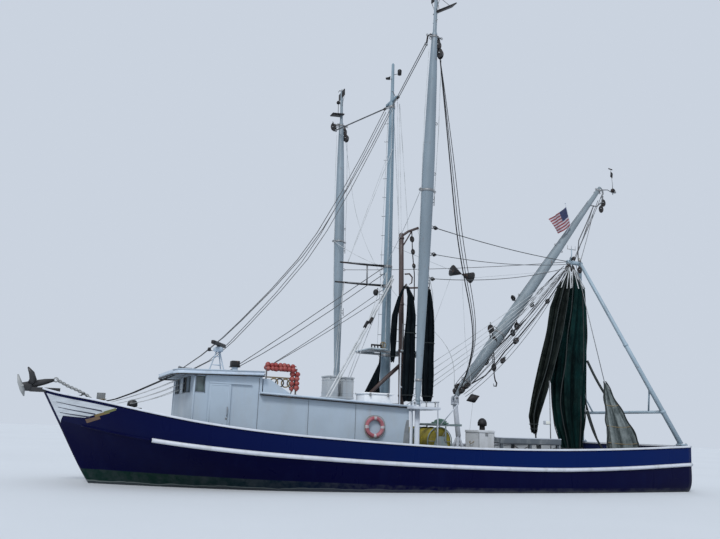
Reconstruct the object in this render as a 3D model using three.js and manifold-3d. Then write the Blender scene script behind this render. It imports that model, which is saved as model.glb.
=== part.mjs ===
// Outrigger shrimp trawler, about 23 m, afloat with its outriggers topped up and its nets hung to dry.
// Millimetres. +X aft, +Y to starboard, +Z up. The origin is on the centreline, amidships, at the waterline.
import * as THREE from "three";
import { mergeVertices } from "three/addons/utils/BufferGeometryUtils.js";
import Module from "manifold-3d";

const wasm = await Module();
wasm.setup();

// Driving dimensions of the hull
const STERN_X = 11450;
const STEM_HALF = 60;
const DECK_CAMBER = 60;
const BULWARK_THICK = 100;
const CAP_WIDTH = 200;
const CAP_THICK = 60;
const CAP_PROUD = 45;
const GUARD_RADIUS = 65;
const KEEL_HALF = 100;
const KEEL_BOTTOM_Z = -2500;
const SEAT = 0.3;
const BELOW_DECK = 700;

// Driving dimensions of the house
const WALL = 80;
const HOUSE_HALF = 1800;
const ROOF_HALF = 1930;
const HOUSE_ROOF_THICK = 70;
const PILOT_ROOF_THICK = 120;
const FRONT_X = -7290;
const FRONT_HALF = 680;
const FRONT_CORNER_X = -7250;
const STEP_X = -5200;
const HOUSE_AFT_X = -300;
const WING_AFT_X = 80;
const WINDOW_Z = [2820, 3290];
const DOOR_Z = [1420, 3100];
const DOOR_X = [-6790, -6110];
const AFT_DOOR_Y = [-1480, -780];
const AFT_DOOR_Z = [1050, 2450];

// Driving dimensions of the spars
const MAST_X = -30;
const HEEL_X = -500;
const HEEL_Y = 3500;
const HEEL_Z = 2750;
const OUTRIGGER_LENGTH = 14100;
const OUTRIGGER_LEAN = Math.atan2(870, 14040);
const BOOM_HEEL = [2930, 0, 3160];
const BOOM_TIP = [10280, 0, 12720];
const GALLOWS_APEX = [9040, 0, 9150];
const CAP_TOP = 1640 + CAP_THICK;
const GALLOWS_FOOT = [11250, 2850, CAP_TOP];

// Stern gear
const SHAFT_Z = -1500;
const SHAFT_X = 8700;
const PROP_RADIUS = 650;
const RUDDER_X = 9850;

// Height of the deck edge and of the sheer along the boat: [x, z]
const DECK_LINE = [
  [-10950, 1850],
  [-10000, 1640],
  [-8500, 1370],
  [-6000, 1120],
  [-3500, 975],
  [-1000, 868],
  [2000, 790],
  [5000, 765],
  [8000, 845],
  [STERN_X, 1010],
];
const SHEER_LINE = [
  [-11450, 2580],
  [-10000, 2400],
  [-8500, 2095],
  [-7000, 1850],
  [-5000, 1645],
  [-3000, 1525],
  [-1000, 1435],
  [1000, 1375],
  [3000, 1365],
  [5000, 1390],
  [7000, 1445],
  [9000, 1525],
  [STERN_X, 1640],
];

// Longitudinal rows of the hull. stem is the row's x at the stem.
// Each point is [share of the row, half breadth, height].
const HULL_ROWS = [
  {
    stem: -8700,
    points: [
      [0, STEM_HALF, -1250],
      [0.05, 90, -1380],
      [0.12, KEEL_HALF, -1500],
      [0.22, KEEL_HALF, -1620],
      [0.35, KEEL_HALF, -1700],
      [0.5, KEEL_HALF, -1680],
      [0.7, KEEL_HALF, -1280],
      [0.85, KEEL_HALF, -700],
      [1, KEEL_HALF, -160],
    ],
  },
  {
    stem: -8950,
    points: [
      [0, STEM_HALF, -950],
      [0.05, 330, -1060],
      [0.12, 760, -1160],
      [0.22, 1380, -1230],
      [0.35, 2000, -1260],
      [0.5, 2250, -1230],
      [0.7, 2150, -900],
      [0.85, 1950, -470],
      [1, 1750, -100],
    ],
  },
  {
    stem: -9350,
    points: [
      [0, STEM_HALF, -500],
      [0.05, 560, -580],
      [0.12, 1270, -650],
      [0.22, 2180, -700],
      [0.35, 2880, -730],
      [0.5, 3130, -710],
      [0.7, 3130, -510],
      [0.85, 3000, -260],
      [1, 2830, -20],
    ],
  },
  {
    stem: -9850,
    points: [
      [0, STEM_HALF, 0],
      [0.05, 760, 0],
      [0.12, 1600, 0],
      [0.22, 2600, 0],
      [0.35, 3200, 0],
      [0.5, 3420, 0],
      [0.7, 3450, 20],
      [0.85, 3300, 100],
      [1, 3020, 250],
    ],
  },
  {
    stem: -10950,
    line: DECK_LINE,
    points: [
      [0, STEM_HALF],
      [0.05, 1220],
      [0.12, 2400],
      [0.22, 3200],
      [0.35, 3490],
      [0.5, 3560],
      [0.7, 3520],
      [0.85, 3370],
      [1, 3080],
    ],
  },
  {
    stem: -11450,
    line: SHEER_LINE,
    points: [
      [0, STEM_HALF],
      [0.05, 1350],
      [0.12, 2560],
      [0.22, 3270],
      [0.35, 3540],
      [0.5, 3600],
      [0.7, 3550],
      [0.85, 3400],
      [1, 3110],
    ],
  },
];
const DECK_ROW = 4;
const SHEER_ROW = 5;
const STATION_SHARES = [
  0, 0.02, 0.05, 0.085, 0.12, 0.17, 0.22, 0.28, 0.35, 0.42, 0.5, 0.57, 0.64, 0.7, 0.775, 0.8525, 0.92, 1,
];
const GUARD_START = 4;

// Smooth value of a table at a place, by cubic pieces through its points.
function along(table, place, column) {
  let i = 0;
  while (i < table.length - 2 && place > table[i + 1][0]) i++;
  const slope = (a, b) => (table[b][column] - table[a][column]) / (table[b][0] - table[a][0]);
  const width = table[i + 1][0] - table[i][0];
  const startSlope = i > 0 ? slope(i - 1, i + 1) : slope(i, i + 1);
  const endSlope = i < table.length - 2 ? slope(i, i + 2) : slope(i, i + 1);
  const u = (place - table[i][0]) / width;
  const u2 = u * u;
  const u3 = u2 * u;
  return (
    (2 * u3 - 3 * u2 + 1) * table[i][column] +
    (u3 - 2 * u2 + u) * width * startSlope +
    (3 * u2 - 2 * u3) * table[i + 1][column] +
    (u3 - u2) * width * endSlope
  );
}

// One hull station, as [x, y, z] on the starboard side for each half row from the keel to the sheer.
function station(share) {
  const controls = HULL_ROWS.map((row) => {
    const x = row.stem + (STERN_X - row.stem) * share;
    const z = row.line ? along(row.line, x, 1) : along(row.points, share, 2);
    return new THREE.Vector3(x, along(row.points, share, 1), z);
  });
  const curve = new THREE.CatmullRomCurve3(controls, false, "centripetal");
  const points = [];
  for (let s = 0; s <= SHEER_ROW * 2; s++) {
    const p = curve.getPoint(s / (SHEER_ROW * 2));
    points.push([p.x, p.y, p.z]);
  }
  return points;
}
const STATIONS = STATION_SHARES.map(station);

// A point of a station between its half rows, in whole rows from the keel.
function skin(index, row) {
  const place = Math.min(row * 2, SHEER_ROW * 2 - 1e-9);
  const low = Math.floor(place);
  const part = place - low;
  return STATIONS[index][low].map((v, k) => v + (STATIONS[index][low + 1][k] - v) * part);
}

// Height of the deck at x, a distance off the centreline.
function deckZ(x, off = 0) {
  const edge = STATIONS.map((s) => s[DECK_ROW * 2]);
  let i = 0;
  while (i < edge.length - 2 && x > edge[i + 1][0]) i++;
  const part = (x - edge[i][0]) / (edge[i + 1][0] - edge[i][0]);
  const half = edge[i][1] + (edge[i + 1][1] - edge[i][1]) * part;
  const z = edge[i][2] + (edge[i + 1][2] - edge[i][2]) * part;
  return z + DECK_CAMBER * (1 - Math.abs(off) / half);
}

// Undersides of the two roofs: each has a height at one x, and a slope
const PILOT_UNDER = { x: -5120, z: 3411, slope: 0.0273 };
const HOUSE_UNDER = { x: -5340, z: 2842, slope: -0.0345 };
const underside = ({ x, z, slope }) => (place) => z + (place - x) * slope;
const pilotUnder = underside(PILOT_UNDER);
const houseUnder = underside(HOUSE_UNDER);
const insidePilotRoof = (x) => pilotUnder(x) + PILOT_ROOF_THICK / 2;
const insideHouseRoof = (x) => houseUnder(x) + HOUSE_ROOF_THICK / 2;

// A closed mesh from a list of points and triangles, turned to face outwards.
function closedMesh(points, triangles) {
  let volume = 0;
  const at = points.map((p) => new THREE.Vector3(...p));
  for (const [a, b, c] of triangles) volume += at[a].dot(at[b].clone().cross(at[c]));
  const order = volume < 0 ? triangles.map(([a, b, c]) => [a, c, b]) : triangles;
  const geometry = new THREE.BufferGeometry();
  geometry.setAttribute("position", new THREE.Float32BufferAttribute(points.flat(), 3));
  geometry.setIndex(order.flat());
  return geometry;
}

// A skin through sections of equal point count, closed at both ends.
// flat gives the two axes that an end is cut in.
function loft(sections, flat = [1, 2]) {
  const count = sections[0].length;
  const triangles = [];
  for (let i = 0; i < sections.length - 1; i++) {
    for (let j = 0; j < count; j++) {
      const a = i * count + j;
      const b = i * count + ((j + 1) % count);
      triangles.push([a, b, b + count], [a, b + count, a + count]);
    }
  }
  const cap = (section, start, backwards) => {
    const outline = section.map((p) => new THREE.Vector2(p[flat[0]], p[flat[1]]));
    const loopTurn = Math.sign(THREE.ShapeUtils.area(outline));
    for (const face of THREE.ShapeUtils.triangulateShape(outline, [])) {
      const faceTurn = Math.sign(THREE.ShapeUtils.area(face.map((k) => outline[k])));
      const [p, q, r] = face.map((k) => start + k);
      triangles.push((faceTurn === loopTurn) !== backwards ? [p, q, r] : [p, r, q]);
    }
  };
  cap(sections[0], 0, true);
  cap(sections.at(-1), (sections.length - 1) * count, false);
  return closedMesh(sections.flat(), triangles);
}

// A prism on an outline, cut to size along its third axis
function prism(outline, holes, place, from, to) {
  const shape = new THREE.Shape(outline.map(([a, b]) => new THREE.Vector2(a, b)));
  for (const hole of holes) shape.holes.push(new THREE.Path(hole.map(([a, b]) => new THREE.Vector2(a, b))));
  const geometry = new THREE.ExtrudeGeometry(shape, { depth: to - from, bevelEnabled: false });
  geometry.translate(0, 0, from);
  if (place === "side") geometry.rotateX(Math.PI / 2);
  return geometry;
}

// A box between two corners
function box(low, high) {
  const size = high.map((v, k) => v - low[k]);
  const middle = high.map((v, k) => (v + low[k]) / 2);
  return new THREE.BoxGeometry(...size).translate(...middle);
}

// A round bar between two points, with a radius for each end
function bar(from, to, startRadius, endRadius = startRadius, sides = 12) {
  const a = new THREE.Vector3(...from);
  const b = new THREE.Vector3(...to);
  const length = a.distanceTo(b);
  const geometry = new THREE.CylinderGeometry(endRadius, startRadius, length, sides);
  const turn = new THREE.Quaternion().setFromUnitVectors(
    new THREE.Vector3(0, 1, 0),
    b.clone().sub(a).normalize(),
  );
  geometry.applyQuaternion(turn);
  const middle = a.add(b).multiplyScalar(0.5);
  return geometry.translate(middle.x, middle.y, middle.z);
}

// A turned spar along +Z from a table of [height, radius]
function spar(table, sides = 14) {
  const profile = [[table[0][0], 0], ...table, [table.at(-1)[0], 0]];
  const geometry = new THREE.LatheGeometry(
    profile.map(([z, r]) => new THREE.Vector2(r, z)),
    sides,
  );
  return geometry.rotateX(Math.PI / 2);
}

// A body of the boolean library from a closed geometry, and back
function solid(geometry) {
  const bare = geometry.index ? geometry.clone() : mergeVertices(geometry.clone());
  for (const name of Object.keys(bare.attributes)) if (name !== "position") bare.deleteAttribute(name);
  const merged = mergeVertices(bare, 1e-3);
  const index = [];
  const source = merged.index.array;
  for (let i = 0; i < source.length; i += 3) {
    const [a, b, c] = [source[i], source[i + 1], source[i + 2]];
    if (a !== b && b !== c && c !== a) index.push(a, b, c);
  }
  return new wasm.Manifold(
    new wasm.Mesh({
      numProp: 3,
      vertProperties: new Float32Array(merged.attributes.position.array),
      triVerts: new Uint32Array(index),
    }),
  );
}
function geometryOf(body) {
  const mesh = body.getMesh();
  const geometry = new THREE.BufferGeometry();
  geometry.setAttribute("position", new THREE.BufferAttribute(new Float32Array(mesh.vertProperties), 3));
  geometry.setIndex(new THREE.BufferAttribute(new Uint32Array(mesh.triVerts), 1));
  return geometry;
}
const join = (...geometries) => geometryOf(geometries.map(solid).reduce((a, b) => a.add(b)));
const cut = (geometry, ...tools) =>
  geometryOf(tools.map(solid).reduce((a, b) => a.subtract(b), solid(geometry)));
const keep = (geometry, space) => geometryOf(solid(geometry).intersect(solid(space)));

// What stands on another piece is cut by it, with a hairline gap on the sides that moves name.
const seat = (geometry, onto, moves = [[0, 0, 1]]) =>
  cut(geometry, ...moves.map((move) => onto.clone().translate(...move.map((v) => v * SEAT))));

// The same shape on the other side of the centreline
function mirrored(geometry) {
  const copy = geometry.index ? geometry.clone() : mergeVertices(geometry.clone());
  for (const name of Object.keys(copy.attributes)) if (name !== "position") copy.deleteAttribute(name);
  copy.scale(1, -1, 1);
  const index = copy.index.array;
  for (let i = 0; i < index.length; i += 3) [index[i + 1], index[i + 2]] = [index[i + 2], index[i + 1]];
  return copy;
}

// Finishes, as colour, roughness and metalness
const FINISHES = {
  hull: [0x14285f, 0.35, 0],
  white: [0xe9ecee, 0.45, 0],
  spar: [0xc9ced2, 0.45, 0.1],
  steel: [0x8d9296, 0.5, 0.6],
  dark: [0x1b1d20, 0.6, 0.1],
  glass: [0x24352f, 0.08, 0],
  net: [0x16322f, 0.95, 0],
  webbing: [0x8fa39a, 0.95, 0],
  red: [0xb8352b, 0.6, 0],
  yellow: [0xc9a227, 0.7, 0],
  timber: [0x8a8478, 0.8, 0],
  rust: [0x6a4638, 0.9, 0.2],
  bronze: [0x9a7b3f, 0.4, 0.8],
};
const materials = Object.fromEntries(
  Object.entries(FINISHES).map(([name, [color, roughness, metalness]]) => [
    name,
    new THREE.MeshStandardMaterial({ color, roughness, metalness, flatShading: true }),
  ]),
);

const trawler = new THREE.Group();

function add(name, geometry, finish) {
  const mesh = new THREE.Mesh(geometry, materials[finish]);
  mesh.name = name;
  trawler.add(mesh);
}

// Hull: sections from the keel to the deck edge, with the deck's camber on top
const HOLD = { x: [4000, 5200], half: 600, floor: -300 };
const ENGINE_ROOM = { x: [-3600, -900], half: 800, floor: -900 };
const halfSections = STATIONS.map((points) => {
  const side = points.slice(0, DECK_ROW * 2 + 1);
  const edge = side.at(-1);
  return [[side[0][0], 0, side[0][2]], ...side, [edge[0], 0, edge[2] + DECK_CAMBER]];
});
const halfHull = loft(halfSections);
const hullBody = cut(
  join(halfHull, mirrored(halfHull)),
  box([HOLD.x[0], -HOLD.half, HOLD.floor], [HOLD.x[1], HOLD.half, 2000]),
  box([ENGINE_ROOM.x[0], -ENGINE_ROOM.half, ENGINE_ROOM.floor], [ENGINE_ROOM.x[1], ENGINE_ROOM.half, 2000]),
);
const TRUNK = { z: [-480, 200], radius: 110 };
const trunk = bar([RUDDER_X, 0, TRUNK.z[0]], [RUDDER_X, 0, TRUNK.z[1]], TRUNK.radius);
const hull = join(hullBody, trunk);
add("hull", hull, "hull");
add(
  "engine",
  box(
    [ENGINE_ROOM.x[0] + 250, -500, ENGINE_ROOM.floor + SEAT],
    [ENGINE_ROOM.x[1] - 250, 500, ENGINE_ROOM.floor + 1400],
  ),
  "steel",
);

// Keel with its shaft boss, and the shoe that carries the rudder's heel
const keelSections = [];
STATIONS.forEach((points) => {
  const [x, half, top] = points[0];
  if (x > SHAFT_X - 100) return;
  const rise = Math.max(0, (-2000 - x) / 6700);
  const bottom = Math.min(KEEL_BOTTOM_Z + 950 * rise * rise, top - 60);
  const wide = Math.min(half, KEEL_HALF);
  keelSections.push([
    [x, -wide, top - SEAT],
    [x, wide, top - SEAT],
    [x, wide, bottom],
    [x, -wide, bottom],
  ]);
});
const KEEL_END = keelSections.at(-1)[0][0];
const shoe = box([KEEL_END - 50, -70, KEEL_BOTTOM_Z], [RUDDER_X + 130, 70, KEEL_BOTTOM_Z + 110]);
const boss = bar([KEEL_END - 900, 0, SHAFT_Z], [SHAFT_X, 0, SHAFT_Z], 110);
add("keel", join(loft(keelSections), shoe, boss), "hull");

// Bulwarks: plating from the deck edge to the sheer, one long panel a side and one across the stern
const bulwarkSections = STATIONS.map((_, i) => {
  const rows = [DECK_ROW, DECK_ROW + 0.5, SHEER_ROW];
  const outer = rows.map((row) => skin(i, row));
  const inner = outer.map(([x, y, z]) => [x, Math.max(y - BULWARK_THICK, SEAT / 2), z]);
  outer[0][2] += SEAT;
  inner[0][2] = deckZ(inner[0][0], inner[0][1]) - 10;
  return [...outer, ...inner.reverse()];
});
const bulwark = seat(loft(bulwarkSections), hull, [
  [0, 0, 1],
  [0, 1, 0],
  [-1, 0, 0],
  [-1, 1, 1],
  [0, 0, 0],
]);
add("bulwark_starboard", bulwark, "hull");
add("bulwark_port", mirrored(bulwark), "hull");
const sternHalf = skin(STATIONS.length - 1, DECK_ROW)[1] - BULWARK_THICK - 40;
const sternPanel = seat(
  box([STERN_X - BULWARK_THICK, -sternHalf, 900], [STERN_X, sternHalf, SHEER_LINE.at(-1)[1]]),
  hull,
);
const sternBulwark = cut(
  sternPanel,
  bulwark.clone().translate(0, -SEAT, 0),
  mirrored(bulwark).translate(0, SEAT, 0),
);
add("bulwark_stern", sternBulwark, "hull");

// Cap rails on the bulwarks
const capSections = STATIONS.map((_, i) => {
  const [x, y, z] = skin(i, SHEER_ROW);
  const outer = y + CAP_PROUD;
  const inner = Math.max(outer - CAP_WIDTH, SEAT / 2);
  return [
    [x, outer, z + SEAT],
    [x, outer, z + CAP_THICK],
    [x, inner, z + CAP_THICK],
    [x, inner, z + SEAT],
  ];
});
const capRail = loft(capSections);
add("cap_rail_starboard", capRail, "white");
add("cap_rail_port", mirrored(capRail), "white");
const capEnd = capSections.at(-1);
const capStern = cut(
  box(
    [STERN_X - CAP_WIDTH + CAP_PROUD, -capEnd[2][1] - 50, capEnd[0][2]],
    [STERN_X + CAP_PROUD, capEnd[2][1] + 50, capEnd[1][2]],
  ),
  capRail.clone().translate(0, -SEAT, 0),
  mirrored(capRail).translate(0, SEAT, 0),
  box([STERN_X - 10, capEnd[2][1] - SEAT, 0], [STERN_X + 100, 4000, 4000]),
  box([STERN_X - 10, -4000, 0], [STERN_X + 100, -capEnd[2][1] + SEAT, 4000]),
);
add("cap_rail_stern", capStern, "white");

// Guards: half-round timbers along the deck edge
const guardSections = [];
for (let i = GUARD_START; i < STATIONS.length; i++) {
  const low = skin(i, DECK_ROW - 0.07);
  const high = skin(i, DECK_ROW + 0.11);
  const base = [low, skin(i, DECK_ROW), high].map(([x, y, z]) => [x, y + SEAT * 2, z]);
  const middle = base[1];
  const round = [60, 20, -20, -60].map((degrees) => {
    const angle = THREE.MathUtils.degToRad(degrees);
    return [
      middle[0],
      middle[1] + GUARD_RADIUS * 1.3 * Math.cos(angle),
      middle[2] + GUARD_RADIUS * Math.sin(angle),
    ];
  });
  guardSections.push([...base, ...round]);
}
const OUTBOARD = [
  [0, 1, 0],
  [0, 1, 1],
  [1, 1, 0],
];
const guard = seat(seat(loft(guardSections), hull, OUTBOARD), bulwark, OUTBOARD);
add("guard_starboard", guard, "white");
add("guard_port", mirrored(guard), "white");

// House walls: upright panels in plan, trimmed to the roofs and to the deck
const envelope = prism(
  [
    ...DECK_LINE.slice(1, -1).map(([x, z]) => [x, z - 100]),
    [DECK_LINE.at(-2)[0], houseUnder(DECK_LINE.at(-2)[0]) - SEAT],
    [STEP_X, houseUnder(STEP_X) - SEAT],
    [STEP_X, pilotUnder(STEP_X) - SEAT],
    [DECK_LINE[1][0], pilotUnder(DECK_LINE[1][0]) - SEAT],
  ],
  [],
  "side",
  -4000,
  4000,
);
const wallPanel = (outline) => seat(keep(prism(outline, [], "top", 500, 4000), envelope), hull);
const sideWall = wallPanel([
  [FRONT_CORNER_X, HOUSE_HALF],
  [FRONT_CORNER_X + 10, HOUSE_HALF - WALL],
  [WING_AFT_X, HOUSE_HALF - WALL],
  [WING_AFT_X, HOUSE_HALF],
]);
const INSIDE = HOUSE_HALF - 300;
const OUTSIDE = HOUSE_HALF + 300;
const SIDE_WINDOW_X = [-7205, -6925];
const sideWindow = box([SIDE_WINDOW_X[0], INSIDE, WINDOW_Z[0]], [SIDE_WINDOW_X[1], OUTSIDE, WINDOW_Z[1]]);
const sideDoorway = box([DOOR_X[0] + 40, INSIDE, DOOR_Z[0]], [DOOR_X[1] - 40, OUTSIDE, DOOR_Z[1] - 40]);
const DOOR_TRAVEL = 640;
const DOOR_GAP = 6;
const doorRail = box(
  [DOOR_X[0], HOUSE_HALF - 10, DOOR_Z[1] + SEAT],
  [DOOR_X[1] + DOOR_TRAVEL, HOUSE_HALF + 60, DOOR_Z[1] + 40],
);
const sidePanel = join(cut(sideWall, sideWindow, sideDoorway), doorRail);
add("house_side_starboard", sidePanel, "white");
add("house_side_port", mirrored(sidePanel), "white");
const sideDoor = box(
  [DOOR_X[0], HOUSE_HALF + DOOR_GAP, DOOR_Z[0] - 40],
  [DOOR_X[1], HOUSE_HALF + DOOR_GAP + 40, DOOR_Z[1]],
);
add("pilothouse_door_starboard", sideDoor, "white");
add("pilothouse_door_port", mirrored(sideDoor), "white");

// Pilothouse front: three faces, with a window in each outer face and two in the middle one
const FRONT_WINDOWS_Y = [
  [60, 640],
  [720, 1310],
];
const frontOutline = [
  [FRONT_CORNER_X, HOUSE_HALF - WALL - SEAT],
  [FRONT_X, FRONT_HALF],
  [FRONT_X, -FRONT_HALF],
  [FRONT_CORNER_X, -HOUSE_HALF + WALL + SEAT],
  [FRONT_CORNER_X + WALL, -HOUSE_HALF + WALL + SEAT],
  [FRONT_X + WALL, -FRONT_HALF],
  [FRONT_X + WALL, FRONT_HALF],
  [FRONT_CORNER_X + WALL, HOUSE_HALF - WALL - SEAT],
];
const windowHole = (low, high) => box([FRONT_X - 300, low, WINDOW_Z[0]], [FRONT_X + 200, high, WINDOW_Z[1]]);
const windowPair = ([low, high]) => [windowHole(low, high), windowHole(-high, -low)];
const windowHoles = FRONT_WINDOWS_Y.flatMap(windowPair);
const front = cut(wallPanel(frontOutline), ...windowHoles);
add("pilothouse_front", front, "white");

// One band of glazing runs behind the windows, round the front and along both sides to the side windows.
const PANE = 10;
const GLASS_END_X = SIDE_WINDOW_X[1] + 25;
const glassLine = (inset) => [
  [GLASS_END_X, HOUSE_HALF - WALL - inset],
  [FRONT_CORNER_X + WALL + inset, HOUSE_HALF - WALL - inset],
  [FRONT_X + WALL + inset, FRONT_HALF],
  [FRONT_X + WALL + inset, -FRONT_HALF],
  [FRONT_CORNER_X + WALL + inset, -HOUSE_HALF + WALL + inset],
  [GLASS_END_X, -HOUSE_HALF + WALL + inset],
];
const glazing = prism(
  [...glassLine(SEAT), ...glassLine(PANE).reverse()],
  [],
  "top",
  WINDOW_Z[0] - 30,
  WINDOW_Z[1] + 15,
);
add("glazing", glazing, "glass");

// Aft bulkhead of the deckhouse with its doorway, and the aft wall of the pilothouse above the lower roof
const innerHalf = HOUSE_HALF - WALL - SEAT;
const bulkhead = cut(
  wallPanel([
    [HOUSE_AFT_X - WALL, -innerHalf],
    [HOUSE_AFT_X, -innerHalf],
    [HOUSE_AFT_X, innerHalf],
    [HOUSE_AFT_X - WALL, innerHalf],
  ]),
  box(
    [HOUSE_AFT_X - 200, AFT_DOOR_Y[0] + 40, AFT_DOOR_Z[0] + 40],
    [0, AFT_DOOR_Y[1] - 40, AFT_DOOR_Z[1] - 40],
  ),
);
const hingeX = HOUSE_AFT_X + 40;
const hingeY = AFT_DOOR_Y[0] - 25;
const hingePins = [AFT_DOOR_Z[0] + 200, AFT_DOOR_Z[1] - 260].map((z) =>
  join(
    bar([hingeX, hingeY, z], [hingeX, hingeY, z + 60], 14, 14, 10),
    box([HOUSE_AFT_X - 10, hingeY - 8, z], [hingeX, hingeY + 8, z + 60]),
  ),
);
add("house_bulkhead", join(bulkhead, ...hingePins), "white");
const aftDoor = box(
  [HOUSE_AFT_X + 6, AFT_DOOR_Y[0] + 12, AFT_DOOR_Z[0]],
  [HOUSE_AFT_X + 50, AFT_DOOR_Y[1], AFT_DOOR_Z[1]],
);
const doorEyes = [AFT_DOOR_Z[0] + 260 + SEAT, AFT_DOOR_Z[1] - 200 + SEAT].map((z) =>
  join(
    bar([hingeX, hingeY, z], [hingeX, hingeY, z + 60], 14, 14, 10),
    box([hingeX - 8, hingeY, z], [hingeX + 8, AFT_DOOR_Y[0] + 30, z + 60]),
  ),
);
add("house_door", join(aftDoor, ...doorEyes), "white");

// Roofs: crowned slabs, the pilothouse's drawn out forward into a visor. Columns are x, half width, crown.
function roof(table, under, thick) {
  return loft(
    table.map(([x, half, crown]) => {
      const low = under(x);
      const top = low + thick;
      return [
        [x, -half, low],
        [x, half, low],
        [x, half, top],
        [x, half / 2, top + crown * 0.75],
        [x, 0, top + crown],
        [x, -half / 2, top + crown * 0.75],
        [x, -half, top],
      ];
    }),
  );
}
const MAST_RADIUS = 175;
const houseRoof = cut(
  roof(
    [
      [STEP_X + SEAT, ROOF_HALF, 70],
      [-2700, ROOF_HALF, 80],
      [200, ROOF_HALF, 70],
    ],
    houseUnder,
    HOUSE_ROOF_THICK,
  ),
  bar([MAST_X, 0, 2000], [MAST_X, 0, 3500], MAST_RADIUS + SEAT * 2, MAST_RADIUS + SEAT * 2, 14),
);
add("house_roof", houseRoof, "white");
const pilotRoof = roof(
  [
    [-7845, 1400, 20],
    [-7760, 1780, 50],
    [-7600, ROOF_HALF, 75],
    [-6400, ROOF_HALF, 100],
    [-5100, ROOF_HALF, 100],
  ],
  pilotUnder,
  PILOT_ROOF_THICK,
);
add("pilothouse_roof", pilotRoof, "white");
const stepWall = seat(
  keep(
    box([STEP_X + 5, -HOUSE_HALF + 10, insideHouseRoof(STEP_X)], [STEP_X + 5 + WALL, HOUSE_HALF - 10, 4000]),
    prism(
      [
        [-6000, 0],
        [-6000, pilotUnder(-6000) - SEAT],
        [-4000, pilotUnder(-4000) - SEAT],
        [-4000, 0],
      ],
      [],
      "side",
      -4000,
      4000,
    ),
  ),
  houseRoof,
);
add("pilothouse_aft", stepWall, "white");

// Raised locker with a sloping face, aft of the pilothouse on the lower roof
const fairing = seat(
  prism(
    [
      [STEP_X + 130, 2860],
      [STEP_X + 130, 3330],
      [STEP_X + 330, 3330],
      [-4150, 2900],
      [-4150, 2830],
    ],
    [],
    "side",
    1080,
    1750,
  ),
  houseRoof,
);
add("roof_locker", fairing, "white");

// Rack of net floats on the lower roof: a pipe frame, a row of floats along its top and down its after end
const RACK = { x: [-4780, -3750], y: -1000, z: 3740, pipe: 28 };
const FLOAT = 105;
const rackPieces = [
  ...RACK.x.map((x) => bar([x, RACK.y, insideHouseRoof(x)], [x, RACK.y, RACK.z], RACK.pipe)),
  bar([RACK.x[0] - RACK.pipe, RACK.y, RACK.z - 10], [RACK.x[1] + RACK.pipe, RACK.y, RACK.z - 10], RACK.pipe),
];
for (let i = 0; i < 6; i++) {
  const x = RACK.x[0] + ((RACK.x[1] - RACK.x[0]) * i) / 5;
  rackPieces.push(new THREE.IcosahedronGeometry(FLOAT, 1).translate(x, RACK.y - 20, RACK.z - 20));
}
for (let i = 1; i < 4; i++) {
  rackPieces.push(
    new THREE.IcosahedronGeometry(FLOAT, 1).translate(RACK.x[1] + 10, RACK.y - 20, RACK.z - 20 - i * 195),
  );
}
add("float_rack", seat(join(...rackPieces), houseRoof), "red");

// Two boxes on a shared plate, and a hatch, on the lower roof
const boxFloor = houseUnder(-2650) + 5;
const roofBoxes = join(
  box([-2650, -1100, boxFloor], [-2270, -500, 3620]),
  box([-2100, -1100, boxFloor], [-1700, -400, 3600]),
  box([-2650, -1100, boxFloor], [-1700, -400, 2950]),
);
add("roof_boxes", seat(roofBoxes, houseRoof), "steel");
const roofHatch = box([-1560, -1720, houseUnder(-1560) + 5], [-500, -920, 3090]);
add("roof_hatch", seat(roofHatch, houseRoof), "white");

// Radar mast on the pilothouse roof, its turning scanner, and a lamp on a pedestal
const RADAR = { x: -6330, y: -600, z: 4400, head: 4190, leg: 22 };
const radarLegs = [
  [-250, 0],
  [180, -220],
  [180, 220],
].map(([dx, dy]) => {
  const foot = [RADAR.x + dx, RADAR.y + dy, insidePilotRoof(RADAR.x + dx)];
  return bar(foot, [RADAR.x + dx * 0.15, RADAR.y + dy * 0.15, RADAR.head + 60], RADAR.leg);
});
const radarHead = bar([RADAR.x, RADAR.y, RADAR.head], [RADAR.x, RADAR.y, RADAR.z - 50], 110);
add("radar_mast", seat(join(...radarLegs, radarHead), pilotRoof), "white");
const scanner = join(
  new THREE.BoxGeometry(110, 1250, 110).rotateZ(-0.3).translate(RADAR.x, RADAR.y, RADAR.z + 30),
  bar([RADAR.x, RADAR.y, RADAR.z - 50 + SEAT], [RADAR.x, RADAR.y, RADAR.z + 20], 45),
);
add("radar_scanner", scanner, "dark");
const pedestal = seat(
  join(
    box([-5850, -720, insidePilotRoof(-5640)], [-5640, -480, 3760]),
    box([-5880, -750, 3740], [-5610, -450, 3920]),
  ),
  pilotRoof,
);
add("roof_lamp", pedestal, "dark");

// Life ring on the port side of the house
const RING = { x: -1220, z: 1965, middle: 285, thick: 65 };
const ringProfile = [];
for (let i = 0; i <= 8; i++) {
  const angle = (i / 8) * 2 * Math.PI;
  ringProfile.push(
    new THREE.Vector2(RING.middle + RING.thick * Math.cos(angle), RING.thick * Math.sin(angle)),
  );
}
const ring = new THREE.LatheGeometry(ringProfile, 20).translate(
  RING.x,
  -HOUSE_HALF - RING.thick - SEAT,
  RING.z,
);
add("life_ring", ring, "red");

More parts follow.
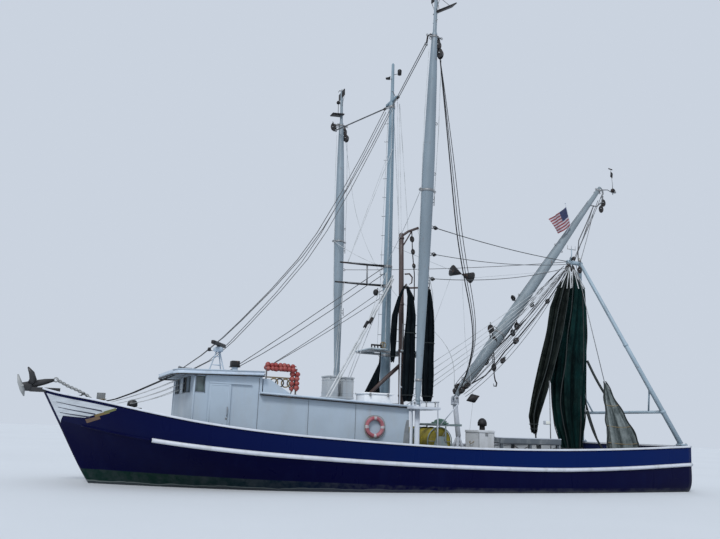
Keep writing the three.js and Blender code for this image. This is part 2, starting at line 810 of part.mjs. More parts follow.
// Mast with its crosstree, spreaders and working platform
const mastSpar = spar([
  [BELOW_DECK, MAST_RADIUS],
  [4000, MAST_RADIUS],
  [9000, 150],
  [14500, 105],
  [14700, 70],
  [16250, 55],
]).translate(MAST_X, 0, 0);
const CROSSTREE = { z: [14560, 14650], half: 480, thick: 60 };
const crosstree = box(
  [MAST_X - CROSSTREE.thick, -CROSSTREE.half, CROSSTREE.z[0]],
  [MAST_X + CROSSTREE.thick, CROSSTREE.half, CROSSTREE.z[1]],
);
const SPREADERS = [
  [7900, 1650],
  [7150, 1800],
];
const spreaders = SPREADERS.map(([z, reach]) =>
  bar([MAST_X - reach, 0, z - 60], [MAST_X, 0, z], 28, 38),
);
const mast = seat(join(mastSpar, crosstree, ...spreaders), hull);
add("mast", mast, "spar");

// Working platform across the mast, on the two net posts that stand behind the house
const PLATFORM = { x: [240, 1500], z: 4660, half: 760 };
const POST_TOP = { port: 9050, starboard: 6200 };
const POST_Y = 600;
const STOWED_NETS = { net_stowed_forward: [230, -1080], net_stowed_after: [1180, -1040] };
const ARM_Z = 7060;
const netPosts = [-1, 1].map((sign) => {
  const top = sign < 0 ? POST_TOP.port : POST_TOP.starboard;
  const post = bar([380, sign * POST_Y, 600], [360, sign * POST_Y, top], 85, 62);
  const head = [bar([360, -POST_Y, POST_TOP.port - 70], [950, -POST_Y, POST_TOP.port - 20], 32)];
  const arms = Object.values(STOWED_NETS).map(([x, y]) => bar([365, -POST_Y, ARM_Z - 40], [x, y, ARM_Z], 34));
  return seat(join(post, ...(sign < 0 ? [...head, ...arms] : [])), hull);
});
add("net_post_port", netPosts[0], "rust");
add("net_post_starboard", netPosts[1], "spar");
const AROUND = [
  [1, 0, 0],
  [-1, 0, 0],
  [0, 1, 0],
  [0, -1, 0],
];
const planks = join(
  box([PLATFORM.x[0], -PLATFORM.half, PLATFORM.z], [PLATFORM.x[1], PLATFORM.half, PLATFORM.z + 60]),
  box([MAST_X + 140, -60, PLATFORM.z], [PLATFORM.x[0] + 10, 60, PLATFORM.z + 60]),
);
const platform = [...netPosts, mast].reduce((piece, post) => seat(piece, post, AROUND), planks);
add("mast_platform", platform, "white");

// Outrigger steps: two posts and a plate a side, tied by a beam across the boat behind the house
const STEP = { top: 2640, thick: 80, inner: 3180, x: [-680, 290], beam: [210, 290] };
const stepPlate = box(
  [STEP.x[0], STEP.inner - 60, STEP.top - STEP.thick],
  [STEP.x[1], HEEL_Y + 90, STEP.top],
);
const stepPosts = [
  bar([-590, STEP.inner + 60, BELOW_DECK], [-590, STEP.inner + 60, STEP.top - 20], 38),
  bar([-370, STEP.inner + 60, BELOW_DECK], [-370, STEP.inner + 60, STEP.top - 20], 82),
];
const HEEL_EAR = { gap: 66, thick: 30, reach: 50 };
const ears = [-1, 1].map((sign) => {
  const x = HEEL_X + sign * (HEEL_EAR.gap + HEEL_EAR.thick / 2);
  return box(
    [x - HEEL_EAR.thick / 2, HEEL_Y - HEEL_EAR.reach, STEP.top - 20],
    [x + HEEL_EAR.thick / 2, HEEL_Y + HEEL_EAR.reach, HEEL_Z + HEEL_EAR.reach],
  );
});
const HEEL_PIN = 24;
const PIN_SIDES = 24;
const PIN_PLAY = 0.8;
const heelPin = bar(
  [HEEL_X - HEEL_EAR.gap - 20, HEEL_Y, HEEL_Z],
  [HEEL_X + HEEL_EAR.gap + 20, HEEL_Y, HEEL_Z],
  HEEL_PIN,
  HEEL_PIN,
  PIN_SIDES,
);
const step = seat(join(stepPlate, ...stepPosts, ...ears, heelPin), hull);
add("outrigger_step_starboard", step, "white");
add("outrigger_step_port", mirrored(step), "white");
add(
  "outrigger_beam",
  box(
    [STEP.beam[0], -STEP.inner + 60 + SEAT, STEP.top - 90],
    [STEP.beam[1], STEP.inner - 60 - SEAT, STEP.top + 30],
  ),
  "white",
);

// Outriggers: spindle spars hinged at the heel, with a reflector plate and a block band near the head
const OUTRIGGER_TABLE = [
  [60, 56],
  [150, 58],
  [330, 92],
  [700, 98],
  [2500, 140],
  [4800, 185],
  [7000, 205],
  [9300, 175],
  [10900, 145],
  [12500, 92],
  [12560, 66],
  [OUTRIGGER_LENGTH, 55],
];
const heelEye = cut(
  join(bar([-60, 0, 0], [60, 0, 0], 58, 58, 16), box([-60, -58, 0], [60, 58, 90])),
  bar([-100, 0, 0], [100, 0, 0], HEEL_PIN + PIN_PLAY, HEEL_PIN + PIN_PLAY, PIN_SIDES),
);
const reflector = box([-20, -330, OUTRIGGER_LENGTH - 330], [20, 330, OUTRIGGER_LENGTH - 30]);
const bands = [12350, 6900].map((z) => box([-260, -50, z], [260, 50, z + 70]));
const outrigger = join(spar(OUTRIGGER_TABLE), heelEye, reflector, ...bands)
  .rotateX(-OUTRIGGER_LEAN)
  .translate(HEEL_X, HEEL_Y, HEEL_Z);
add("outrigger_starboard", outrigger, "spar");
add("outrigger_port", mirrored(outrigger), "spar");

// Boom step: a post on three splayed legs, with a fork for the boom's heel
const FORK = { y: 117, thick: 17, pin: 30 };
const forkPin = bar(
  [BOOM_HEEL[0], -FORK.y, BOOM_HEEL[2]],
  [BOOM_HEEL[0], FORK.y, BOOM_HEEL[2]],
  FORK.pin,
  FORK.pin,
  PIN_SIDES,
);
const forkEars = [-1, 1].map((sign) =>
  box(
    [BOOM_HEEL[0] - 90, sign * FORK.y - FORK.thick, BOOM_HEEL[2] - 260],
    [BOOM_HEEL[0] + 90, sign * FORK.y + FORK.thick, BOOM_HEEL[2] + 90],
  ),
);
const STEP_KNEE = [3080, 0, 1800];
const splayedLegs = [
  [2750, -420],
  [2750, 420],
  [3560, 0],
].map(([x, y]) => bar([x, y, 650], STEP_KNEE, 55));
const boomStep = seat(
  join(
    bar(STEP_KNEE, [BOOM_HEEL[0], 0, BOOM_HEEL[2] - 170], 95),
    bar([BOOM_HEEL[0], 0, BOOM_HEEL[2] - 270], [BOOM_HEEL[0], 0, BOOM_HEEL[2] - 170], 150),
    forkPin,
    ...forkEars,
    ...splayedLegs,
  ),
  hull,
);
add("boom_step", boomStep, "white");

// Main boom, luffing on the fork
const boomVector = new THREE.Vector3(...BOOM_TIP).sub(new THREE.Vector3(...BOOM_HEEL));
const BOOM_LENGTH = boomVector.length();
const BOOM_PITCH = Math.atan2(boomVector.x, boomVector.z);
const BOOM_TABLE = [
  [60, 70],
  [180, 88],
  [700, 160],
  [3200, 235],
  [5600, 220],
  [8200, 175],
  [10200, 120],
  [BOOM_LENGTH, 90],
];
const boomEye = cut(
  join(bar([0, -70, 0], [0, 70, 0], 68, 68, 16), box([-68, -70, 0], [68, 70, 110])),
  bar([0, -100, 0], [0, 100, 0], FORK.pin + PIN_PLAY, FORK.pin + PIN_PLAY, PIN_SIDES),
);
const boomHead = join(
  box([-60, -220, BOOM_LENGTH - 260], [60, 220, BOOM_LENGTH - 180]),
  bar([0, 0, BOOM_LENGTH - 60], [260, 0, BOOM_LENGTH - 330], 40),
);
const boom = join(spar(BOOM_TABLE), boomEye, boomHead)
  .rotateY(BOOM_PITCH)
  .translate(...BOOM_HEEL);
add("boom", boom, "spar");

// Stern gallows: two legs from the quarters to one head, tied by a crossbar
const [footX, footY, footZ] = GALLOWS_FOOT;
const [apexX, , apexZ] = GALLOWS_APEX;
const legPoint = (z, sign) => {
  const part = (apexZ - z) / (apexZ - footZ);
  return [apexX + (footX - apexX) * part, sign * footY * part, z];
};
const legs = [-1, 1].map((sign) => bar([footX, sign * footY, footZ + 50], legPoint(apexZ, sign), 95, 70));
const pads = [-1, 1].map((sign) =>
  box([footX - 150, sign * footY - 150, CAP_TOP + SEAT], [footX + 150, sign * footY + 150, CAP_TOP + 60]),
);
const BAR_Z = 2950;
const FALL_RADIUS = 16;
const NET_HOOKS = {
  main: [apexX - 400, 0, apexZ - 420],
  forward: [apexX - 740, -150, apexZ - 450],
  apron: [apexX - 240, -1500, 4060],
};
const gallows = join(
  ...legs,
  ...pads,
  bar(legPoint(BAR_Z, -1), legPoint(BAR_Z, 1), 60),
  bar([apexX - 690, 0, apexZ - 40], [apexX + 80, 0, apexZ - 40], 90),
  bar(NET_HOOKS.main, [apexX - 400, 0, apexZ], 50),
  bar(NET_HOOKS.forward, [apexX - 640, 0, apexZ - 20], 50),
  bar(NET_HOOKS.apron, [apexX - 240, 0, apexZ - 40], FALL_RADIUS),
);
add("gallows", gallows, "spar");

// Trawl winch: a frame on the deck with a bearing plate at each end and in the middle, and a drum each side
const WINCH = { x: 1550, z: 1560, flange: 500, barrel: 190, wound: 190, inner: 170, outer: 1330 };
const WINCH_PLATE = { thick: 60, foot: 520, head: 150 };
const winchPlates = [-WINCH.outer - 50, 0, WINCH.outer + 50].map((y) =>
  prism(
    [
      [WINCH.x - WINCH_PLATE.foot, BELOW_DECK],
      [WINCH.x + WINCH_PLATE.foot, BELOW_DECK],
      [WINCH.x + WINCH_PLATE.head, WINCH.z + 170],
      [WINCH.x - WINCH_PLATE.head, WINCH.z + 170],
    ],
    [],
    "side",
    -y - WINCH_PLATE.thick / 2,
    -y + WINCH_PLATE.thick / 2,
  ),
);
const winchBeds = [-460, 460].map((dx) =>
  box([WINCH.x + dx - 60, -WINCH.outer - 80, 800], [WINCH.x + dx + 60, WINCH.outer + 80, 960]),
);
const gearbox = box([WINCH.x - 200, -110, WINCH.z - 240], [WINCH.x + 200, 110, WINCH.z + 240]);
add("winch_frame", seat(join(...winchPlates, ...winchBeds, gearbox), hull), "steel");
const drumProfile = [
  [WINCH.inner, 0],
  [WINCH.inner, WINCH.flange],
  [WINCH.inner + 30, WINCH.flange],
  [WINCH.inner + 60, WINCH.barrel + WINCH.wound],
  [WINCH.outer - 60, WINCH.barrel + WINCH.wound],
  [WINCH.outer - 30, WINCH.flange],
  [WINCH.outer, WINCH.flange],
  [WINCH.outer, 0],
];
const drumBody = new THREE.LatheGeometry(
  drumProfile.map(([y, r]) => new THREE.Vector2(r, y)),
  24,
).translate(WINCH.x, 0, WINCH.z);
const axle = bar(
  [WINCH.x, 110 + SEAT, WINCH.z],
  [WINCH.x, WINCH.outer + 50 - WINCH_PLATE.thick / 2 - SEAT, WINCH.z],
  60,
);
const drum = join(drumBody, axle);
add("winch_drum_starboard", drum, "yellow");
add("winch_drum_port", mirrored(drum), "yellow");

// Fish hold: a coaming on the deck with a lid hinged on its after side
const COAMING = { wall: 60, top: 1180, lid: 50 };
const coamingOuter = box(
  [HOLD.x[0] - COAMING.wall, -HOLD.half - COAMING.wall, BELOW_DECK],
  [HOLD.x[1] + COAMING.wall, HOLD.half + COAMING.wall, COAMING.top],
);
const coaming = cut(
  coamingOuter,
  box([HOLD.x[0], -HOLD.half, 600], [HOLD.x[1], HOLD.half, 1300]),
);
const LID_HINGE = [HOLD.x[1] + COAMING.wall + 55, 0, COAMING.top + 30];
const lidPins = [-420, 420].map((y) =>
  join(
    bar([LID_HINGE[0], y - 40, LID_HINGE[2]], [LID_HINGE[0], y + 40, LID_HINGE[2]], 20),
    box([HOLD.x[1] + 46, y - 40, COAMING.top - 90], [LID_HINGE[0] + 20, y + 40, LID_HINGE[2] - 12]),
  ),
);
add("hold_coaming", seat(join(coaming, ...lidPins), hull), "white");
const lidPanel = box(
  [HOLD.x[0] - COAMING.wall, -HOLD.half - COAMING.wall, COAMING.top + 8],
  [HOLD.x[1] + COAMING.wall - 20, HOLD.half + COAMING.wall, COAMING.top + 8 + COAMING.lid],
);
const lidStraps = [-320, 320].map((y) =>
  join(
    bar([LID_HINGE[0], y - 60 + SEAT, LID_HINGE[2]], [LID_HINGE[0], y + 60 - SEAT, LID_HINGE[2]], 20),
    box([HOLD.x[1] - 100, y - 60 + SEAT, COAMING.top + 40], [LID_HINGE[0], y + 60 - SEAT, COAMING.top + 62]),
  ),
);
add("hold_lid", join(lidPanel, ...lidStraps), "white");

// Sorting table along the port side, and a box beside it
const TABLE = { x: [2980, 5520], y: [-2900, -1750], top: 1620, leg: 45 };
const tableLegs = [];
for (const x of [TABLE.x[0] + 100, (TABLE.x[0] + TABLE.x[1]) / 2, TABLE.x[1] - 100]) {
  for (const y of [TABLE.y[0] + 60, TABLE.y[1] - 60]) {
    const foot = [x - TABLE.leg, y - TABLE.leg, BELOW_DECK];
    tableLegs.push(box(foot, [x + TABLE.leg, y + TABLE.leg, TABLE.top]));
  }
}
const tableRails = TABLE.y.map((y) =>
  box([TABLE.x[0], y - 25, TABLE.top - 30], [TABLE.x[1], y + 25, TABLE.top + 130]),
);
const table = join(
  ...tableLegs,
  ...tableRails,
  box([TABLE.x[0], TABLE.y[0], TABLE.top - 60], [TABLE.x[1], TABLE.y[1], TABLE.top]),
);
add("sorting_table", seat(table, hull), "timber");
add("deck_box", seat(box([2250, -2750, BELOW_DECK], [2850, -1900, 1980]), hull), "white");

// Nets: bundles hung from the gallows' hooks. Columns are x, y, z, half length, half breadth.
const NET_SIDES = 12;
const HUNG = [[0, 0, -1], ...AROUND];
const STOWED_ROWS = [
  [7050, 45, 45],
  [6750, 150, 110],
  [6100, 260, 170],
  [4900, 310, 200],
  [3700, 300, 200],
  [3060, 230, 170],
  [2830, 120, 100],
];
function bundle(table) {
  return loft(
    table.map(([x, y, z, a, b]) => {
      const points = [];
      for (let i = 0; i < NET_SIDES; i++) {
        const angle = (i / NET_SIDES) * 2 * Math.PI;
        points.push([x + a * Math.cos(angle), y + b * Math.sin(angle), z]);
      }
      return points;
    }),
    [0, 1],
  );
}
const NETS = {
  net_main: [
    [8640, 0, 8760, 50, 50],
    [8640, 0, 8560, 60, 60],
    [8620, 0, 8000, 170, 190],
    [8580, 0, 7000, 380, 330],
    [8600, 0, 5400, 500, 420],
    [8620, 0, 3600, 480, 420],
    [8560, 0, 2200, 400, 380],
    [8420, 0, 1250, 320, 320],
    [8400, 0, 850, 240, 240],
  ],
  net_forward: [
    [8300, -150, 8760, 40, 40],
    [8180, -330, 8250, 90, 80],
    [7880, -470, 7400, 190, 150],
    [7500, -520, 6000, 330, 200],
    [7060, -560, 4600, 360, 220],
    [6560, -600, 3200, 280, 200],
    [6200, -640, 2250, 180, 150],
    [6120, -650, 1900, 110, 100],
  ],
};
for (const [name, table] of Object.entries(NETS)) {
  add(name, seat(seat(bundle(table), hull), gallows, HUNG), "net");
}
for (const [name, [x, y]] of Object.entries(STOWED_NETS)) {
  const stowed = bundle(STOWED_ROWS.map(([z, a, b]) => [x, y, z, a, b]));
  add(name, seat(stowed, netPosts[0], HUNG), "net");
}
const APRON = [
  [8800, -1500, 4060, 40, 30],
  [8980, -1620, 3200, 330, 50],
  [9200, -1760, 2300, 640, 80],
  [9300, -1840, 1700, 780, 110],
  [9300, -1860, 880, 700, 160],
];
add("net_apron", seat(seat(bundle(APRON), hull), gallows, HUNG), "webbing");

// Rudder on its shoe and trunk, and the propeller on its shaft
const trunkFoot = TRUNK.z[0];
const rudderBlade = prism(
  [
    [RUDDER_X - 170, KEEL_BOTTOM_Z + 190],
    [RUDDER_X + 620, KEEL_BOTTOM_Z + 260],
    [RUDDER_X + 560, -650],
    [RUDDER_X - 170, -650],
  ],
  [],
  "side",
  -45,
  45,
);
const rudderStock = bar(
  [RUDDER_X, 0, KEEL_BOTTOM_Z + 110 + SEAT],
  [RUDDER_X, 0, trunkFoot - SEAT],
  70,
);
add("rudder", join(rudderBlade, rudderStock), "hull");
const hub = new THREE.LatheGeometry(
  [
    [0, SHAFT_X + SEAT],
    [75, SHAFT_X + SEAT],
    [125, SHAFT_X + 120],
    [125, SHAFT_X + 330],
    [60, SHAFT_X + 440],
    [0, SHAFT_X + 450],
  ].map(([r, x]) => new THREE.Vector2(r, x)),
  20,
).rotateZ(-Math.PI / 2);
const BLADES = 4;
const blades = [];
for (let i = 0; i < BLADES; i++) {
  const outline = new THREE.Shape();
  outline.moveTo(-60, 60);
  outline.bezierCurveTo(-260, 250, -260, 560, 0, PROP_RADIUS);
  outline.bezierCurveTo(240, 560, 200, 250, 60, 60);
  const blade = new THREE.ExtrudeGeometry(outline, { depth: 36, bevelEnabled: false, curveSegments: 6 });
  blade.translate(0, 0, -18).rotateY(THREE.MathUtils.degToRad(90 - 32));
  blade.rotateX((i / BLADES) * 2 * Math.PI).translate(SHAFT_X + 225, 0, 0);
  blades.push(blade);
}
add("propeller", join(hub, ...blades).translate(0, 0, SHAFT_Z), "bronze");

// Samson post with its windlass on the foredeck, and the anchor on its roller at the stem
const POST = { x: -9750, z: 2700 };
const samson = join(
  box([POST.x - 120, -120, 1400], [POST.x + 120, 120, POST.z]),
  bar([POST.x, -420, POST.z - 330], [POST.x, 420, POST.z - 330], 55),
  bar([POST.x + 40, -520, 2020], [POST.x + 40, 520, 2020], 150, 150, 16),
);
add("samson_post", seat(samson, hull), "white");
const ROLLER_Z = 2580 + CAP_THICK;
const roller = join(
  box([-11800, -150, ROLLER_Z + SEAT], [-10950, -95, ROLLER_Z + 130]),
  box([-11800, 95, ROLLER_Z + SEAT], [-10950, 150, ROLLER_Z + 130]),
  box([-11500, -150, ROLLER_Z + SEAT], [-10950, 150, ROLLER_Z + 30]),
  bar([-11730, -120, ROLLER_Z + 60], [-11730, 120, ROLLER_Z + 60], 45),
);
const bowRoller = seat(seat(roller, capRail), mirrored(capRail));
add("bow_roller", bowRoller, "steel");
const anchorZ = ROLLER_Z + 108;
const anchor = join(
  bar([-11980, 0, anchorZ + 40], [-10900, 0, anchorZ + 20], 42),
  bar([-11980, -330, anchorZ + 40], [-11980, 330, anchorZ + 40], 34),
  bar([-11990, -70, anchorZ + 30], [-12180, -150, anchorZ - 230], 60, 25),
  bar([-11990, 70, anchorZ + 30], [-12180, 150, anchorZ - 230], 60, 25),
  bar([-11990, -70, anchorZ + 30], [-11900, -200, anchorZ + 420], 60, 25),
  bar([-11990, 70, anchorZ + 30], [-11900, 200, anchorZ + 420], 60, 25),
  box([-11990 - 90, -130, anchorZ - 40], [-11990 + 60, 130, anchorZ + 110]),
);
add("anchor", seat(anchor, bowRoller), "dark");

// Forestays: a slack pair of wires from the crosstree's ends to one eye plate on the front of the pilothouse roof
const STAY = 14;
const STAY_EYE = { x: -7340, y: 290, half: 60, apart: 45, top: 3605 };
// Columns are x and z, from the crosstree down to the eye plate.
const STAY_LINE = [
  [-60, 14575],
  [-1000, 12450],
  [-1880, 10620],
  [-2760, 8940],
  [-3470, 7820],
  [-4410, 6600],
  [-5430, 5400],
  [-6010, 4760],
  [-6690, 4110],
  [STAY_EYE.x, 3590],
];
const stayPoint = ([x, z], sign) => {
  const share = (x - STAY_LINE[0][0]) / (STAY_EYE.x - STAY_LINE[0][0]);
  const high = sign * (CROSSTREE.half - 40);
  const low = STAY_EYE.y + sign * STAY_EYE.apart;
  return [x, high + (low - high) * share, z];
};
const stayBars = [-1, 1].flatMap((sign) =>
  STAY_LINE.slice(1).map((point, i) =>
    bar(stayPoint(STAY_LINE[i], sign), stayPoint(point, sign), STAY, STAY, 8),
  ),
);
const eyePlate = box(
  [STAY_EYE.x - STAY_EYE.half, STAY_EYE.y - STAY_EYE.half - STAY_EYE.apart, insidePilotRoof(STAY_EYE.x)],
  [STAY_EYE.x + STAY_EYE.half, STAY_EYE.y + STAY_EYE.half + STAY_EYE.apart, STAY_EYE.top],
);
const stays = seat(join(eyePlate, ...stayBars), pilotRoof);
add("forestay", cut(stays, mast.clone().translate(0, 0, -SEAT), mast), "steel");

export default trawler;
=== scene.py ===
"""Looks of an outrigger shrimp trawler of about 23 m, afloat, outriggers topped up and nets hung to dry.

Metres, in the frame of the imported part: X aft, Y to starboard, Z up, the origin at the waterline amidships.
"""

import math

import bmesh
import bpy
import numpy as np
from mathutils import Matrix, Vector, noise


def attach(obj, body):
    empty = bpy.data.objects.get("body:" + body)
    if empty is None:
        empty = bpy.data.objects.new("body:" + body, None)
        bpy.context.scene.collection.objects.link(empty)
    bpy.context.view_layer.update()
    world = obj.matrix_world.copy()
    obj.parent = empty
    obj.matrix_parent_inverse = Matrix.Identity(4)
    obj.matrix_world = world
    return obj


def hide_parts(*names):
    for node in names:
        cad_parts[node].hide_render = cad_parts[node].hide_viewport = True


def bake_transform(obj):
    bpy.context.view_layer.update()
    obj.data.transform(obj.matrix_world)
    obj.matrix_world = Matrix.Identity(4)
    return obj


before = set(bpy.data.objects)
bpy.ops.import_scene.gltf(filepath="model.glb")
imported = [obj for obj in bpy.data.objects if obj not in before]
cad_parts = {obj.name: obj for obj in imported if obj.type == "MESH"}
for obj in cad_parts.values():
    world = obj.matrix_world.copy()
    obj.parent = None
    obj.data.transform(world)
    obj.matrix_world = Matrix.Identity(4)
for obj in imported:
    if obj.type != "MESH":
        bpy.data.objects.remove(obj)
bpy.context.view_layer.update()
scene = bpy.context.scene

# The eye stands low over the water off the port bow and looks up and aft.
# The frame leans two degrees, as the photograph does.
EYE = Vector((-11.573, -24.516, 1.824))
YAW = math.radians(23.02)
PITCH = math.radians(12.346)
ROLL = math.radians(2.025)
LENS_MM = 36.83
FAR_M = 600

ahead = Vector((math.sin(YAW) * math.cos(PITCH), math.cos(YAW) * math.cos(PITCH), math.sin(PITCH)))
across = Vector((math.cos(YAW), -math.sin(YAW), 0))
upright = across.cross(ahead)
right = across * math.cos(ROLL) + upright * math.sin(ROLL)
upward = upright * math.cos(ROLL) - across * math.sin(ROLL)
camera_data = bpy.data.cameras.new("camera")
camera_data.lens = LENS_MM
camera_data.clip_end = FAR_M
camera = bpy.data.objects.new("camera", camera_data)
scene.collection.objects.link(camera)
camera.matrix_world = Matrix.Translation(EYE) @ Matrix((right, upward, -ahead)).transposed().to_4x4()
scene.camera = camera
scene.view_settings.view_transform = "Standard"

# A pale floor at the waterline under a pale, even sky, with one broad sun from off the port bow.
# The floor is a large disc of matt plaster colour with a faint mottle.
FLOOR_RADIUS = 280
FLOOR_TONE = (0.62, 0.65, 0.68, 1)
FLOOR_LIGHTER = tuple(c * 1.05 for c in FLOOR_TONE)
FLOOR_SIDES = 96
SKY_TONE = (0.80, 0.88, 1.0, 1)
SKY_STRENGTH = 0.74
SUN_STRENGTH = 1.6
SUN_SPREAD = math.radians(14)
SUN_FROM = Vector((-0.55, -0.62, 0.80))


def node(tree, kind, settings=None, **inputs):
    """A node with its settings; an input is named by its label, or by i and its place."""
    made = tree.nodes.new(kind)
    for key, value in (settings or {}).items():
        setattr(made, key, value)
    for key, value in inputs.items():
        place = key[1:]
        socket = made.inputs[int(place)] if key[0] == "i" and place.isdigit() else made.inputs[
            key.replace("_", " ")
        ]
        if isinstance(value, bpy.types.NodeSocket):
            tree.links.new(value, socket)
        else:
            socket.default_value = value
    return made


def finish(name, **sockets):
    """A material with one principled shader, and its tree, shader and object coordinates."""
    material = bpy.data.materials.new(name)
    material.use_nodes = True
    tree = material.node_tree
    shader = tree.nodes["Principled BSDF"]
    for key, value in sockets.items():
        shader.inputs[key.replace("_", " ")].default_value = value
    place = tree.nodes.new("ShaderNodeTexCoord").outputs["Object"]
    return material, tree, shader, place


def speckle(tree, place, scale, detail=4.0, roughness=0.55, stretch=(1, 1, 1)):
    """Cloudy noise from 0 to 1, drawn out along an axis where stretch is under 1."""
    turned = node(tree, "ShaderNodeMapping", Vector=place, Scale=stretch).outputs[0]
    return node(
        tree, "ShaderNodeTexNoise", Vector=turned, Scale=scale, Detail=detail, Roughness=roughness
    ).outputs["Fac"]


def between(tree, value, low, high, start=0.0, end=1.0):
    """value mapped from low..high to start..end and held there."""
    return node(
        tree, "ShaderNodeMapRange", Value=value, From_Min=low, From_Max=high, To_Min=start, To_Max=end
    ).outputs[0]


def sums(tree, operation, a, b=0.0):
    return node(tree, "ShaderNodeMath", {"operation": operation}, i0=a, i1=b).outputs[0]


def mixed(tree, share, a, b):
    """Colour a turning to colour b as share goes from 0 to 1."""
    return node(tree, "ShaderNodeMix", {"data_type": "RGBA"}, i0=share, i6=a, i7=b).outputs[2]


def relief(tree, shader, height, strength, depth):
    """Bump from a height, on top of the bump that the shader has already."""
    under = shader.inputs["Normal"]
    bump = node(tree, "ShaderNodeBump", Height=height, Strength=strength, Distance=depth)
    if under.links:
        tree.links.new(under.links[0].from_socket, bump.inputs["Normal"])
    tree.links.new(bump.outputs[0], under)


def give(tree, shader, label, value):
    tree.links.new(value, shader.inputs[label])


def two_tone(name, first, second, grain, span=None, bump=None, **sockets):
    """A finish that wanders between two tones: its noise, the band of it that turns, and its relief."""
    material, tree, shader, place = finish(name, **sockets)
    cloud = speckle(tree, place, *grain)
    share = between(tree, cloud, *span) if span else cloud
    give(tree, shader, "Base Color", mixed(tree, share, first, second))
    if bump:
        relief(tree, shader, cloud, *bump)
    return material


def solid_mesh(name, points, faces, smooth=True):
    mesh = bpy.data.meshes.new(name)
    mesh.from_pydata([tuple(p) for p in points], [], [tuple(f) for f in faces])
    mesh.polygons.foreach_set("use_smooth", [smooth] * len(mesh.polygons))
    mesh.update()
    return mesh


def link(name, mesh, *materials):
    made = bpy.data.objects.new(name, mesh)
    scene.collection.objects.link(made)
    for material in materials:
        mesh.materials.append(material)
    return made


rim = [2 * math.pi * i / FLOOR_SIDES for i in range(FLOOR_SIDES)]
floor_mesh = solid_mesh(
    "floor", [(FLOOR_RADIUS * math.cos(a), FLOOR_RADIUS * math.sin(a), 0) for a in rim], [range(FLOOR_SIDES)]
)
plaster = two_tone("floor_plaster", FLOOR_TONE, FLOOR_LIGHTER, (0.08,), (0.3, 0.7), Roughness=0.85)
floor = link("floor", floor_mesh, plaster)

world = bpy.data.worlds.new("sky")
scene.world = world
world.use_nodes = True
world.node_tree.nodes["Background"].inputs["Color"].default_value = SKY_TONE
world.node_tree.nodes["Background"].inputs["Strength"].default_value = SKY_STRENGTH
sun_data = bpy.data.lights.new("sun", "SUN")
sun_data.energy = SUN_STRENGTH
sun_data.angle = SUN_SPREAD
sun = bpy.data.objects.new("sun", sun_data)
sun.rotation_euler = SUN_FROM.to_track_quat("Z", "Y").to_euler()
scene.collection.objects.link(sun)

# The hull is fair welded steel plate on a deep keel: royal navy above the guard, near-black navy below it,
# green antifouling under a thin light line at the bow and a grey beard of growth along the waterline. The
# deck is sheathed with planks fore and aft on a low camber, and the bulwark is pale grey inside.
SIDES = ((-1, "port"), (1, "starboard"))
STERN = 11.45
STEM_HALF = 0.06
CAMBER = 0.06
BULWARK_THICK = 0.10
DECK_ROW = 4
SHEER_ROW = 5
DECK_SKIN = 0.006
DECK_LINE = (
    (-10.95, 1.850), (-10.0, 1.640), (-8.5, 1.370), (-6.0, 1.120), (-3.5, 0.975),
    (-1.0, 0.868), (2.0, 0.790), (5.0, 0.765), (8.0, 0.845), (STERN, 1.010),
)
SHEER_LINE = (
    (-11.45, 2.720), (-11.1, 2.620), (-10.7, 2.535), (-10.0, 2.405), (-8.5, 2.095), (-7.0, 1.850),
    (-5.0, 1.645), (-3.0, 1.525), (-1.0, 1.435), (1.0, 1.375), (3.0, 1.365), (5.0, 1.390), (7.0, 1.445),
    (9.0, 1.525), (STERN, 1.640),
)
# Rows of the hull from the keel up: x at the stem, half breadths, and heights or the line that gives them.
SHARES = (0, 0.05, 0.12, 0.22, 0.35, 0.5, 0.7, 0.85, 1)
ROWS = (
    (-8.70, (STEM_HALF, 0.09, 0.1, 0.1, 0.1, 0.1, 0.1, 0.1, 0.1),
     (-1.25, -1.38, -1.50, -1.62, -1.70, -1.68, -1.28, -0.70, -0.16)),
    (-8.95, (STEM_HALF, 0.33, 0.76, 1.38, 2.00, 2.25, 2.15, 1.95, 1.75),
     (-0.95, -1.06, -1.16, -1.23, -1.26, -1.23, -0.90, -0.47, -0.10)),
    (-9.35, (STEM_HALF, 0.56, 1.27, 2.18, 2.88, 3.13, 3.13, 3.00, 2.83),
     (-0.50, -0.58, -0.65, -0.70, -0.73, -0.71, -0.51, -0.26, -0.02)),
    (-9.85, (STEM_HALF, 0.76, 1.60, 2.60, 3.20, 3.42, 3.45, 3.30, 3.02),
     (0, 0, 0, 0, 0, 0, 0.02, 0.10, 0.25)),
    (-10.95, (STEM_HALF, 1.22, 2.40, 3.20, 3.49, 3.56, 3.52, 3.37, 3.08), DECK_LINE),
    (-11.45, (STEM_HALF, 1.35, 2.56, 3.27, 3.54, 3.60, 3.55, 3.40, 3.11), SHEER_LINE),
)


def along(table, place):
    """Smooth value of a two-column table at a place, by cubic pieces through its points."""
    x, y = (np.array(column, float) for column in zip(*table))
    slopes = np.empty(len(x))
    slopes[1:-1] = (y[2:] - y[:-2]) / (x[2:] - x[:-2])
    slopes[0], slopes[-1] = (y[1] - y[0]) / (x[1] - x[0]), (y[-1] - y[-2]) / (x[-1] - x[-2])
    i = np.clip(np.searchsorted(x, place, side="left") - 1, 0, len(x) - 2)
    width = x[i + 1] - x[i]
    u = (place - x[i]) / width
    return (
        (2 * u**3 - 3 * u**2 + 1) * y[i]
        + (u**3 - 2 * u**2 + u) * width * slopes[i]
        + (3 * u**2 - 2 * u**3) * y[i + 1]
        + (u**3 - u**2) * width * slopes[i + 1]
    )


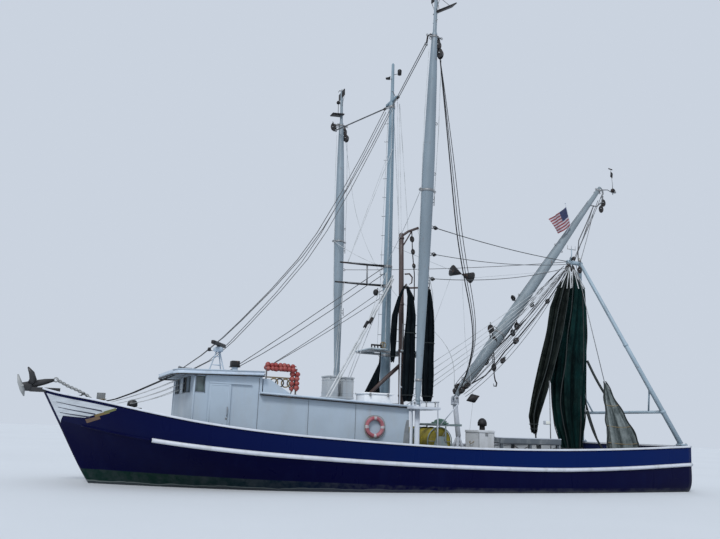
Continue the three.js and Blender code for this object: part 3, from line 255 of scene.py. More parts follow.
def controls(share):
    """The six row points of the station at a share of the length, on the starboard side."""
    points = []
    for stem, halves, heights in ROWS:
        x = stem + (STERN - stem) * share
        line = heights if isinstance(heights[0], tuple) else None
        z = along(line, x) if line else along(tuple(zip(SHARES, heights)), share)
        points.append((x, along(tuple(zip(SHARES, halves)), share), z))
    return np.array(points, float)


def skin(share, row):
    """A point of the starboard skin: share from stem to stern, row from the keel at 0 to the sheer at 5."""
    c = controls(share)
    c = np.vstack([2 * c[0] - c[1], c, 2 * c[-1] - c[-2]])
    i = min(int(row), SHEER_ROW - 1)
    u = row - i
    p0, p1, p2, p3 = c[i : i + 4]
    d0, d1, d2 = (np.linalg.norm(b - a) ** 0.5 for a, b in ((p0, p1), (p1, p2), (p2, p3)))
    start = ((p1 - p0) / d0 - (p2 - p0) / (d0 + d1) + (p2 - p1) / d1) * d1
    end = ((p2 - p1) / d1 - (p3 - p1) / (d1 + d2) + (p3 - p2) / d2) * d1
    return p1 + u * start + u**2 * (
        3 * p2 - 3 * p1 - 2 * start - end
    ) + u**3 * (2 * p1 - 2 * p2 + start + end)


def share_at(x, row):
    """The share whose row point lies at x."""
    low, high = 0.0, 1.0
    for _ in range(30):
        middle = (low + high) / 2
        low, high = (middle, high) if skin(middle, row)[0] < x else (low, middle)
    return low


def deck_height(x, y=0.0):
    half = skin(share_at(x, DECK_ROW), DECK_ROW)[1]
    return along(DECK_LINE, x) + CAMBER * (1 - min(abs(y) / half, 1)) + DECK_SKIN


def ring_mesh(name, rings):
    """A closed skin through rings of equal point count, with a cap at each end."""
    rings = np.asarray(rings, float)
    count, around = rings.shape[:2]
    faces = []
    for i in range(count - 1):
        for j in range(around):
            a, b = i * around + j, i * around + (j + 1) % around
            faces.append((a, b, b + around, a + around))
    faces += [tuple(range(around))[::-1], tuple(range((count - 1) * around, count * around))]
    return solid_mesh(name, rings.reshape(-1, 3), faces)


def outward(mesh):
    """Turns the faces of a closed mesh outwards."""
    shape = bmesh.new()
    shape.from_mesh(mesh)
    bmesh.ops.remove_doubles(shape, verts=shape.verts, dist=1e-5)
    bmesh.ops.recalc_face_normals(shape, faces=shape.faces)
    shape.to_mesh(mesh)
    shape.free()
    return mesh


# Stations stand closer together towards the bow, where the hull bends most.
STATIONS = 150
BOW_CROWDING = 1.15
SIDE_ROWS = [r / 12 for r in range(0, DECK_ROW * 12)] + [DECK_ROW + r / 10 for r in range(11)]
CROWN = (0.0, 0.2, 0.4, 0.6, 0.8, 1.0)
hull_rings, row_of = [], []
for i in range(STATIONS + 1):
    share = (i / STATIONS) ** BOW_CROWDING
    side = [skin(share, row) for row in SIDE_ROWS]
    x, half, top = side[-1]
    inner = [
        (px, max(py - BULWARK_THICK, 0.004), pz)
        for px, py, pz in (skin(share, SHEER_ROW), skin(share, DECK_ROW + 0.5), skin(share, DECK_ROW + 0.1))
    ]
    edge_x, edge_half, edge_z = skin(share, DECK_ROW)
    reach = max(edge_half - BULWARK_THICK, 0.003)
    deck = [
        (edge_x, reach * (1 - t), edge_z + CAMBER * (1 - reach * (1 - t) / edge_half) + DECK_SKIN)
        for t in CROWN
    ]
    half_ring = [*side, *inner, *deck]
    other = [(px, -py, pz) for px, py, pz in half_ring[:-1]]
    hull_rings.append(half_ring + other[::-1])
    half_rows = SIDE_ROWS + [SHEER_ROW] * 3 + [SHEER_ROW] * len(CROWN)
    row_of += half_rows + half_rows[:-1][::-1]
hull_mesh = ring_mesh("hull_plating", hull_rings)
hull_mesh.attributes.new("paint_row", "FLOAT", "POINT").data.foreach_set("value", row_of)
around = len(hull_rings[0])
half_count = len(SIDE_ROWS)
zones = []
for i in range(STATIONS):
    for j in range(around):
        k = min(j, around - 1 - j)
        zones.append(0 if k < half_count else 1 if k < half_count + 3 else 2)
zones += [0, 0]
hull_mesh.polygons.foreach_set("material_index", zones)

# The fish hold is cut through the deck inside its coaming.
HOLD_X = (4.0, 5.2)
HOLD_HALF = 0.6
HOLD_FLOOR = -0.3


def block_points(low, high):
    return [(x, y, z) for x in (low[0], high[0]) for y in (low[1], high[1]) for z in (low[2], high[2])]


BLOCK_FACES = ((0, 1, 3, 2), (4, 6, 7, 5), (0, 4, 5, 1), (2, 3, 7, 6), (0, 2, 6, 4), (1, 5, 7, 3))


def evaluated(obj, name):
    """The object's mesh with its modifiers applied, and the object removed."""
    graph = bpy.context.evaluated_depsgraph_get()
    mesh = bpy.data.meshes.new_from_object(
        obj.evaluated_get(graph), preserve_all_data_layers=True, depsgraph=graph
    )
    mesh.name = name
    bpy.data.objects.remove(obj)
    return mesh


hold_box = link(
    "hold_cutter",
    solid_mesh(
        "hold_cutter",
        block_points((HOLD_X[0], -HOLD_HALF, HOLD_FLOOR), (HOLD_X[1], HOLD_HALF, 2)),
        BLOCK_FACES,
        False,
    ),
)
outward(hull_mesh)
outward(hold_box.data)

# Hull paint: two navies that part at the guard's row, with chalky runs, scuffs, the antifouling and the
# growth.
UPPER_BOW = (0.0026, 0.0040, 0.038, 1)
UPPER_STERN = (0.0005, 0.0115, 0.088, 1)
LOWER_NAVY = (0.0008, 0.0012, 0.026, 1)
GREEN_ANTIFOULING = (0.004, 0.022, 0.018, 1)
GROWTH_GREY = (0.060, 0.066, 0.075, 1)
CHALK = (0.0045, 0.0100, 0.055, 1)
PAINT_LINE = 0.15
PAINT_LINE_RISE = 0.27
navy_paint, tree, shader, place = finish("hull_navy_paint", Roughness=0.34, Specular_IOR_Level=0.05)
axes = node(tree, "ShaderNodeSeparateXYZ", Vector=place)
row = node(tree, "ShaderNodeAttribute", {"attribute_name": "paint_row"}).outputs["Fac"]
aft = between(tree, axes.outputs[0], -9.5, 4)
bow_share = between(tree, axes.outputs[0], 2, -9.5)
upper = mixed(tree, aft, UPPER_BOW, UPPER_STERN)
navy = mixed(tree, between(tree, row, 3.99, 4.01), LOWER_NAVY, upper)
runs = speckle(tree, place, 2.2, 5, 0.6, (1, 1, 0.12))
navy = mixed(tree, between(tree, runs, 0.52, 0.85, 0, 0.30), navy, CHALK)
cloud = speckle(tree, place, 0.5, 3)
navy = mixed(tree, between(tree, cloud, 0.45, 0.8, 0, 0.18), navy, CHALK)
scuffs = speckle(tree, place, 9, 6, 0.7, (0.25, 1, 1))
scuff_share = sums(
    tree, "MULTIPLY", between(tree, scuffs, 0.66, 0.72), between(tree, axes.outputs[2], 1.0, 0.3, 0, 0.4)
)
navy = mixed(tree, scuff_share, navy, GROWTH_GREY)
wobble = between(tree, speckle(tree, place, 1.1, 3), 0.3, 0.7, -0.03, 0.03)
paint_line = sums(tree, "ADD", sums(tree, "MULTIPLY", bow_share, PAINT_LINE_RISE), PAINT_LINE)
height = sums(tree, "SUBTRACT", axes.outputs[2], paint_line)
under_line = between(tree, height, 0.012, 0.0)
foul = mixed(tree, between(tree, bow_share, 0.35, 0.85), LOWER_NAVY, GREEN_ANTIFOULING)
foul = mixed(tree, between(tree, speckle(tree, place, 3.5, 6, 0.65), 0.4, 0.75, 0, 0.5), foul, GROWTH_GREY)
coloured = mixed(tree, under_line, navy, foul)
beard_height = sums(tree, "ADD", axes.outputs[2], wobble)
beard = between(tree, beard_height, 0.10, 0.02)
coloured = mixed(tree, sums(tree, "MULTIPLY", beard, 0.85), coloured, GROWTH_GREY)
boot_line = sums(
    tree, "MULTIPLY", between(tree, beard_height, 0.06, 0.075), between(tree, beard_height, 0.10, 0.085)
)
coloured = mixed(tree, sums(tree, "MULTIPLY", boot_line, bow_share), coloured, (0.16, 0.18, 0.18, 1))
give(tree, shader, "Base Color", coloured)
tree.links.new(
    sums(tree, "ADD", between(tree, runs, 0.3, 0.8, 0.24, 0.46), sums(tree, "MULTIPLY", beard, 0.4)),
    shader.inputs["Roughness"],
)
butts = sums(
    tree, "ABSOLUTE",
    sums(tree, "SUBTRACT", sums(tree, "FRACT", sums(tree, "DIVIDE", axes.outputs[0], 2.4)), 0.5),
)
relief(tree, shader, between(tree, butts, 0.0, 0.006, 1, 0), 0.08, 0.004)
relief(tree, shader, speckle(tree, place, 1.6, 2), 0.35, 0.02)

LINING_GREY = (0.52, 0.55, 0.57, 1)
lining_paint, tree, shader, place = finish("bulwark_lining_paint", Roughness=0.5)
rust_runs = between(tree, speckle(tree, place, 3, 5, 0.6, (1, 1, 0.1)), 0.6, 0.75, 0, 0.6)
give(tree, shader, "Base Color", mixed(tree, rust_runs, LINING_GREY, (0.22, 0.10, 0.05, 1)))
relief(tree, shader, speckle(tree, place, 20, 3), 0.15, 0.004)

PLANK_WIDTH = 0.11
DECK_GREY = (0.20, 0.20, 0.19, 1)
DECK_WORN = (0.11, 0.10, 0.09, 1)
deck_planks, tree, shader, place = finish("deck_planks", Roughness=0.8)
axes = node(tree, "ShaderNodeSeparateXYZ", Vector=place)
across_planks = sums(tree, "FRACT", sums(tree, "DIVIDE", axes.outputs[1], PLANK_WIDTH))
plank_seam = between(tree, sums(tree, "ABSOLUTE", sums(tree, "SUBTRACT", across_planks, 0.5)), 0.44, 0.47)
worn = between(tree, speckle(tree, place, 1.8, 6, 0.65), 0.35, 0.7)
plank_tone = mixed(tree, worn, DECK_GREY, DECK_WORN)
fibres = speckle(tree, place, 14, 5, 0.6, (0.06, 1, 1))
plank_tone = mixed(tree, between(tree, fibres, 0.45, 0.7, 0, 0.5), plank_tone, (0.30, 0.28, 0.24, 1))
give(tree, shader, "Base Color", mixed(tree, plank_seam, plank_tone, (0.02, 0.02, 0.02, 1)))
relief(tree, shader, sums(tree, "SUBTRACT", fibres, plank_seam), 0.4, 0.006)

plating = link("hull_plating_uncut", hull_mesh, navy_paint, lining_paint, deck_planks)
hole = plating.modifiers.new("hold", "BOOLEAN")
hole.operation = "DIFFERENCE"
hole.object = hold_box
hole.solver = "EXACT"
hull_plating = link("hull_plating", evaluated(plating, "hull_plating"))
bpy.data.objects.remove(hold_box)


def place_piece(piece, body, slot, *nodes):
    """Rides a finished piece on its body and hides the CAD nodes that it stands for; its slot is not used."""
    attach(piece, body)
    if nodes:
        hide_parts(*nodes)


place_piece(hull_plating, "hull_body", "hull_paint", "hull", "bulwark_port", "bulwark_starboard")

# Cap rails and guards are steel sections, painted white and welded to the plating. The cap lies flat along
# the sheer with rounded edges. The half-round guard runs along the deck edge, white from the shoulder aft
# and navy where it fades into the bow.
CAP_WIDTH = 0.20
CAP_THICK = 0.06
CAP_PROUD = 0.045
CAP_ROUND = 0.016
GUARD_RADIUS = 0.065
GUARD_DEPTH = 0.085
GUARD_WHITE_FROM = 0.113
RAIL_WHITE = (0.64, 0.67, 0.73, 1)


def rounded_rectangle(width, height, radius, steps=3):
    """The outline of a rounded rectangle about its middle."""
    outline = []
    for quarter, (sx, sz) in enumerate(((1, -1), (1, 1), (-1, 1), (-1, -1))):
        for step in range(steps + 1):
            angle = math.pi / 2 * (quarter - 1 + step / steps)
            outline.append(
                (
                    sx * (width / 2 - radius) + radius * math.cos(angle),
                    sz * (height / 2 - radius) + radius * math.sin(angle),
                )
            )
    return outline


def worn_white(name, base, rust=0.5, grime=0.4, roughness=0.42, scale=1.0):
    """Gloss paint on wood or steel, gone dull in places, with rust and dirt running down it."""
    material, tree, shader, place = finish(name, Roughness=roughness)
    dull = speckle(tree, place, 1.3 * scale, 5, 0.6)
    tone = mixed(
        tree, between(tree, dull, 0.35, 0.75, 0, 0.6), base, tuple(c * 0.80 for c in base[:3]) + (1,)
    )
    runs = speckle(tree, place, 5 * scale, 6, 0.65, (1, 1, 0.07))
    tone = mixed(tree, between(tree, runs, 0.60, 0.78, 0, rust * 0.6), tone, (0.34, 0.21, 0.12, 1))
    spots = speckle(tree, place, 26 * scale, 5, 0.7)
    tone = mixed(tree, between(tree, spots, 0.68, 0.76, 0, rust), tone, (0.20, 0.09, 0.04, 1))
    dirt = speckle(tree, place, 3.2 * scale, 6, 0.62, (1, 1, 0.35))
    tone = mixed(tree, between(tree, dirt, 0.5, 0.8, 0, grime), tone, (0.40, 0.41, 0.40, 1))
    give(tree, shader, "Base Color", tone)
    give(tree, shader, "Roughness", between(tree, dull, 0.3, 0.8, roughness - 0.08, roughness + 0.22))
    relief(tree, shader, speckle(tree, place, 34 * scale, 3), 0.10, 0.003)
    relief(tree, shader, speckle(tree, place, 0.9 * scale, 2), 0.25, 0.012)
    return material


rail_white = worn_white("rail_white_paint", RAIL_WHITE, rust=0.35, grime=0.5)
cap_outline = rounded_rectangle(CAP_WIDTH, CAP_THICK, CAP_ROUND)
for sign, side in SIDES:
    rings = []
    for i in range(STATIONS + 1):
        share = (i / STATIONS) ** BOW_CROWDING
        x, y, z = skin(share, SHEER_ROW)
        middle = max(y + CAP_PROUD - CAP_WIDTH / 2, 0.1)
        rings.append([(x, sign * max(middle + a, 0.001), z + CAP_THICK / 2 + b) for a, b in cap_outline])
    place_piece(
        link(f"cap_rail_{side}_smooth", outward(ring_mesh("cap", rings)), rail_white), "hull_body",
        "white_paint", f"cap_rail_{side}",
    )

guard_white = worn_white("guard_white_paint", RAIL_WHITE, rust=0.25, grime=0.9)
GUARD_ARC = [math.radians(a) for a in range(-90, 91, 18)]
for sign, side in SIDES:
    for part, start, end, swell, coat in (
        ("", GUARD_WHITE_FROM, 1, 1, guard_white),
        ("_bow", 0.03, GUARD_WHITE_FROM, 0.55, navy_paint),
    ):
        rings = []
        steps = int(140 * (end - start)) + 6
        for i in range(steps + 1):
            share = start + (end - start) * i / steps
            x, y, z = skin(share, DECK_ROW)
            out = GUARD_DEPTH * swell
            ring = [
                (x, sign * (y + out * math.cos(a)), z + GUARD_RADIUS * swell * math.sin(a)) for a in GUARD_ARC
            ]
            ring += [
                (x, sign * (y - 0.03), z + GUARD_RADIUS * swell),
                (x, sign * (y - 0.03), z - GUARD_RADIUS * swell),
            ]
            rings.append(ring)
        guard = link(f"guard_{side}_round{part}", outward(ring_mesh("guard", rings)), coat)
        if part:
            place_piece(guard, "hull_body", "hull_paint")
        else:
            place_piece(guard, "hull_body", "white_paint", f"guard_{side}")

# The bow flash is brushed on by hand: a white panel from the stem, dark speed lines over it, and three dull
# strokes behind it in tan, gold and yellow-green. Each stroke is a thin coat that follows the plating.
COAT = 0.003
PANEL_START = 0.0035
PANEL_LOWER = ((PANEL_START, 3.95), (0.0116, 4.18), (0.0406, 4.30), (0.0860, 4.89))
PANEL_TOP = 4.90
STREAKS = ((0.012, 4.66, 0.066, 4.68), (0.0105, 4.46, 0.056, 4.51), (0.0095, 4.27, 0.047, 4.36))
STREAK_WIDTH = (0.02, 0.05)
# Trailing strokes: share, lower and upper row at each end, and the colour.
STROKES = (
    (0.0395, 4.12, 4.24, 0.060, 4.38, 4.47, (0.150, 0.085, 0.045, 1)),
    (0.054, 4.40, 4.48, 0.0745, 4.66, 4.74, (0.200, 0.130, 0.035, 1)),
    (0.068, 4.59, 4.68, 0.0845, 4.83, 4.90, (0.170, 0.180, 0.055, 1)),
)


def brushed(name, colour):
    """Paint that shows the strokes of the brush."""
    darker = tuple(c * 0.72 for c in colour[:3]) + (1,)
    return two_tone(
        name, colour, darker, (12, 5, 0.6, (0.1, 0.1, 1)), (0.4, 0.7), (0.15, 0.002), Roughness=0.4
    )


def on_skin(share, row, sign, proud):
    """A point of the skin, lifted off it by proud."""
    p = skin(share, row)
    dx = skin(share + 0.002, row) - p
    dz = skin(share, min(row + 0.02, SHEER_ROW)) - skin(share, min(row + 0.02, SHEER_ROW) - 0.04)
    out = np.cross(dz, dx)
    out = out / np.linalg.norm(out)
    p = p + out * (proud if out[1] > 0 else -proud)
    return (p[0], sign * p[1], p[2])


def coat_patch(lower, upper, start, end, sign, proud, columns, rows=6):
    """Points and faces of a patch of paint between two row lines."""
    points, faces = [], []
    for i in range(columns + 1):
        share = start + (end - start) * i / columns
        low, high = lower(share), upper(share)
        points += [on_skin(share, low + (high - low) * j / rows, sign, proud) for j in range(rows + 1)]
    for i in range(columns):
        for j in range(rows):
            a = i * (rows + 1) + j
            corners = (a, a + 1, a + rows + 2, a + rows + 1)
            faces.append(corners[::-1] if sign > 0 else corners)
    return points, faces


def bevelled_block(low, high, radius=0.006, turn=None):
    """Points and faces of a block with bevelled edges, turned about its middle where turn is given."""
    shape = bmesh.new()
    corners = [shape.verts.new(p) for p in block_points(low, high)]
    for face in BLOCK_FACES:
        shape.faces.new([corners[k] for k in face])
    bmesh.ops.recalc_face_normals(shape, faces=shape.faces)
    bmesh.ops.bevel(shape, geom=shape.edges, offset=radius, segments=2, profile=0.5, affect="EDGES")
    if turn is not None:
        middle = (Vector(low) + Vector(high)) / 2
        bmesh.ops.rotate(shape, cent=middle, matrix=turn, verts=shape.verts)
    shape.verts.index_update()
    made = [v.co.copy() for v in shape.verts], [[v.index for v in f.verts] for f in shape.faces]
    shape.free()
    return made


def swept(points, radii, sides=12):
    """Points and faces of a round bar along a run of points, with a radius at each and closed ends."""
    points = [Vector(p) for p in points]
    radii = [radii] * len(points) if isinstance(radii, (int, float)) else radii
    rings, normal = [], None
    for i, p in enumerate(points):
        run = (points[min(i + 1, len(points) - 1)] - points[max(i - 1, 0)]).normalized()
        if normal is None:
            normal = run.orthogonal().normalized()
        normal = (normal - run * normal.dot(run)).normalized()
        other = run.cross(normal)
        turns = (2 * math.pi * k / sides for k in range(sides))
        rings.append([p + (normal * math.cos(a) + other * math.sin(a)) * radii[i] for a in turns])
    faces = []
    for i in range(len(rings) - 1):
        for j in range(sides):
            a, b = i * sides + j, i * sides + (j + 1) % sides
            faces.append((a, b, b + sides, a + sides))
    faces += [tuple(range(sides))[::-1], tuple(range((len(rings) - 1) * sides, len(rings) * sides))]
    return [p for ring in rings for p in ring], faces


def turned(foot, head, table, sides=24):
    """Points and faces of a turned part along foot to head, from (distance, radius) pairs that may step."""
    foot = Vector(foot)
    run = (Vector(head) - foot).normalized()
    normal = run.orthogonal().normalized()
    other = run.cross(normal)
    points = [
        foot + run * d + (
            normal * math.cos(2 * math.pi * k / sides) + other * math.sin(2 * math.pi * k / sides)
        ) * r
        for d, r in table
        for k in range(sides)
    ]
    faces = []
    for i in range(len(table) - 1):
        for j in range(sides):
            a, b = i * sides + j, i * sides + (j + 1) % sides
            faces.append((a, b, b + sides, a + sides))
    faces += [tuple(range(sides))[::-1], tuple(range((len(table) - 1) * sides, len(table) * sides))]
    return points, faces


def ball(centre, radius, squash=1.0, steps=10, sides=18, axis=(0, 0, 1)):
    """Points and faces of a ball, flattened along its axis where squash is under 1."""
    centre, axis = Vector(centre), Vector(axis).normalized()
    table = []
    for i in range(steps + 1):
        angle = math.pi * (0.02 + 0.96 * i / steps)
        table.append((radius * squash * (1 - math.cos(angle)), radius * math.sin(angle)))
    return turned(centre - axis * radius * squash, centre + axis, table, sides)


def hoop(centre, axis, radius, thick, start=0.0, end=2 * math.pi, steps=40, sides=10):
    """Points and faces of a ring, or of a part of one, of round section."""
    centre, axis = Vector(centre), Vector(axis).normalized()
    first = axis.orthogonal().normalized()
    second = axis.cross(first)
    angles = [start + (end - start) * i / steps for i in range(steps + 1)]
    arc = [centre + (first * math.cos(a) + second * math.sin(a)) * radius for a in angles]
    if end - start < 2 * math.pi - 1e-6:
        return swept(arc, thick, sides)
    points, faces = [], []
    for a in angles[:-1]:
        out = first * math.cos(a) + second * math.sin(a)
        for j in range(sides):
            b = 2 * math.pi * j / sides
            points.append(centre + out * (radius + thick * math.cos(b)) + axis * thick * math.sin(b))
    for i in range(steps):
        for j in range(sides):
            a, b = i * sides + j, i * sides + (j + 1) % sides
            c, d = ((i + 1) % steps) * sides + (j + 1) % sides, ((i + 1) % steps) * sides + j
            faces.append((a, b, c, d))
    return points, faces


def wedge(outline, y, thick):
    """Points and faces of a plate whose outline (x, z) lies across y, thick wide."""
    count = len(outline)
    corners = [(x, y - thick / 2, z) for x, z in outline] + [(x, y + thick / 2, z) for x, z in outline]
    faces = [(k, (k + 1) % count, count + (k + 1) % count, count + k) for k in range(count)]
    return corners, faces + [tuple(range(count))[::-1], tuple(range(count, 2 * count))]


def band(half, inner, outer):
    """The profile of a square-edged band for a turned part: half its width, and its two radii."""
    return ((-half, inner), (-half, outer), (half, outer), (half, inner))


class Shape:
    """Points and faces gathered for one mesh, each face with its material's place."""

    def __init__(self):
        self.points, self.faces, self.tones = [], [], []

    def add(self, points, faces, tone=0):
        first = len(self.points)
        self.points += [tuple(p) for p in points]
        self.faces += [tuple(first + k for k in face) for face in faces]
        self.tones += [tone] * len(faces)

    def bar(self, points, radii, sides=12, tone=0):
        """A round bar along points, with one radius or one for each."""
        self.add(*swept(points, radii, sides), tone)

    def lathe(self, foot, head, table, sides=24, tone=0):
        """A turned part from foot towards head."""
        self.add(*turned(foot, head, table, sides), tone)

    def post(self, foot, table, sides=24, tone=0):
        """A turned part that stands on foot."""
        self.lathe(foot, Vector(foot) + Vector((0, 0, 1)), table, sides, tone)

    def slab(self, low, high, radius=0.006, turn=None, tone=0):
        """A block with bevelled edges between two corners."""
        self.add(*bevelled_block(low, high, radius, turn), tone)

    def ring(self, *place, tone=0, **size):
        self.add(*hoop(*place, **size), tone)

    def ball(self, *place, tone=0):
        self.add(*ball(*place), tone)

    def plate(self, *place, tone=0):
        self.add(*wedge(*place), tone)

    def made(self, name, *materials, smooth=True):
        mesh = solid_mesh(name, self.points, self.faces, smooth)
        obj = link(name, mesh, *materials)
        mesh.polygons.foreach_set("material_index", self.tones)
        return obj


def piecewise(table):
    """The straight-line reading of a two-column table."""
    return lambda s: float(np.interp(s, [a for a, _ in table], [b for _, b in table]))


flash = Shape()
panel_lower = piecewise(PANEL_LOWER)
for sign in (-1, 1):
    flash.add(
        *coat_patch(panel_lower, lambda s: PANEL_TOP, PANEL_START, PANEL_LOWER[-1][0], sign, COAT, 40), 0
    )
    for start, start_row, end, end_row in STREAKS:
        middle = piecewise(((start, start_row), (end, end_row)))
        half = piecewise(((start, STREAK_WIDTH[0] / 2), (end, STREAK_WIDTH[1] / 2)))
        lower = lambda s, m=middle, h=half: m(s) - h(s)
        upper = lambda s, m=middle, h=half: m(s) + h(s)
        flash.add(*coat_patch(lower, upper, start, end, sign, COAT * 2, 24, 1), 1)
    for k, (start, low0, high0, end, low1, high1, _) in enumerate(STROKES):
        lower, upper = piecewise(((start, low0), (end, low1))), piecewise(((start, high0), (end, high1)))
        flash.add(*coat_patch(lower, upper, start, end, sign, COAT * 1.5, 14, 3), 2 + k)
bow_flash = flash.made(
    "bow_flash",
    brushed("flash_white", (0.62, 0.66, 0.70, 1)),
    brushed("flash_streak", (0.015, 0.017, 0.05, 1)),
    *(brushed(f"flash_{name}", stroke[-1]) for name, stroke in zip(("tan", "gold", "lime"), STROKES)),
)
place_piece(bow_flash, "hull_body", "white_paint")

# The house is plywood on frames, sheathed and painted white. The imported walls, roofs and doors stay, and
# get their paint here, with the mouldings, window frames, gaskets, drip strips and vents that are screwed
# on to them. The black drip strips also paint the shadow under the roof edges.
# The wall white is darker and bluer than the roof white: painted shade, carried also by the trim, doors and
# roof fittings that share it.
HOUSE_WHITE_IN_SHADE = (0.43, 0.515, 0.600, 1)
ROOF_WHITE = (0.62, 0.71, 0.82, 1)
house_white_shaded = worn_white("walls_paint_in_shade", HOUSE_WHITE_IN_SHADE, rust=0.30, grime=0.35, scale=0.8)
roof_white = worn_white("roof_white_paint", ROOF_WHITE, rust=0.35, grime=0.75, roughness=0.55)


def coat_node(name, material):
    """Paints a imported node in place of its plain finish."""
    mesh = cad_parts[name].data
    mesh.materials.clear()
    mesh.materials.append(material)


for name in (
    "house_side_port", "house_side_starboard", "pilothouse_front", "house_bulkhead", "pilothouse_aft",
    "roof_locker", "pilothouse_door_port", "pilothouse_door_starboard", "house_door",
):
    coat_node(name, house_white_shaded)
for name in ("house_roof", "pilothouse_roof", "mast_platform", "roof_hatch"):
    coat_node(name, roof_white)

tinted, tree, shader, place = finish("window_tint", Roughness=0.06, IOR=1.5)
shader.inputs["Base Color"].default_value = (0.035, 0.060, 0.055, 1)
shader.inputs["Specular IOR Level"].default_value = 0.8
film = speckle(tree, place, 2.5, 4)
tree.links.new(
    mixed(tree, between(tree, film, 0.35, 0.75), (0.028, 0.050, 0.048, 1), (0.10, 0.14, 0.14, 1)),
    shader.inputs["Base Color"],
)
give(tree, shader, "Roughness", between(tree, film, 0.4, 0.8, 0.05, 0.2))
coat_node("glazing", tinted)

gasket = two_tone(
    "rubber_gasket", (0.015, 0.015, 0.016, 1), (0.06, 0.06, 0.06, 1), (40, 4), None, (0.3, 0.002),
    Roughness=0.7,
)

zinc, tree, shader, place = finish("weathered_zinc", Metallic=0.75, Roughness=0.5)
spangle = speckle(tree, place, 30, 5, 0.6)
tone = mixed(tree, between(tree, spangle, 0.3, 0.7), (0.34, 0.35, 0.36, 1), (0.22, 0.23, 0.24, 1))
bloom = speckle(tree, place, 6, 5, 0.65)
tree.links.new(
    mixed(tree, between(tree, bloom, 0.60, 0.75, 0, 0.8), tone, (0.20, 0.10, 0.05, 1)),
    shader.inputs["Base Color"],
)
give(tree, shader, "Roughness", between(tree, spangle, 0.3, 0.7, 0.4, 0.65))
relief(tree, shader, spangle, 0.2, 0.002)

black_iron = two_tone(
    "black_iron", (0.014, 0.014, 0.016, 1), (0.12, 0.055, 0.03, 1),
    (8, 6, 0.7), (0.55, 0.7, 0, 0.8), (0.3, 0.004), Roughness=0.6, Metallic=0.3
)


# Mouldings of the house: a raised wooden frame and a rubber gasket round each window, and round beads with
# a black drip strip under them along both roof edges, which also paints the shadow under the eaves.
HOUSE_HALF = 1.80
FRONT_X, FRONT_CORNER_X, FRONT_HALF = -7.29, -7.25, 0.68
WINDOW_LOW, WINDOW_HIGH = 2.82, 3.29
STEP_X = -5.20
HOUSE_AFT = 0.08
MOULD = 0.022
trim = Shape()
gaskets = Shape()


def window_frame(corner_low, corner_high, out):
    """Frame and gasket round an opening between two corners on a flat wall; out points off the wall."""
    low, high = Vector(corner_low), Vector(corner_high)
    out = Vector(out)
    run = Vector((high.x - low.x, high.y - low.y, 0))
    length = run.length
    run.normalize()
    for shape, width, lift, inset in ((trim, MOULD, 0.010, 0.0), (gaskets, 0.012, 0.014, -0.008)):
        edge = width + inset
        base = low + out * (lift / 2)
        height = high.z - low.z
        bars = (
            (run * (-inset), run * (-edge), -edge, height + edge),
            (run * (length + inset), run * (length + edge), -edge, height + edge),
            (run * (-edge), run * (length + edge), -edge, -inset),
            (run * (-edge), run * (length + edge), height + inset, height + edge),
        )
        for start, end, bottom, top in bars:
            corners = [
                base + along_wall + Vector((0, 0, z)) + out * s
                for along_wall in (start, end)
                for s in (-lift / 2, lift / 2)
                for z in (bottom, top)
            ]
            shape.add(corners, BLOCK_FACES)


for sign in (-1, 1):
    slope = (FRONT_CORNER_X - FRONT_X) / (HOUSE_HALF - 0.08 - FRONT_HALF)
    far_x = FRONT_X + (1.31 - FRONT_HALF) * slope
    window_frame((FRONT_X, sign * 0.25, WINDOW_LOW), (FRONT_X, sign * 0.64, WINDOW_HIGH), (-1, 0, 0))
    gaskets.slab(
        (FRONT_X - 0.016, sign * 0.68 - 0.055, WINDOW_LOW), (FRONT_X, sign * 0.68 + 0.055, WINDOW_HIGH), 0.004
    )
    normal = Vector((-1, sign * slope, 0)).normalized()
    window_frame((FRONT_X, sign * 0.72, WINDOW_LOW), (far_x, sign * 1.31, WINDOW_HIGH), normal)
    window_frame(
        (-7.205, sign * HOUSE_HALF, WINDOW_LOW), (-6.925, sign * HOUSE_HALF, WINDOW_HIGH), (0, sign, 0)
    )

trim.slab((FRONT_X - 0.020, -0.24, WINDOW_LOW - 0.02), (FRONT_X + 0.002, 0.24, WINDOW_HIGH + 0.02), 0.006)
ROOF_HALF = 1.93
PILOT_THICK, HOUSE_THICK = 0.12, 0.07
PILOT_ROOF = ((-7.845, 1.40, 0.02), (-7.76, 1.78, 0.05), (-7.60, ROOF_HALF, 0.075), (-5.10, ROOF_HALF, 0.10))
HOUSE_ROOF_END = 0.20


def pilot_under(x):
    return 3.411 + (x + 5.12) * 0.0273


def house_under(x):
    return 2.842 - (x + 5.34) * 0.0345


def crowned(crown, y):
    return crown * float(np.interp(abs(y) / ROOF_HALF, (0, 0.5, 1), (1, 0.75, 0)))


def pilot_top(x, y):
    crown = float(np.interp(x, [c[0] for c in PILOT_ROOF], [c[2] for c in PILOT_ROOF]))
    return pilot_under(x) + PILOT_THICK + crowned(crown, y)


def house_top(x, y):
    return house_under(x) + HOUSE_THICK + crowned(0.075, y)


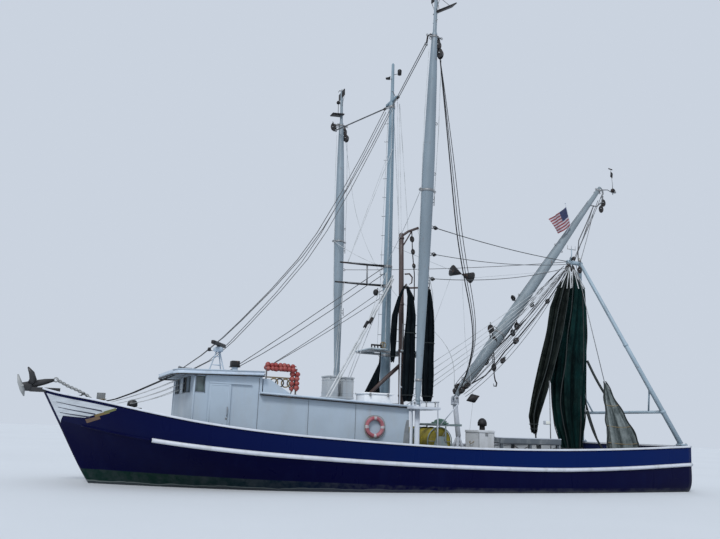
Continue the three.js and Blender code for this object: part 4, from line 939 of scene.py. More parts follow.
# The black strips under the roof edges also paint the shadow line under the eaves.
drip_and_shade = Shape()
for sign in (-1, 1):
    edge = [(x, sign * (half + 0.004)) for x, half, _ in PILOT_ROOF]
    for shape, radius, dz in ((trim, 0.020, PILOT_THICK), (trim, 0.020, 0.01), (drip_and_shade, 0.022, -0.018)):
        shape.bar([(x, y, pilot_under(x) + dz) for x, y in edge], radius, 10)
    for shape, radius, dz in ((trim, 0.022, HOUSE_THICK / 2), (drip_and_shade, 0.022, -0.018)):
        eave = [
            (x, sign * (ROOF_HALF + 0.004), house_under(x) + dz) for x in (STEP_X, -3.5, -1.7, HOUSE_ROOF_END)
        ]
        shape.bar(eave, radius, 10)
for shape, dz in ((trim, HOUSE_THICK / 2), (drip_and_shade, -0.018)):
    ends = ((PILOT_ROOF[0][0], PILOT_ROOF[0][1], pilot_under), (PILOT_ROOF[-1][0], ROOF_HALF, pilot_under))
    for x, half, under in ends + ((HOUSE_ROOF_END, ROOF_HALF, house_under),):
        shape.bar([(x, -half, under(x) + dz), (x, half, under(x) + dz)], 0.021, 10)

# Corner boards of painted wood, the black seams between the panels, and the coaming board along the deck.
for sign in (-1, 1):
    wall = sign * (HOUSE_HALF + 0.006)
    for x, low, high in ((FRONT_CORNER_X + 0.01, 1.48, 3.28), (HOUSE_AFT - 0.03, 2.30, 2.62)):
        trim.slab((x - 0.025, wall - 0.014, low), (x + 0.025, wall + 0.012, high), 0.008)
    for x, low, high in ((STEP_X - 0.02, 1.25, 3.34), (-3.55, 1.10, 2.74), (-1.90, 1.02, 2.69)):
        gaskets.slab((x - 0.004, wall - 0.008, low), (x + 0.004, wall - 0.003, high), 0.001)
    coaming = [(x, wall, deck_height(x, HOUSE_HALF) + 0.05) for x in (-7.2, -6, -4.5, -3, -1.5, -0.2)]
    trim.bar(coaming, 0.03, 8)
place_piece(trim.made("house_trim", house_white_shaded), "hull_body", "white_paint")
place_piece(gaskets.made("house_gaskets", gasket, smooth=False), "hull_body", "black_iron")
place_piece(drip_and_shade.made("roof_drip_and_shadow_strips", black_iron), "hull_body", "black_iron")

# At the after end of each side a dark grey plate of curved outline lies on the wall: painted shade for the
# dark space behind the wall's curved aft edge.
WING_SHADE_GREY = (0.16, 0.18, 0.20, 1)
wing_shade_paint = two_tone(
    "wing_painted_shade", WING_SHADE_GREY, (0.28, 0.30, 0.31, 1), (5, 5, 0.65), (0.3, 0.75), (0.2, 0.004),
    Roughness=0.6,
)
wing_shades = Shape()
for sign in (-1, 1):
    front = [(HOUSE_AFT - 0.22 * math.sqrt(1 - (i / 12) ** 2), 1.05 + 1.30 * i / 12) for i in range(12)]
    rear = [(HOUSE_AFT - 0.002, z) for _, z in front]
    layers = []
    for y in (HOUSE_HALF + 0.001, HOUSE_HALF + 0.010):
        layers.append([(x, sign * y, z) for x, z in front] + [(x, sign * y, z) for x, z in rear[::-1]])
    count = len(layers[0])
    sides = [(k, (k + 1) % count, count + (k + 1) % count, count + k) for k in range(count)]
    wing_shades.add(layers[0] + layers[1], sides + [tuple(range(count))[::-1], tuple(range(count, 2 * count))])
wing_shade_plates = wing_shades.made("house_wing_shade_plates", wing_shade_paint, smooth=False)
outward(wing_shade_plates.data)
place_piece(wing_shade_plates, "hull_body", "white_paint")

# Door furniture, screwed on: a bar handle, a kick strip, a slatted vent and a raised border on each sliding
# door, and a lever with its plate on the after door.
DOOR_FACE = HOUSE_HALF + 0.046
for sign, side in SIDES:
    fittings = Shape()
    face = sign * DOOR_FACE
    grip = face + sign * 0.045
    run = [(-6.20, face, 2.12), (-6.20, grip, 2.15), (-6.20, grip, 2.37), (-6.20, face, 2.40)]
    fittings.bar(run, 0.011, 8)
    for x0, x1, z0, z1, proud, tone in (
        (-6.76, -6.14, 1.44, 1.58, 0.004, 0),
        (-6.24, -6.17, 2.02, 2.08, 0.010, 0),
        *((-6.60, -6.30, 1.72 + 0.035 * k, 1.738 + 0.035 * k, 0.012, 1) for k in range(5)),
    ):
        low, high = sorted((face, face + sign * proud))
        fittings.slab((x0, low, z0), (x1, high, z1), 0.0018, tone=tone)
    corners = ((-6.73, 1.64), (-6.17, 1.64), (-6.17, 3.04), (-6.73, 3.04))
    for (x0, z0), (x1, z1) in zip(corners, corners[1:] + corners[:1]):
        fittings.bar([(x0, face, z0), (x1, face, z1)], 0.008, 8, tone=2)
    place_piece(
        fittings.made(f"pilothouse_door_{side}_fittings", zinc, black_iron, house_white_shaded),
        f"pilothouse_door_{side}", "galvanised_steel",
    )
lever = Shape()
lever.bar([(-0.25, -0.85, 1.80), (-0.20, -0.85, 1.80), (-0.20, -0.99, 1.80)], 0.012, 10)
lever.slab((-0.255, -0.89, 1.70), (-0.244, -0.81, 1.90), 0.003)
panel = ((-1.38, 1.2), (-0.87, 1.2), (-0.87, 2.3), (-1.38, 2.3))
for (y0, z0), (y1, z1) in zip(panel, panel[1:] + panel[:1]):
    lever.bar([(-0.25, y0, z0), (-0.25, y1, z1)], 0.009, 8, tone=1)
place_piece(lever.made("house_door_lever", zinc, house_white_shaded), "house_door", "galvanised_steel")

# Fittings on the pilothouse roof, bolted down: the radar's three-legged mast with its gearbox, a lamp on a
# bracket, and the square box lamp abaft it.
roof_fittings = Shape()
RADAR_X, RADAR_Y, RADAR_Z = -6.33, -0.60, 4.40
RADAR_TURN = -0.52
RADAR_LEGS = ((-0.25, 0), (0.18, -0.22), (0.18, 0.22))
for dx, dy in RADAR_LEGS:
    foot = (RADAR_X + dx, RADAR_Y + dy, pilot_top(RADAR_X + dx, RADAR_Y + dy) - 0.005)
    head = (RADAR_X + dx * 0.15, RADAR_Y + dy * 0.15, 4.25)
    roof_fittings.lathe(foot, head, ((0, 0.06), (0.02, 0.06), (0.02, 0.022), (0.80, 0.020)))
for z, spread in ((3.75, 0.62), (4.02, 0.34)):
    corners = [
        (RADAR_X + dx * spread, RADAR_Y + dy * spread, z) for dx, dy in RADAR_LEGS
    ]
    for a, b in zip(corners, corners[1:] + corners[:1]):
        roof_fittings.bar([a, b], 0.010, 8)
gearbox = ((0, 0.05), (0, 0.15), (0.015, 0.16), (0.10, 0.16), (0.12, 0.14), (0.15, 0.10), (0.153, 0.05))
roof_fittings.post((RADAR_X, RADAR_Y, 4.19), gearbox, 32)
roof_fittings.bar([(-6.52, -0.60, 4.20), (-6.62, -0.66, 4.20)], 0.012, 8, tone=1)
roof_fittings.post((-6.64, -0.68, 4.17), ((0, 0.03), (0.01, 0.055), (0.09, 0.055), (0.12, 0.03)), 20, tone=1)
roof_fittings.slab((-5.83, -0.70, 3.44), (-5.66, -0.50, 3.73), 0.015)
roof_fittings.slab((-5.88, -0.75, 3.74), (-5.61, -0.45, 3.92), 0.02, tone=1)
roof_fittings.slab((-5.90, -0.76, 3.715), (-5.59, -0.44, 3.738), 0.006, tone=1)

# A pair of trumpet horns on brackets, and a compass dome.
for y in (0.30, 0.48):
    z = pilot_top(-7.0, y) + 0.095
    horn = ((0, 0.02), (0.06, 0.02), (0.30, 0.025), (0.42, 0.06), (0.43, 0.075), (0.425, 0.06), (0.35, 0.02))
    roof_fittings.lathe((-6.95, y, z), (-7.4, y, z), horn, 20, tone=2)
    roof_fittings.slab((-7.03, y - 0.02, z - 0.10), (-6.97, y + 0.02, z), 0.005, tone=2)
dome = ((0, 0.13), (0.05, 0.13), (0.09, 0.125), (0.14, 0.10), (0.17, 0.06), (0.18, 0.01))
roof_fittings.post((-6.9, 1.05, pilot_top(-6.9, 1.05) - 0.01), dome, 28)
place_piece(
    roof_fittings.made("pilothouse_roof_fittings", house_white_shaded, black_iron, zinc), "hull_body", "white_paint",
    "radar_mast", "roof_lamp",
)

# The scanner is an open array: a long bar with rounded ends on a hub, dark plastic with a darker face.
array = Shape()
turn = Matrix.Rotation(RADAR_TURN, 3, "Z")
bar_middle = Vector((RADAR_X, RADAR_Y, RADAR_Z + 0.03))
array.slab(bar_middle - Vector((0.06, 0.64, 0.06)), bar_middle + Vector((0.06, 0.64, 0.06)), 0.028, turn)
array.slab(
    bar_middle - Vector((0.066, 0.57, 0.045)), bar_middle + Vector((0.066, 0.57, 0.03)), 0.01, turn, tone=1
)
hub = ((0, 0.05), (0.01, 0.06), (0.03, 0.06), (0.05, 0.045), (0.07, 0.04))
array.post((RADAR_X, RADAR_Y, RADAR_Z - 0.045), hub, 20)
place_piece(array.made("radar_array", black_iron, gasket), "radar_scanner", "black_iron", "radar_scanner")

# Rack of net floats: hard plastic balls with a lug at one end, strung close on ropes over a pipe frame. The
# red has faded in the sun, and rope and rubber rings hang from the lower bar.
FLOAT_RED = (0.26, 0.026, 0.024, 1)
FLOAT_FADED = (0.36, 0.110, 0.090, 1)
RACK_X = (-4.78, -3.75)
RACK_Y = -1.0
RACK_TOP = 3.74
RACK_BAR_Z = RACK_TOP - 0.30
FLOAT_STEP = 0.142
FLOAT_RADIUS = 0.088
float_plastic, tree, shader, place = finish("float_plastic", Roughness=0.5)
sun_bleach = speckle(tree, place, 3.5, 5, 0.65)
tone = mixed(tree, between(tree, sun_bleach, 0.4, 0.72), FLOAT_RED, FLOAT_FADED)
soil = speckle(tree, place, 17, 6, 0.7)
tone = mixed(tree, between(tree, soil, 0.55, 0.75, 0, 0.6), tone, (0.07, 0.05, 0.04, 1))
give(tree, shader, "Base Color", tone)
relief(tree, shader, soil, 0.25, 0.003)

rope_tan = two_tone(
    "rope_tan", (0.30, 0.24, 0.13, 1), (0.16, 0.12, 0.07, 1), (60, 3), None, (0.5, 0.004), Roughness=0.9
)

rack = Shape()
for x in RACK_X:
    foot_z = house_top(x, RACK_Y) - 0.005
    rack.post(
        (x, RACK_Y, foot_z), ((0, 0.07), (0.012, 0.07), (0.012, 0.028), (RACK_TOP - foot_z, 0.028)), 16,
        tone=1,
    )
    rack.bar([(x, RACK_Y, RACK_BAR_Z), (x, RACK_Y + 0.55, foot_z + 0.01)], 0.018, 10, tone=1)
rack.bar([(RACK_X[0] - 0.03, RACK_Y, RACK_TOP), (RACK_X[1] + 0.03, RACK_Y, RACK_TOP)], 0.028, 14, tone=1)
rack.bar([(RACK_X[0], RACK_Y, RACK_BAR_Z), (RACK_X[1], RACK_Y, RACK_BAR_Z)], 0.022, 12, tone=2)


def string_of_floats(places, seed):
    """Floats threaded along a run of places, each turned a little out of line."""
    scatter = np.random.default_rng(seed)
    for (x, y, z), (nx, ny, nz) in zip(places, places[1:]):
        axis = Vector((nx - x, ny - y, nz - z)) + Vector(scatter.uniform(-0.06, 0.06, 3))
        centre = Vector((x, y, z)) + Vector(scatter.uniform(-0.015, 0.015, 3))
        radius = FLOAT_RADIUS * scatter.uniform(0.90, 1.08)
        rack.ball(centre, radius, 0.95, 10, 16, axis)
        rack.ball(centre + axis.normalized() * radius * 0.95, radius * 0.34, 1, 6, 10, axis)
    rack.bar([Vector(p) for p in places], 0.012, 8, tone=2)


for row, (dy, dz) in enumerate(((-0.10, 0.0), (0.09, 0.02), (-0.01, 0.11))):
    span = [(RACK_X[0] + 0.03 + FLOAT_STEP * i, RACK_Y + dy, RACK_TOP - 0.02 + dz) for i in range(8)]
    string_of_floats(span, 20 + row)
for row, (dx, dy) in enumerate(((0.02, -0.10), (0.05, 0.08), (-0.13, -0.02))):
    drop = [
        (RACK_X[1] + dx - 0.008 * i, RACK_Y + dy + 0.004 * i, RACK_TOP - 0.17 - 0.15 * i)
        for i in range(5 - row % 2)
    ]
    string_of_floats(drop, 30 + row)
for k in range(4):
    rack.ring(
        (RACK_X[0] + 0.26 + 0.2 * k, RACK_Y - 0.03, RACK_TOP - 0.47), (0.2, 1, 0), 0.13, 0.022,
        tone=3 if k % 2 else 2,
    )
place_piece(
    rack.made("float_rack_strung", float_plastic, zinc, rope_tan, gasket), "hull_body", "red_floats",
    "float_rack",
)

# Boxes on the lower roof: two grey wooden chests on one base, with lids, bands and hasps. The hatch beside
# them is white, with a lipped lid on two hinges.
BOX_GREY = (0.40, 0.43, 0.45, 1)
box_grey = worn_white("box_grey_paint", BOX_GREY, rust=0.5, grime=0.6)
chests = Shape()
base_z = house_top(-2.2, -0.8) + 0.04
for low, high in (
    ((-2.65, -1.10, base_z), (-2.27, -0.50, 3.56)), ((-2.10, -1.10, base_z), (-1.70, -0.40, 3.54))
):
    chests.slab(low, high, 0.02)
    chests.slab(
        (low[0] - 0.02, low[1] - 0.02, high[2] + 0.004), (high[0] + 0.02, high[1] + 0.02, high[2] + 0.06),
        0.015,
    )
    for z in (base_z + 0.14, high[2] - 0.10):
        chests.slab((low[0] - 0.008, low[1] - 0.008, z), (high[0] + 0.008, high[1] + 0.008, z + 0.03), 0.006)
    for x in (low[0] + 0.08, high[0] - 0.08):
        chests.slab(
            (x - 0.015, low[1] - 0.03, high[2] - 0.04), (x + 0.015, low[1] - 0.008, high[2] + 0.05), 0.004,
            tone=1,
        )
chests.slab((-2.66, -1.11, base_z - 0.045), (-1.69, -0.39, base_z + 0.03), 0.01)
place_piece(chests.made("roof_boxes_lidded", box_grey, zinc), "hull_body", "galvanised_steel", "roof_boxes")

bright_white = worn_white("hatch_white_paint", (0.86, 0.88, 0.90, 1), rust=0.15, grime=0.25)
skylight = Shape()
skylight.slab((-1.54, -1.70, house_top(-0.5, -1.7) - 0.01), (-0.52, -0.94, 3.03), 0.012)
skylight.slab((-1.58, -1.74, 3.035), (-0.48, -0.90, 3.095), 0.025)
for x in (-1.36, -0.70):
    skylight.slab((x - 0.03, -1.765, 2.96), (x + 0.03, -1.742, 3.08), 0.005, tone=1)
    skylight.bar([(x, -0.90, 3.06), (x, -0.86, 3.06)], 0.022, 12, tone=1)
place_piece(skylight.made("roof_hatch_lidded", bright_white, zinc), "hull_body", "white_paint", "roof_hatch")

# Life ring: foam under canvas, red gone pink, with white bands and a grab line in four bights, on three
# small brackets.
RING_X, RING_Z, RING_MIDDLE, RING_THICK = -1.22, 1.965, 0.285, 0.065
ring_red, tree, shader, place = finish("life_ring_canvas", Roughness=0.7)
faded = speckle(tree, place, 5, 5, 0.6)
tone = mixed(tree, between(tree, faded, 0.35, 0.7), (0.34, 0.075, 0.100, 1), (0.42, 0.190, 0.210, 1))
give(tree, shader, "Base Color", tone)
relief(tree, shader, speckle(tree, place, 50, 2), 0.3, 0.002)
ring_white = two_tone(
    "life_ring_band", (0.50, 0.47, 0.49, 1), (0.38, 0.32, 0.33, 1), (6, 4), (0.4, 0.7), Roughness=0.7
)
buoy = Shape()
ring_centre = Vector((RING_X, -HOUSE_HALF - RING_THICK - 0.003, RING_Z))
buoy.ring(ring_centre, (0, 1, 0), RING_MIDDLE, RING_THICK, steps=56, sides=18)
for k in range(4):
    middle = math.pi / 4 + k * math.pi / 2
    buoy.ring(
        ring_centre, (0, 1, 0), RING_MIDDLE, RING_THICK + 0.003, middle - 0.16, middle + 0.16, 8, 18, tone=1
    )
    bight = []
    for i in range(13):
        angle = middle + i / 12 * math.pi / 2
        reach = RING_MIDDLE + RING_THICK + 0.006 + 0.035 * math.sin(i / 12 * math.pi)
        first = Vector((0, 1, 0)).orthogonal().normalized()
        second = Vector((0, 1, 0)).cross(first)
        bight.append(ring_centre + (first * math.cos(angle) + second * math.sin(angle)) * reach)
    buoy.bar(bight, 0.008, 8, tone=2)
for dx, z in ((0, 2.285), (-0.16, 1.615), (0.16, 1.615)):
    low = (RING_X + dx - 0.02, -HOUSE_HALF - 0.07, z)
    buoy.slab(low, (RING_X + dx + 0.02, -HOUSE_HALF - 0.002, z + 0.05), 0.005, tone=3)
place_piece(
    buoy.made("life_ring_bound", ring_red, ring_white, rope_tan, zinc), "hull_body", "red_floats", "life_ring"
)

# Spar paints: pale blue-grey enamel on the mast, the outriggers and the boom, chalky and scraped where gear
# rubs, with spots of rust. The port net post has lost its paint to rust.
SPAR_PAINT = (0.175, 0.220, 0.255, 1)
MAST_PAINT = (0.155, 0.222, 0.270, 1)
RUST = (0.16, 0.065, 0.030, 1)


def spar_coat(name, base, rust):
    """Enamel on a round spar: chalky patches, scrapes along it, and rust spots."""
    material, tree, shader, place = finish(name, Roughness=0.45)
    chalk = speckle(tree, place, 1.1, 5, 0.6, (1, 1, 0.3))
    tone = mixed(
        tree, between(tree, chalk, 0.35, 0.7), base, tuple(min(c * 1.35, 1) for c in base[:3]) + (1,)
    )
    scrape = speckle(tree, place, 9, 6, 0.7, (1, 1, 0.10))
    tone = mixed(
        tree, between(tree, scrape, 0.58, 0.72, 0, 0.45), tone, tuple(c * 0.55 for c in base[:3]) + (1,)
    )
    spots = speckle(tree, place, 7, 7, 0.72, (1, 1, 0.5))
    tone = mixed(tree, between(tree, spots, 0.62, 0.70, 0, rust), tone, RUST)
    give(tree, shader, "Base Color", tone)
    give(tree, shader, "Roughness", between(tree, spots, 0.4, 0.75, 0.38, 0.75))
    relief(tree, shader, speckle(tree, place, 5, 3), 0.15, 0.006)
    return material


outrigger_coat = spar_coat("outrigger_enamel", SPAR_PAINT, 0.6)
mast_coat = spar_coat("mast_enamel", MAST_PAINT, 0.5)
boom_coat = spar_coat("boom_enamel", (0.185, 0.225, 0.250, 1), 0.6)
gallows_coat = spar_coat("gallows_enamel", (0.26, 0.335, 0.390, 1), 0.7)
rusty_steel = spar_coat("rusty_steel", (0.050, 0.032, 0.030, 1), 1.0)
post_white = worn_white("post_white_paint", (0.52, 0.56, 0.62, 1), rust=0.55, grime=0.5)


def block(shape, centre, hang, size, tones=(2, 1)):
    """A rigging block that hangs along hang: two cheeks, a sheave between, and a strap with its shackle."""
    centre, hang = Vector(centre), Vector(hang).normalized()
    side = hang.orthogonal().normalized()
    swing = hang.cross(side)
    for offset in (-0.5, 0.5):
        at = centre + side * offset * size * 0.42
        outline = [(0, 0.10), (0, 0.95), (0.012, 1.0), (0.05, 1.0), (0.062, 0.93), (0.062, 0.08)]
        cheek = [(d * size * 0.8, r * size * 0.38) for d, r in outline]
        points, faces = turned(at - side * 0.025 * size, at + side, cheek, 20)
        shape.add(
            [p + hang * (Vector(p) - centre).dot(hang) * 0.55 for p in map(Vector, points)], faces, tones[0]
        )
    sheave = [(-0.16, 0.10), (-0.16, 0.33), (-0.05, 0.28), (0.05, 0.28), (0.16, 0.33), (0.16, 0.10)]
    shape.lathe(centre, centre + side, [(d * size, r * size) for d, r in sheave], 20, tone=tones[1])
    strap = [
        centre - side * size * 0.30 + hang * size * 0.1, centre - side * size * 0.28 - hang * size * 0.55,
    ]
    strap += [
        centre + side * size * 0.28 - hang * size * 0.55, centre + side * size * 0.30 + hang * size * 0.1,
    ]
    shape.bar(strap, size * 0.07, 8, tone=tones[0])
    shape.ring(
        centre - hang * size * 0.72, swing, size * 0.15, size * 0.045, steps=20, sides=8, tone=tones[1]
    )
    shape.lathe(
        centre - side * size * 0.36, centre + side,
        [(0, 0.02), (0, size * 0.09), (size * 0.72, size * 0.09), (size * 0.72, 0.02)], 14, tone=tones[1],
    )


def lamp(shape, foot, height, tones=(1, 3)):
    """A deck lamp: a caged glass on a base."""
    x, y, z = foot
    base = ((0, 0.02), (0, 0.07), (0.03, 0.07), (0.05, 0.05), (0.05, 0.02))
    shape.post(foot, base, 18, tone=tones[0])
    glass = ((0.05, 0.01), (0.05, 0.045), (height * 0.7, 0.045), (height * 0.9, 0.03), (height, 0.01))
    shape.post(foot, glass, 18, tone=tones[1])
    for k in range(4):
        angle = k * math.pi / 4
        dx, dy = 0.058 * math.cos(angle), 0.058 * math.sin(angle)
        cage = [(x + dx, y + dy, z + 0.05), (x + dx, y + dy, z + height * 0.8), (x, y, z + height + 0.02)]
        cage += [(x - dx, y - dy, z + height * 0.8), (x - dx, y - dy, z + 0.05)]
        shape.bar(cage, 0.005, 6, tone=tones[0])


lamp_glass, tree, shader, place = finish("lamp_glass", Roughness=0.15)
shader.inputs["Base Color"].default_value = (0.75, 0.76, 0.70, 1)
shader.inputs["Specular IOR Level"].default_value = 0.7

# Mast: a tapered tube with welded bands and eyes, a crosstree, two spreaders with their braces, steps up
# its starboard side, a lamp on an arm near the top, and a small wind vane.
MAST_X = -0.03
MAST_TABLE = (
    (0.86, 0.175), (4.0, 0.175), (6.5, 0.163), (9.0, 0.150), (12.0, 0.127), (14.5, 0.105), (14.7, 0.070),
    (16.20, 0.055), (16.25, 0.02),
)
BAND_Z = (4.55, 7.12, 7.88, 14.35)
SPREADERS = ((7.90, 1.93), (7.15, 2.10))
CROSSTREE_Y, CROSSTREE_Z = 0.44, 14.51
STEP_COUNT, STEP_FIRST_Z, STEP_RISE = 24, 4.95, 0.38
mast_radius = piecewise(MAST_TABLE)
mast = Shape()
mast.post((MAST_X, 0, 0), MAST_TABLE, 40)
for z in BAND_Z:
    r = mast_radius(z)
    hoop_profile = (
        (-0.05, r - 0.01), (-0.05, r + 0.014), (-0.04, r + 0.020), (0.04, r + 0.020), (0.05, r + 0.014),
        (0.05, r - 0.01),
    )
    mast.post((MAST_X, 0, z), hoop_profile, 40, tone=1)
    for angle in (0.4, 2.5, 4.4):
        eye = (MAST_X + (r + 0.04) * math.cos(angle), (r + 0.04) * math.sin(angle), z)
        mast.ring(eye, (math.sin(angle), -math.cos(angle), 0), 0.032, 0.010, steps=16, sides=8, tone=1)
for z0, reach in SPREADERS:
    spreader = ((0, 0.035), (reach * 0.5, 0.042), (reach, 0.028), (reach + 0.005, 0.015))
    mast.lathe((MAST_X, 0, z0), (MAST_X - reach, 0, z0 - 0.06), spreader, 18, tone=3)
    for sign in (-1, 1):
        mast.bar(
            [(MAST_X - reach + 0.05, 0, z0 - 0.058), (MAST_X - 0.12, sign * 0.10, z0 + 0.02)], 0.012, 8,
            tone=1,
        )
mast.bar([(-0.87, 0, 7.87), (-0.86, 0, 7.13)], 0.030, 10, tone=1)
mast.slab((MAST_X - 0.06, -0.48, 14.56), (MAST_X + 0.06, 0.48, 14.65), 0.012)
for y in (-CROSSTREE_Y, CROSSTREE_Y):
    mast.ring((MAST_X, y, CROSSTREE_Z), (0, 1, 0), 0.04, 0.012, steps=16, sides=8, tone=1)
    mast.bar([(MAST_X, y, 14.58), (MAST_X, 0, 14.30)], 0.014, 8, tone=1)
for k in range(STEP_COUNT):
    z = STEP_FIRST_Z + STEP_RISE * k
    side = -1 if k % 2 else 1
    r = mast_radius(z)
    start = (MAST_X + side * r * 0.55, r * 0.75, z)
    mast.bar(
        [
            start, (MAST_X + side * (r * 0.6 + 0.11), r * 0.9 + 0.10, z),
            (MAST_X + side * (r * 0.6 + 0.11), r * 0.9 + 0.10, z + 0.03),
        ],
        0.010, 8, tone=1,
    )
mast.bar([(MAST_X, 0, 15.75), (0.14, -0.12, 15.78), (0.18, -0.14, 15.85)], 0.014, 8, tone=1)
mast.post(
    (0.20, -0.14, 15.72), ((0, 0.03), (0.02, 0.075), (0.20, 0.085), (0.24, 0.06), (0.26, 0.02)), 18, tone=3
)
mast.bar([(MAST_X, 0, 15.52), (-0.16, -0.03, 15.54), (-0.22, -0.05, 15.54)], 0.011, 8, tone=1)
vane = [(-0.16, 15.64), (-0.24, 15.58), (-0.36, 15.53), (-0.34, 15.46), (-0.18, 15.48)]
mast.plate(vane, -0.05, 0.04, tone=3)
for sign in (-1, 1):
    horn = [(MAST_X + 0.02, sign * 0.30, 14.60)]
    horn += [
        (
            MAST_X + 0.02 + sign * 0.30 * math.sin(t), sign * (0.30 + 0.18 * t),
            14.60 + 0.20 * math.sin(1.9 * t),
        )
        for t in (0.2 * k for k in range(1, 7))
    ]
    mast.bar(horn, 0.016, 10, tone=1)
place_piece(
    mast.made("mast_spar", mast_coat, zinc, lamp_glass, black_iron), "hull_body", "spar_paint", "mast"
)

# Net posts, steel tubes: the port one rust brown, with a head arm, a strut, blocks and two long arms for
# the stowed nets. The starboard one is pale and plain but for its bands.
POST_Y, ARM_Z = 0.60, 7.06
STOWED = ((0.23, -1.08), (1.18, -1.04))


def post_x(z):
    return 0.41 - 0.19 * (z - 0.6) / 8.45


posts = Shape()
port_post = ((0.15, 0.100), (2.6, 0.100), (6.0, 0.095), (8.45, 0.085), (8.50, 0.05))
posts.lathe((post_x(0.6), -POST_Y, 0.6), (post_x(9.1), -POST_Y, 9.1), port_post, 28)
posts.bar([(0.22, -POST_Y, 8.98), (0.50, -POST_Y, 9.20), (0.92, -POST_Y, 9.40)], 0.048, 14)
posts.bar([(0.23, -POST_Y, 8.50), (0.66, -POST_Y, 9.25)], 0.026, 10)
posts.bar([(0.36, -0.66, 4.27), (-0.30, -0.66, 3.68), (-0.98, -0.66, 3.03)], 0.070, 14)
for k, z in enumerate((8.92, 8.44, 7.90)):
    block(posts, (0.66 + 0.05 * k, -0.62, z), (0.1, 0, -1), 0.20 - 0.02 * k)
posts.bar(
    [(0.64, -0.62, 9.28), (0.70, -0.60, 8.40), (0.78, -0.63, 7.60), (0.80, -0.62, 6.60)], 0.020, 8, tone=2
)
for x, y in STOWED:
    posts.lathe(
        (0.365, -POST_Y, ARM_Z - 0.04), (x, y, ARM_Z),
        ((0, 0.03), (0.02, 0.034), ((Vector((x, y)) - Vector((0.365, -POST_Y))).length, 0.034)), 14,
    )
    posts.ring((x, y, ARM_Z - 0.05), (1, 0, 0), 0.05, 0.014, steps=18, sides=8, tone=1)
hook = [
    (0.40, -0.60, 7.55), (0.58, -0.62, 7.58), (0.70, -0.62, 7.46), (0.68, -0.62, 7.25), (0.58, -0.62, 7.18),
]
posts.bar(hook, (0.030, 0.032, 0.030, 0.024, 0.012), 10)
for z in (3.1, 4.72, 6.4, 8.9):
    r = 0.102 - 0.0015 * (z - 0.6)
    posts.post((post_x(z), -POST_Y, z), band(0.03, r, r + 0.018), 24)
place_piece(
    posts.made("net_post_port_built", rusty_steel, zinc, black_iron), "hull_body", "rusty_steel",
    "net_post_port",
)
posts = Shape()
starboard_post = ((0.15, 0.085), (2.6, 0.080), (5.5, 0.063), (5.6, 0.04))
posts.lathe((post_x(0.6), POST_Y, 0.6), (post_x(6.2), POST_Y, 6.2), starboard_post, 28)
for z in (3.1, 4.72, 6.0):
    r = 0.085 - 0.0035 * (z - 0.6)
    posts.post((post_x(z), POST_Y, z), band(0.03, r, r + 0.018), 24, tone=1)
place_piece(
    posts.made("net_post_starboard_built", post_white, zinc), "hull_body", "spar_paint", "net_post_starboard"
)

# Working platform: planks across bearers bolted to the mast, with rails on stanchions, and a row of pins
# with a pole and coils of rope along its forward edge.
platform_boards = worn_white("platform_paint", (0.50, 0.58, 0.62, 1), rust=0.6, grime=0.9)
stage = Shape()
PLATFORM_X, PLATFORM_Z, PLATFORM_HALF = (0.24, 1.50), 4.66, 0.76
PLANKS = 8
plank_width = (PLATFORM_X[1] - PLATFORM_X[0]) / PLANKS
for k in range(PLANKS):
    x0 = PLATFORM_X[0] + plank_width * k
    low = (x0 + 0.004, -PLATFORM_HALF, PLATFORM_Z + 0.022)
    if k in (0, 1):
        for y0, y1 in ((-PLATFORM_HALF, -0.70), (-0.50, 0.50), (0.70, PLATFORM_HALF)):
            stage.slab((low[0], y0, low[2]), (x0 + plank_width - 0.004, y1, PLATFORM_Z + 0.06), 0.005)
    else:
        stage.slab(low, (x0 + plank_width - 0.004, PLATFORM_HALF, PLATFORM_Z + 0.06), 0.005)
for y in (-0.45, 0.45):
    stage.slab(
        (-0.9, y - 0.03, PLATFORM_Z - 0.06), (PLATFORM_X[1], y + 0.03, PLATFORM_Z + 0.02), 0.008, tone=1
    )
for x in (-0.86, 0.30, 1.40):
    stage.slab(
        (x - 0.03, -PLATFORM_HALF, PLATFORM_Z - 0.03), (x + 0.03, PLATFORM_HALF, PLATFORM_Z + 0.02), 0.006,
        tone=1,
    )
stage.slab((-0.95, -PLATFORM_HALF, PLATFORM_Z + 0.02), (-0.30, PLATFORM_HALF, PLATFORM_Z + 0.06), 0.008)
for k, x in enumerate((-0.90, -0.78, -0.66, -0.54)):
    stage.post(
        (x, -0.70, PLATFORM_Z + 0.06), ((0, 0.03), (0.05, 0.022), (0.09, 0.035), (0.13, 0.02)), 12, tone=2
    )
stage.bar([(-0.92, -0.72, PLATFORM_Z + 0.16), (-0.50, -0.72, PLATFORM_Z + 0.16)], 0.03, 8, tone=2)
for k in range(3):
    angle = 0.7 + 0.9 * k
    stage.ring(
        (-0.45, -0.68, PLATFORM_Z + 0.18), (math.cos(angle), math.sin(angle), 0.2), 0.11, 0.016, steps=22,
        sides=8, tone=3,
    )
for x in (0.30, 1.46):
    for y in (-0.72, 0.72):
        stage.post(
            (x, y, PLATFORM_Z + 0.06), ((0, 0.04), (0.01, 0.04), (0.01, 0.016), (0.95, 0.016)), 12, tone=1
        )
for y in (-0.72, 0.72):
    for dz in (0.55, 1.0):
        stage.bar([(0.30, y, PLATFORM_Z + dz), (1.46, y, PLATFORM_Z + dz)], 0.014, 8, tone=1)
place_piece(
    stage.made("platform_planked", platform_boards, zinc, black_iron, rope_tan), "hull_body", "white_paint",
    "mast_platform",
)

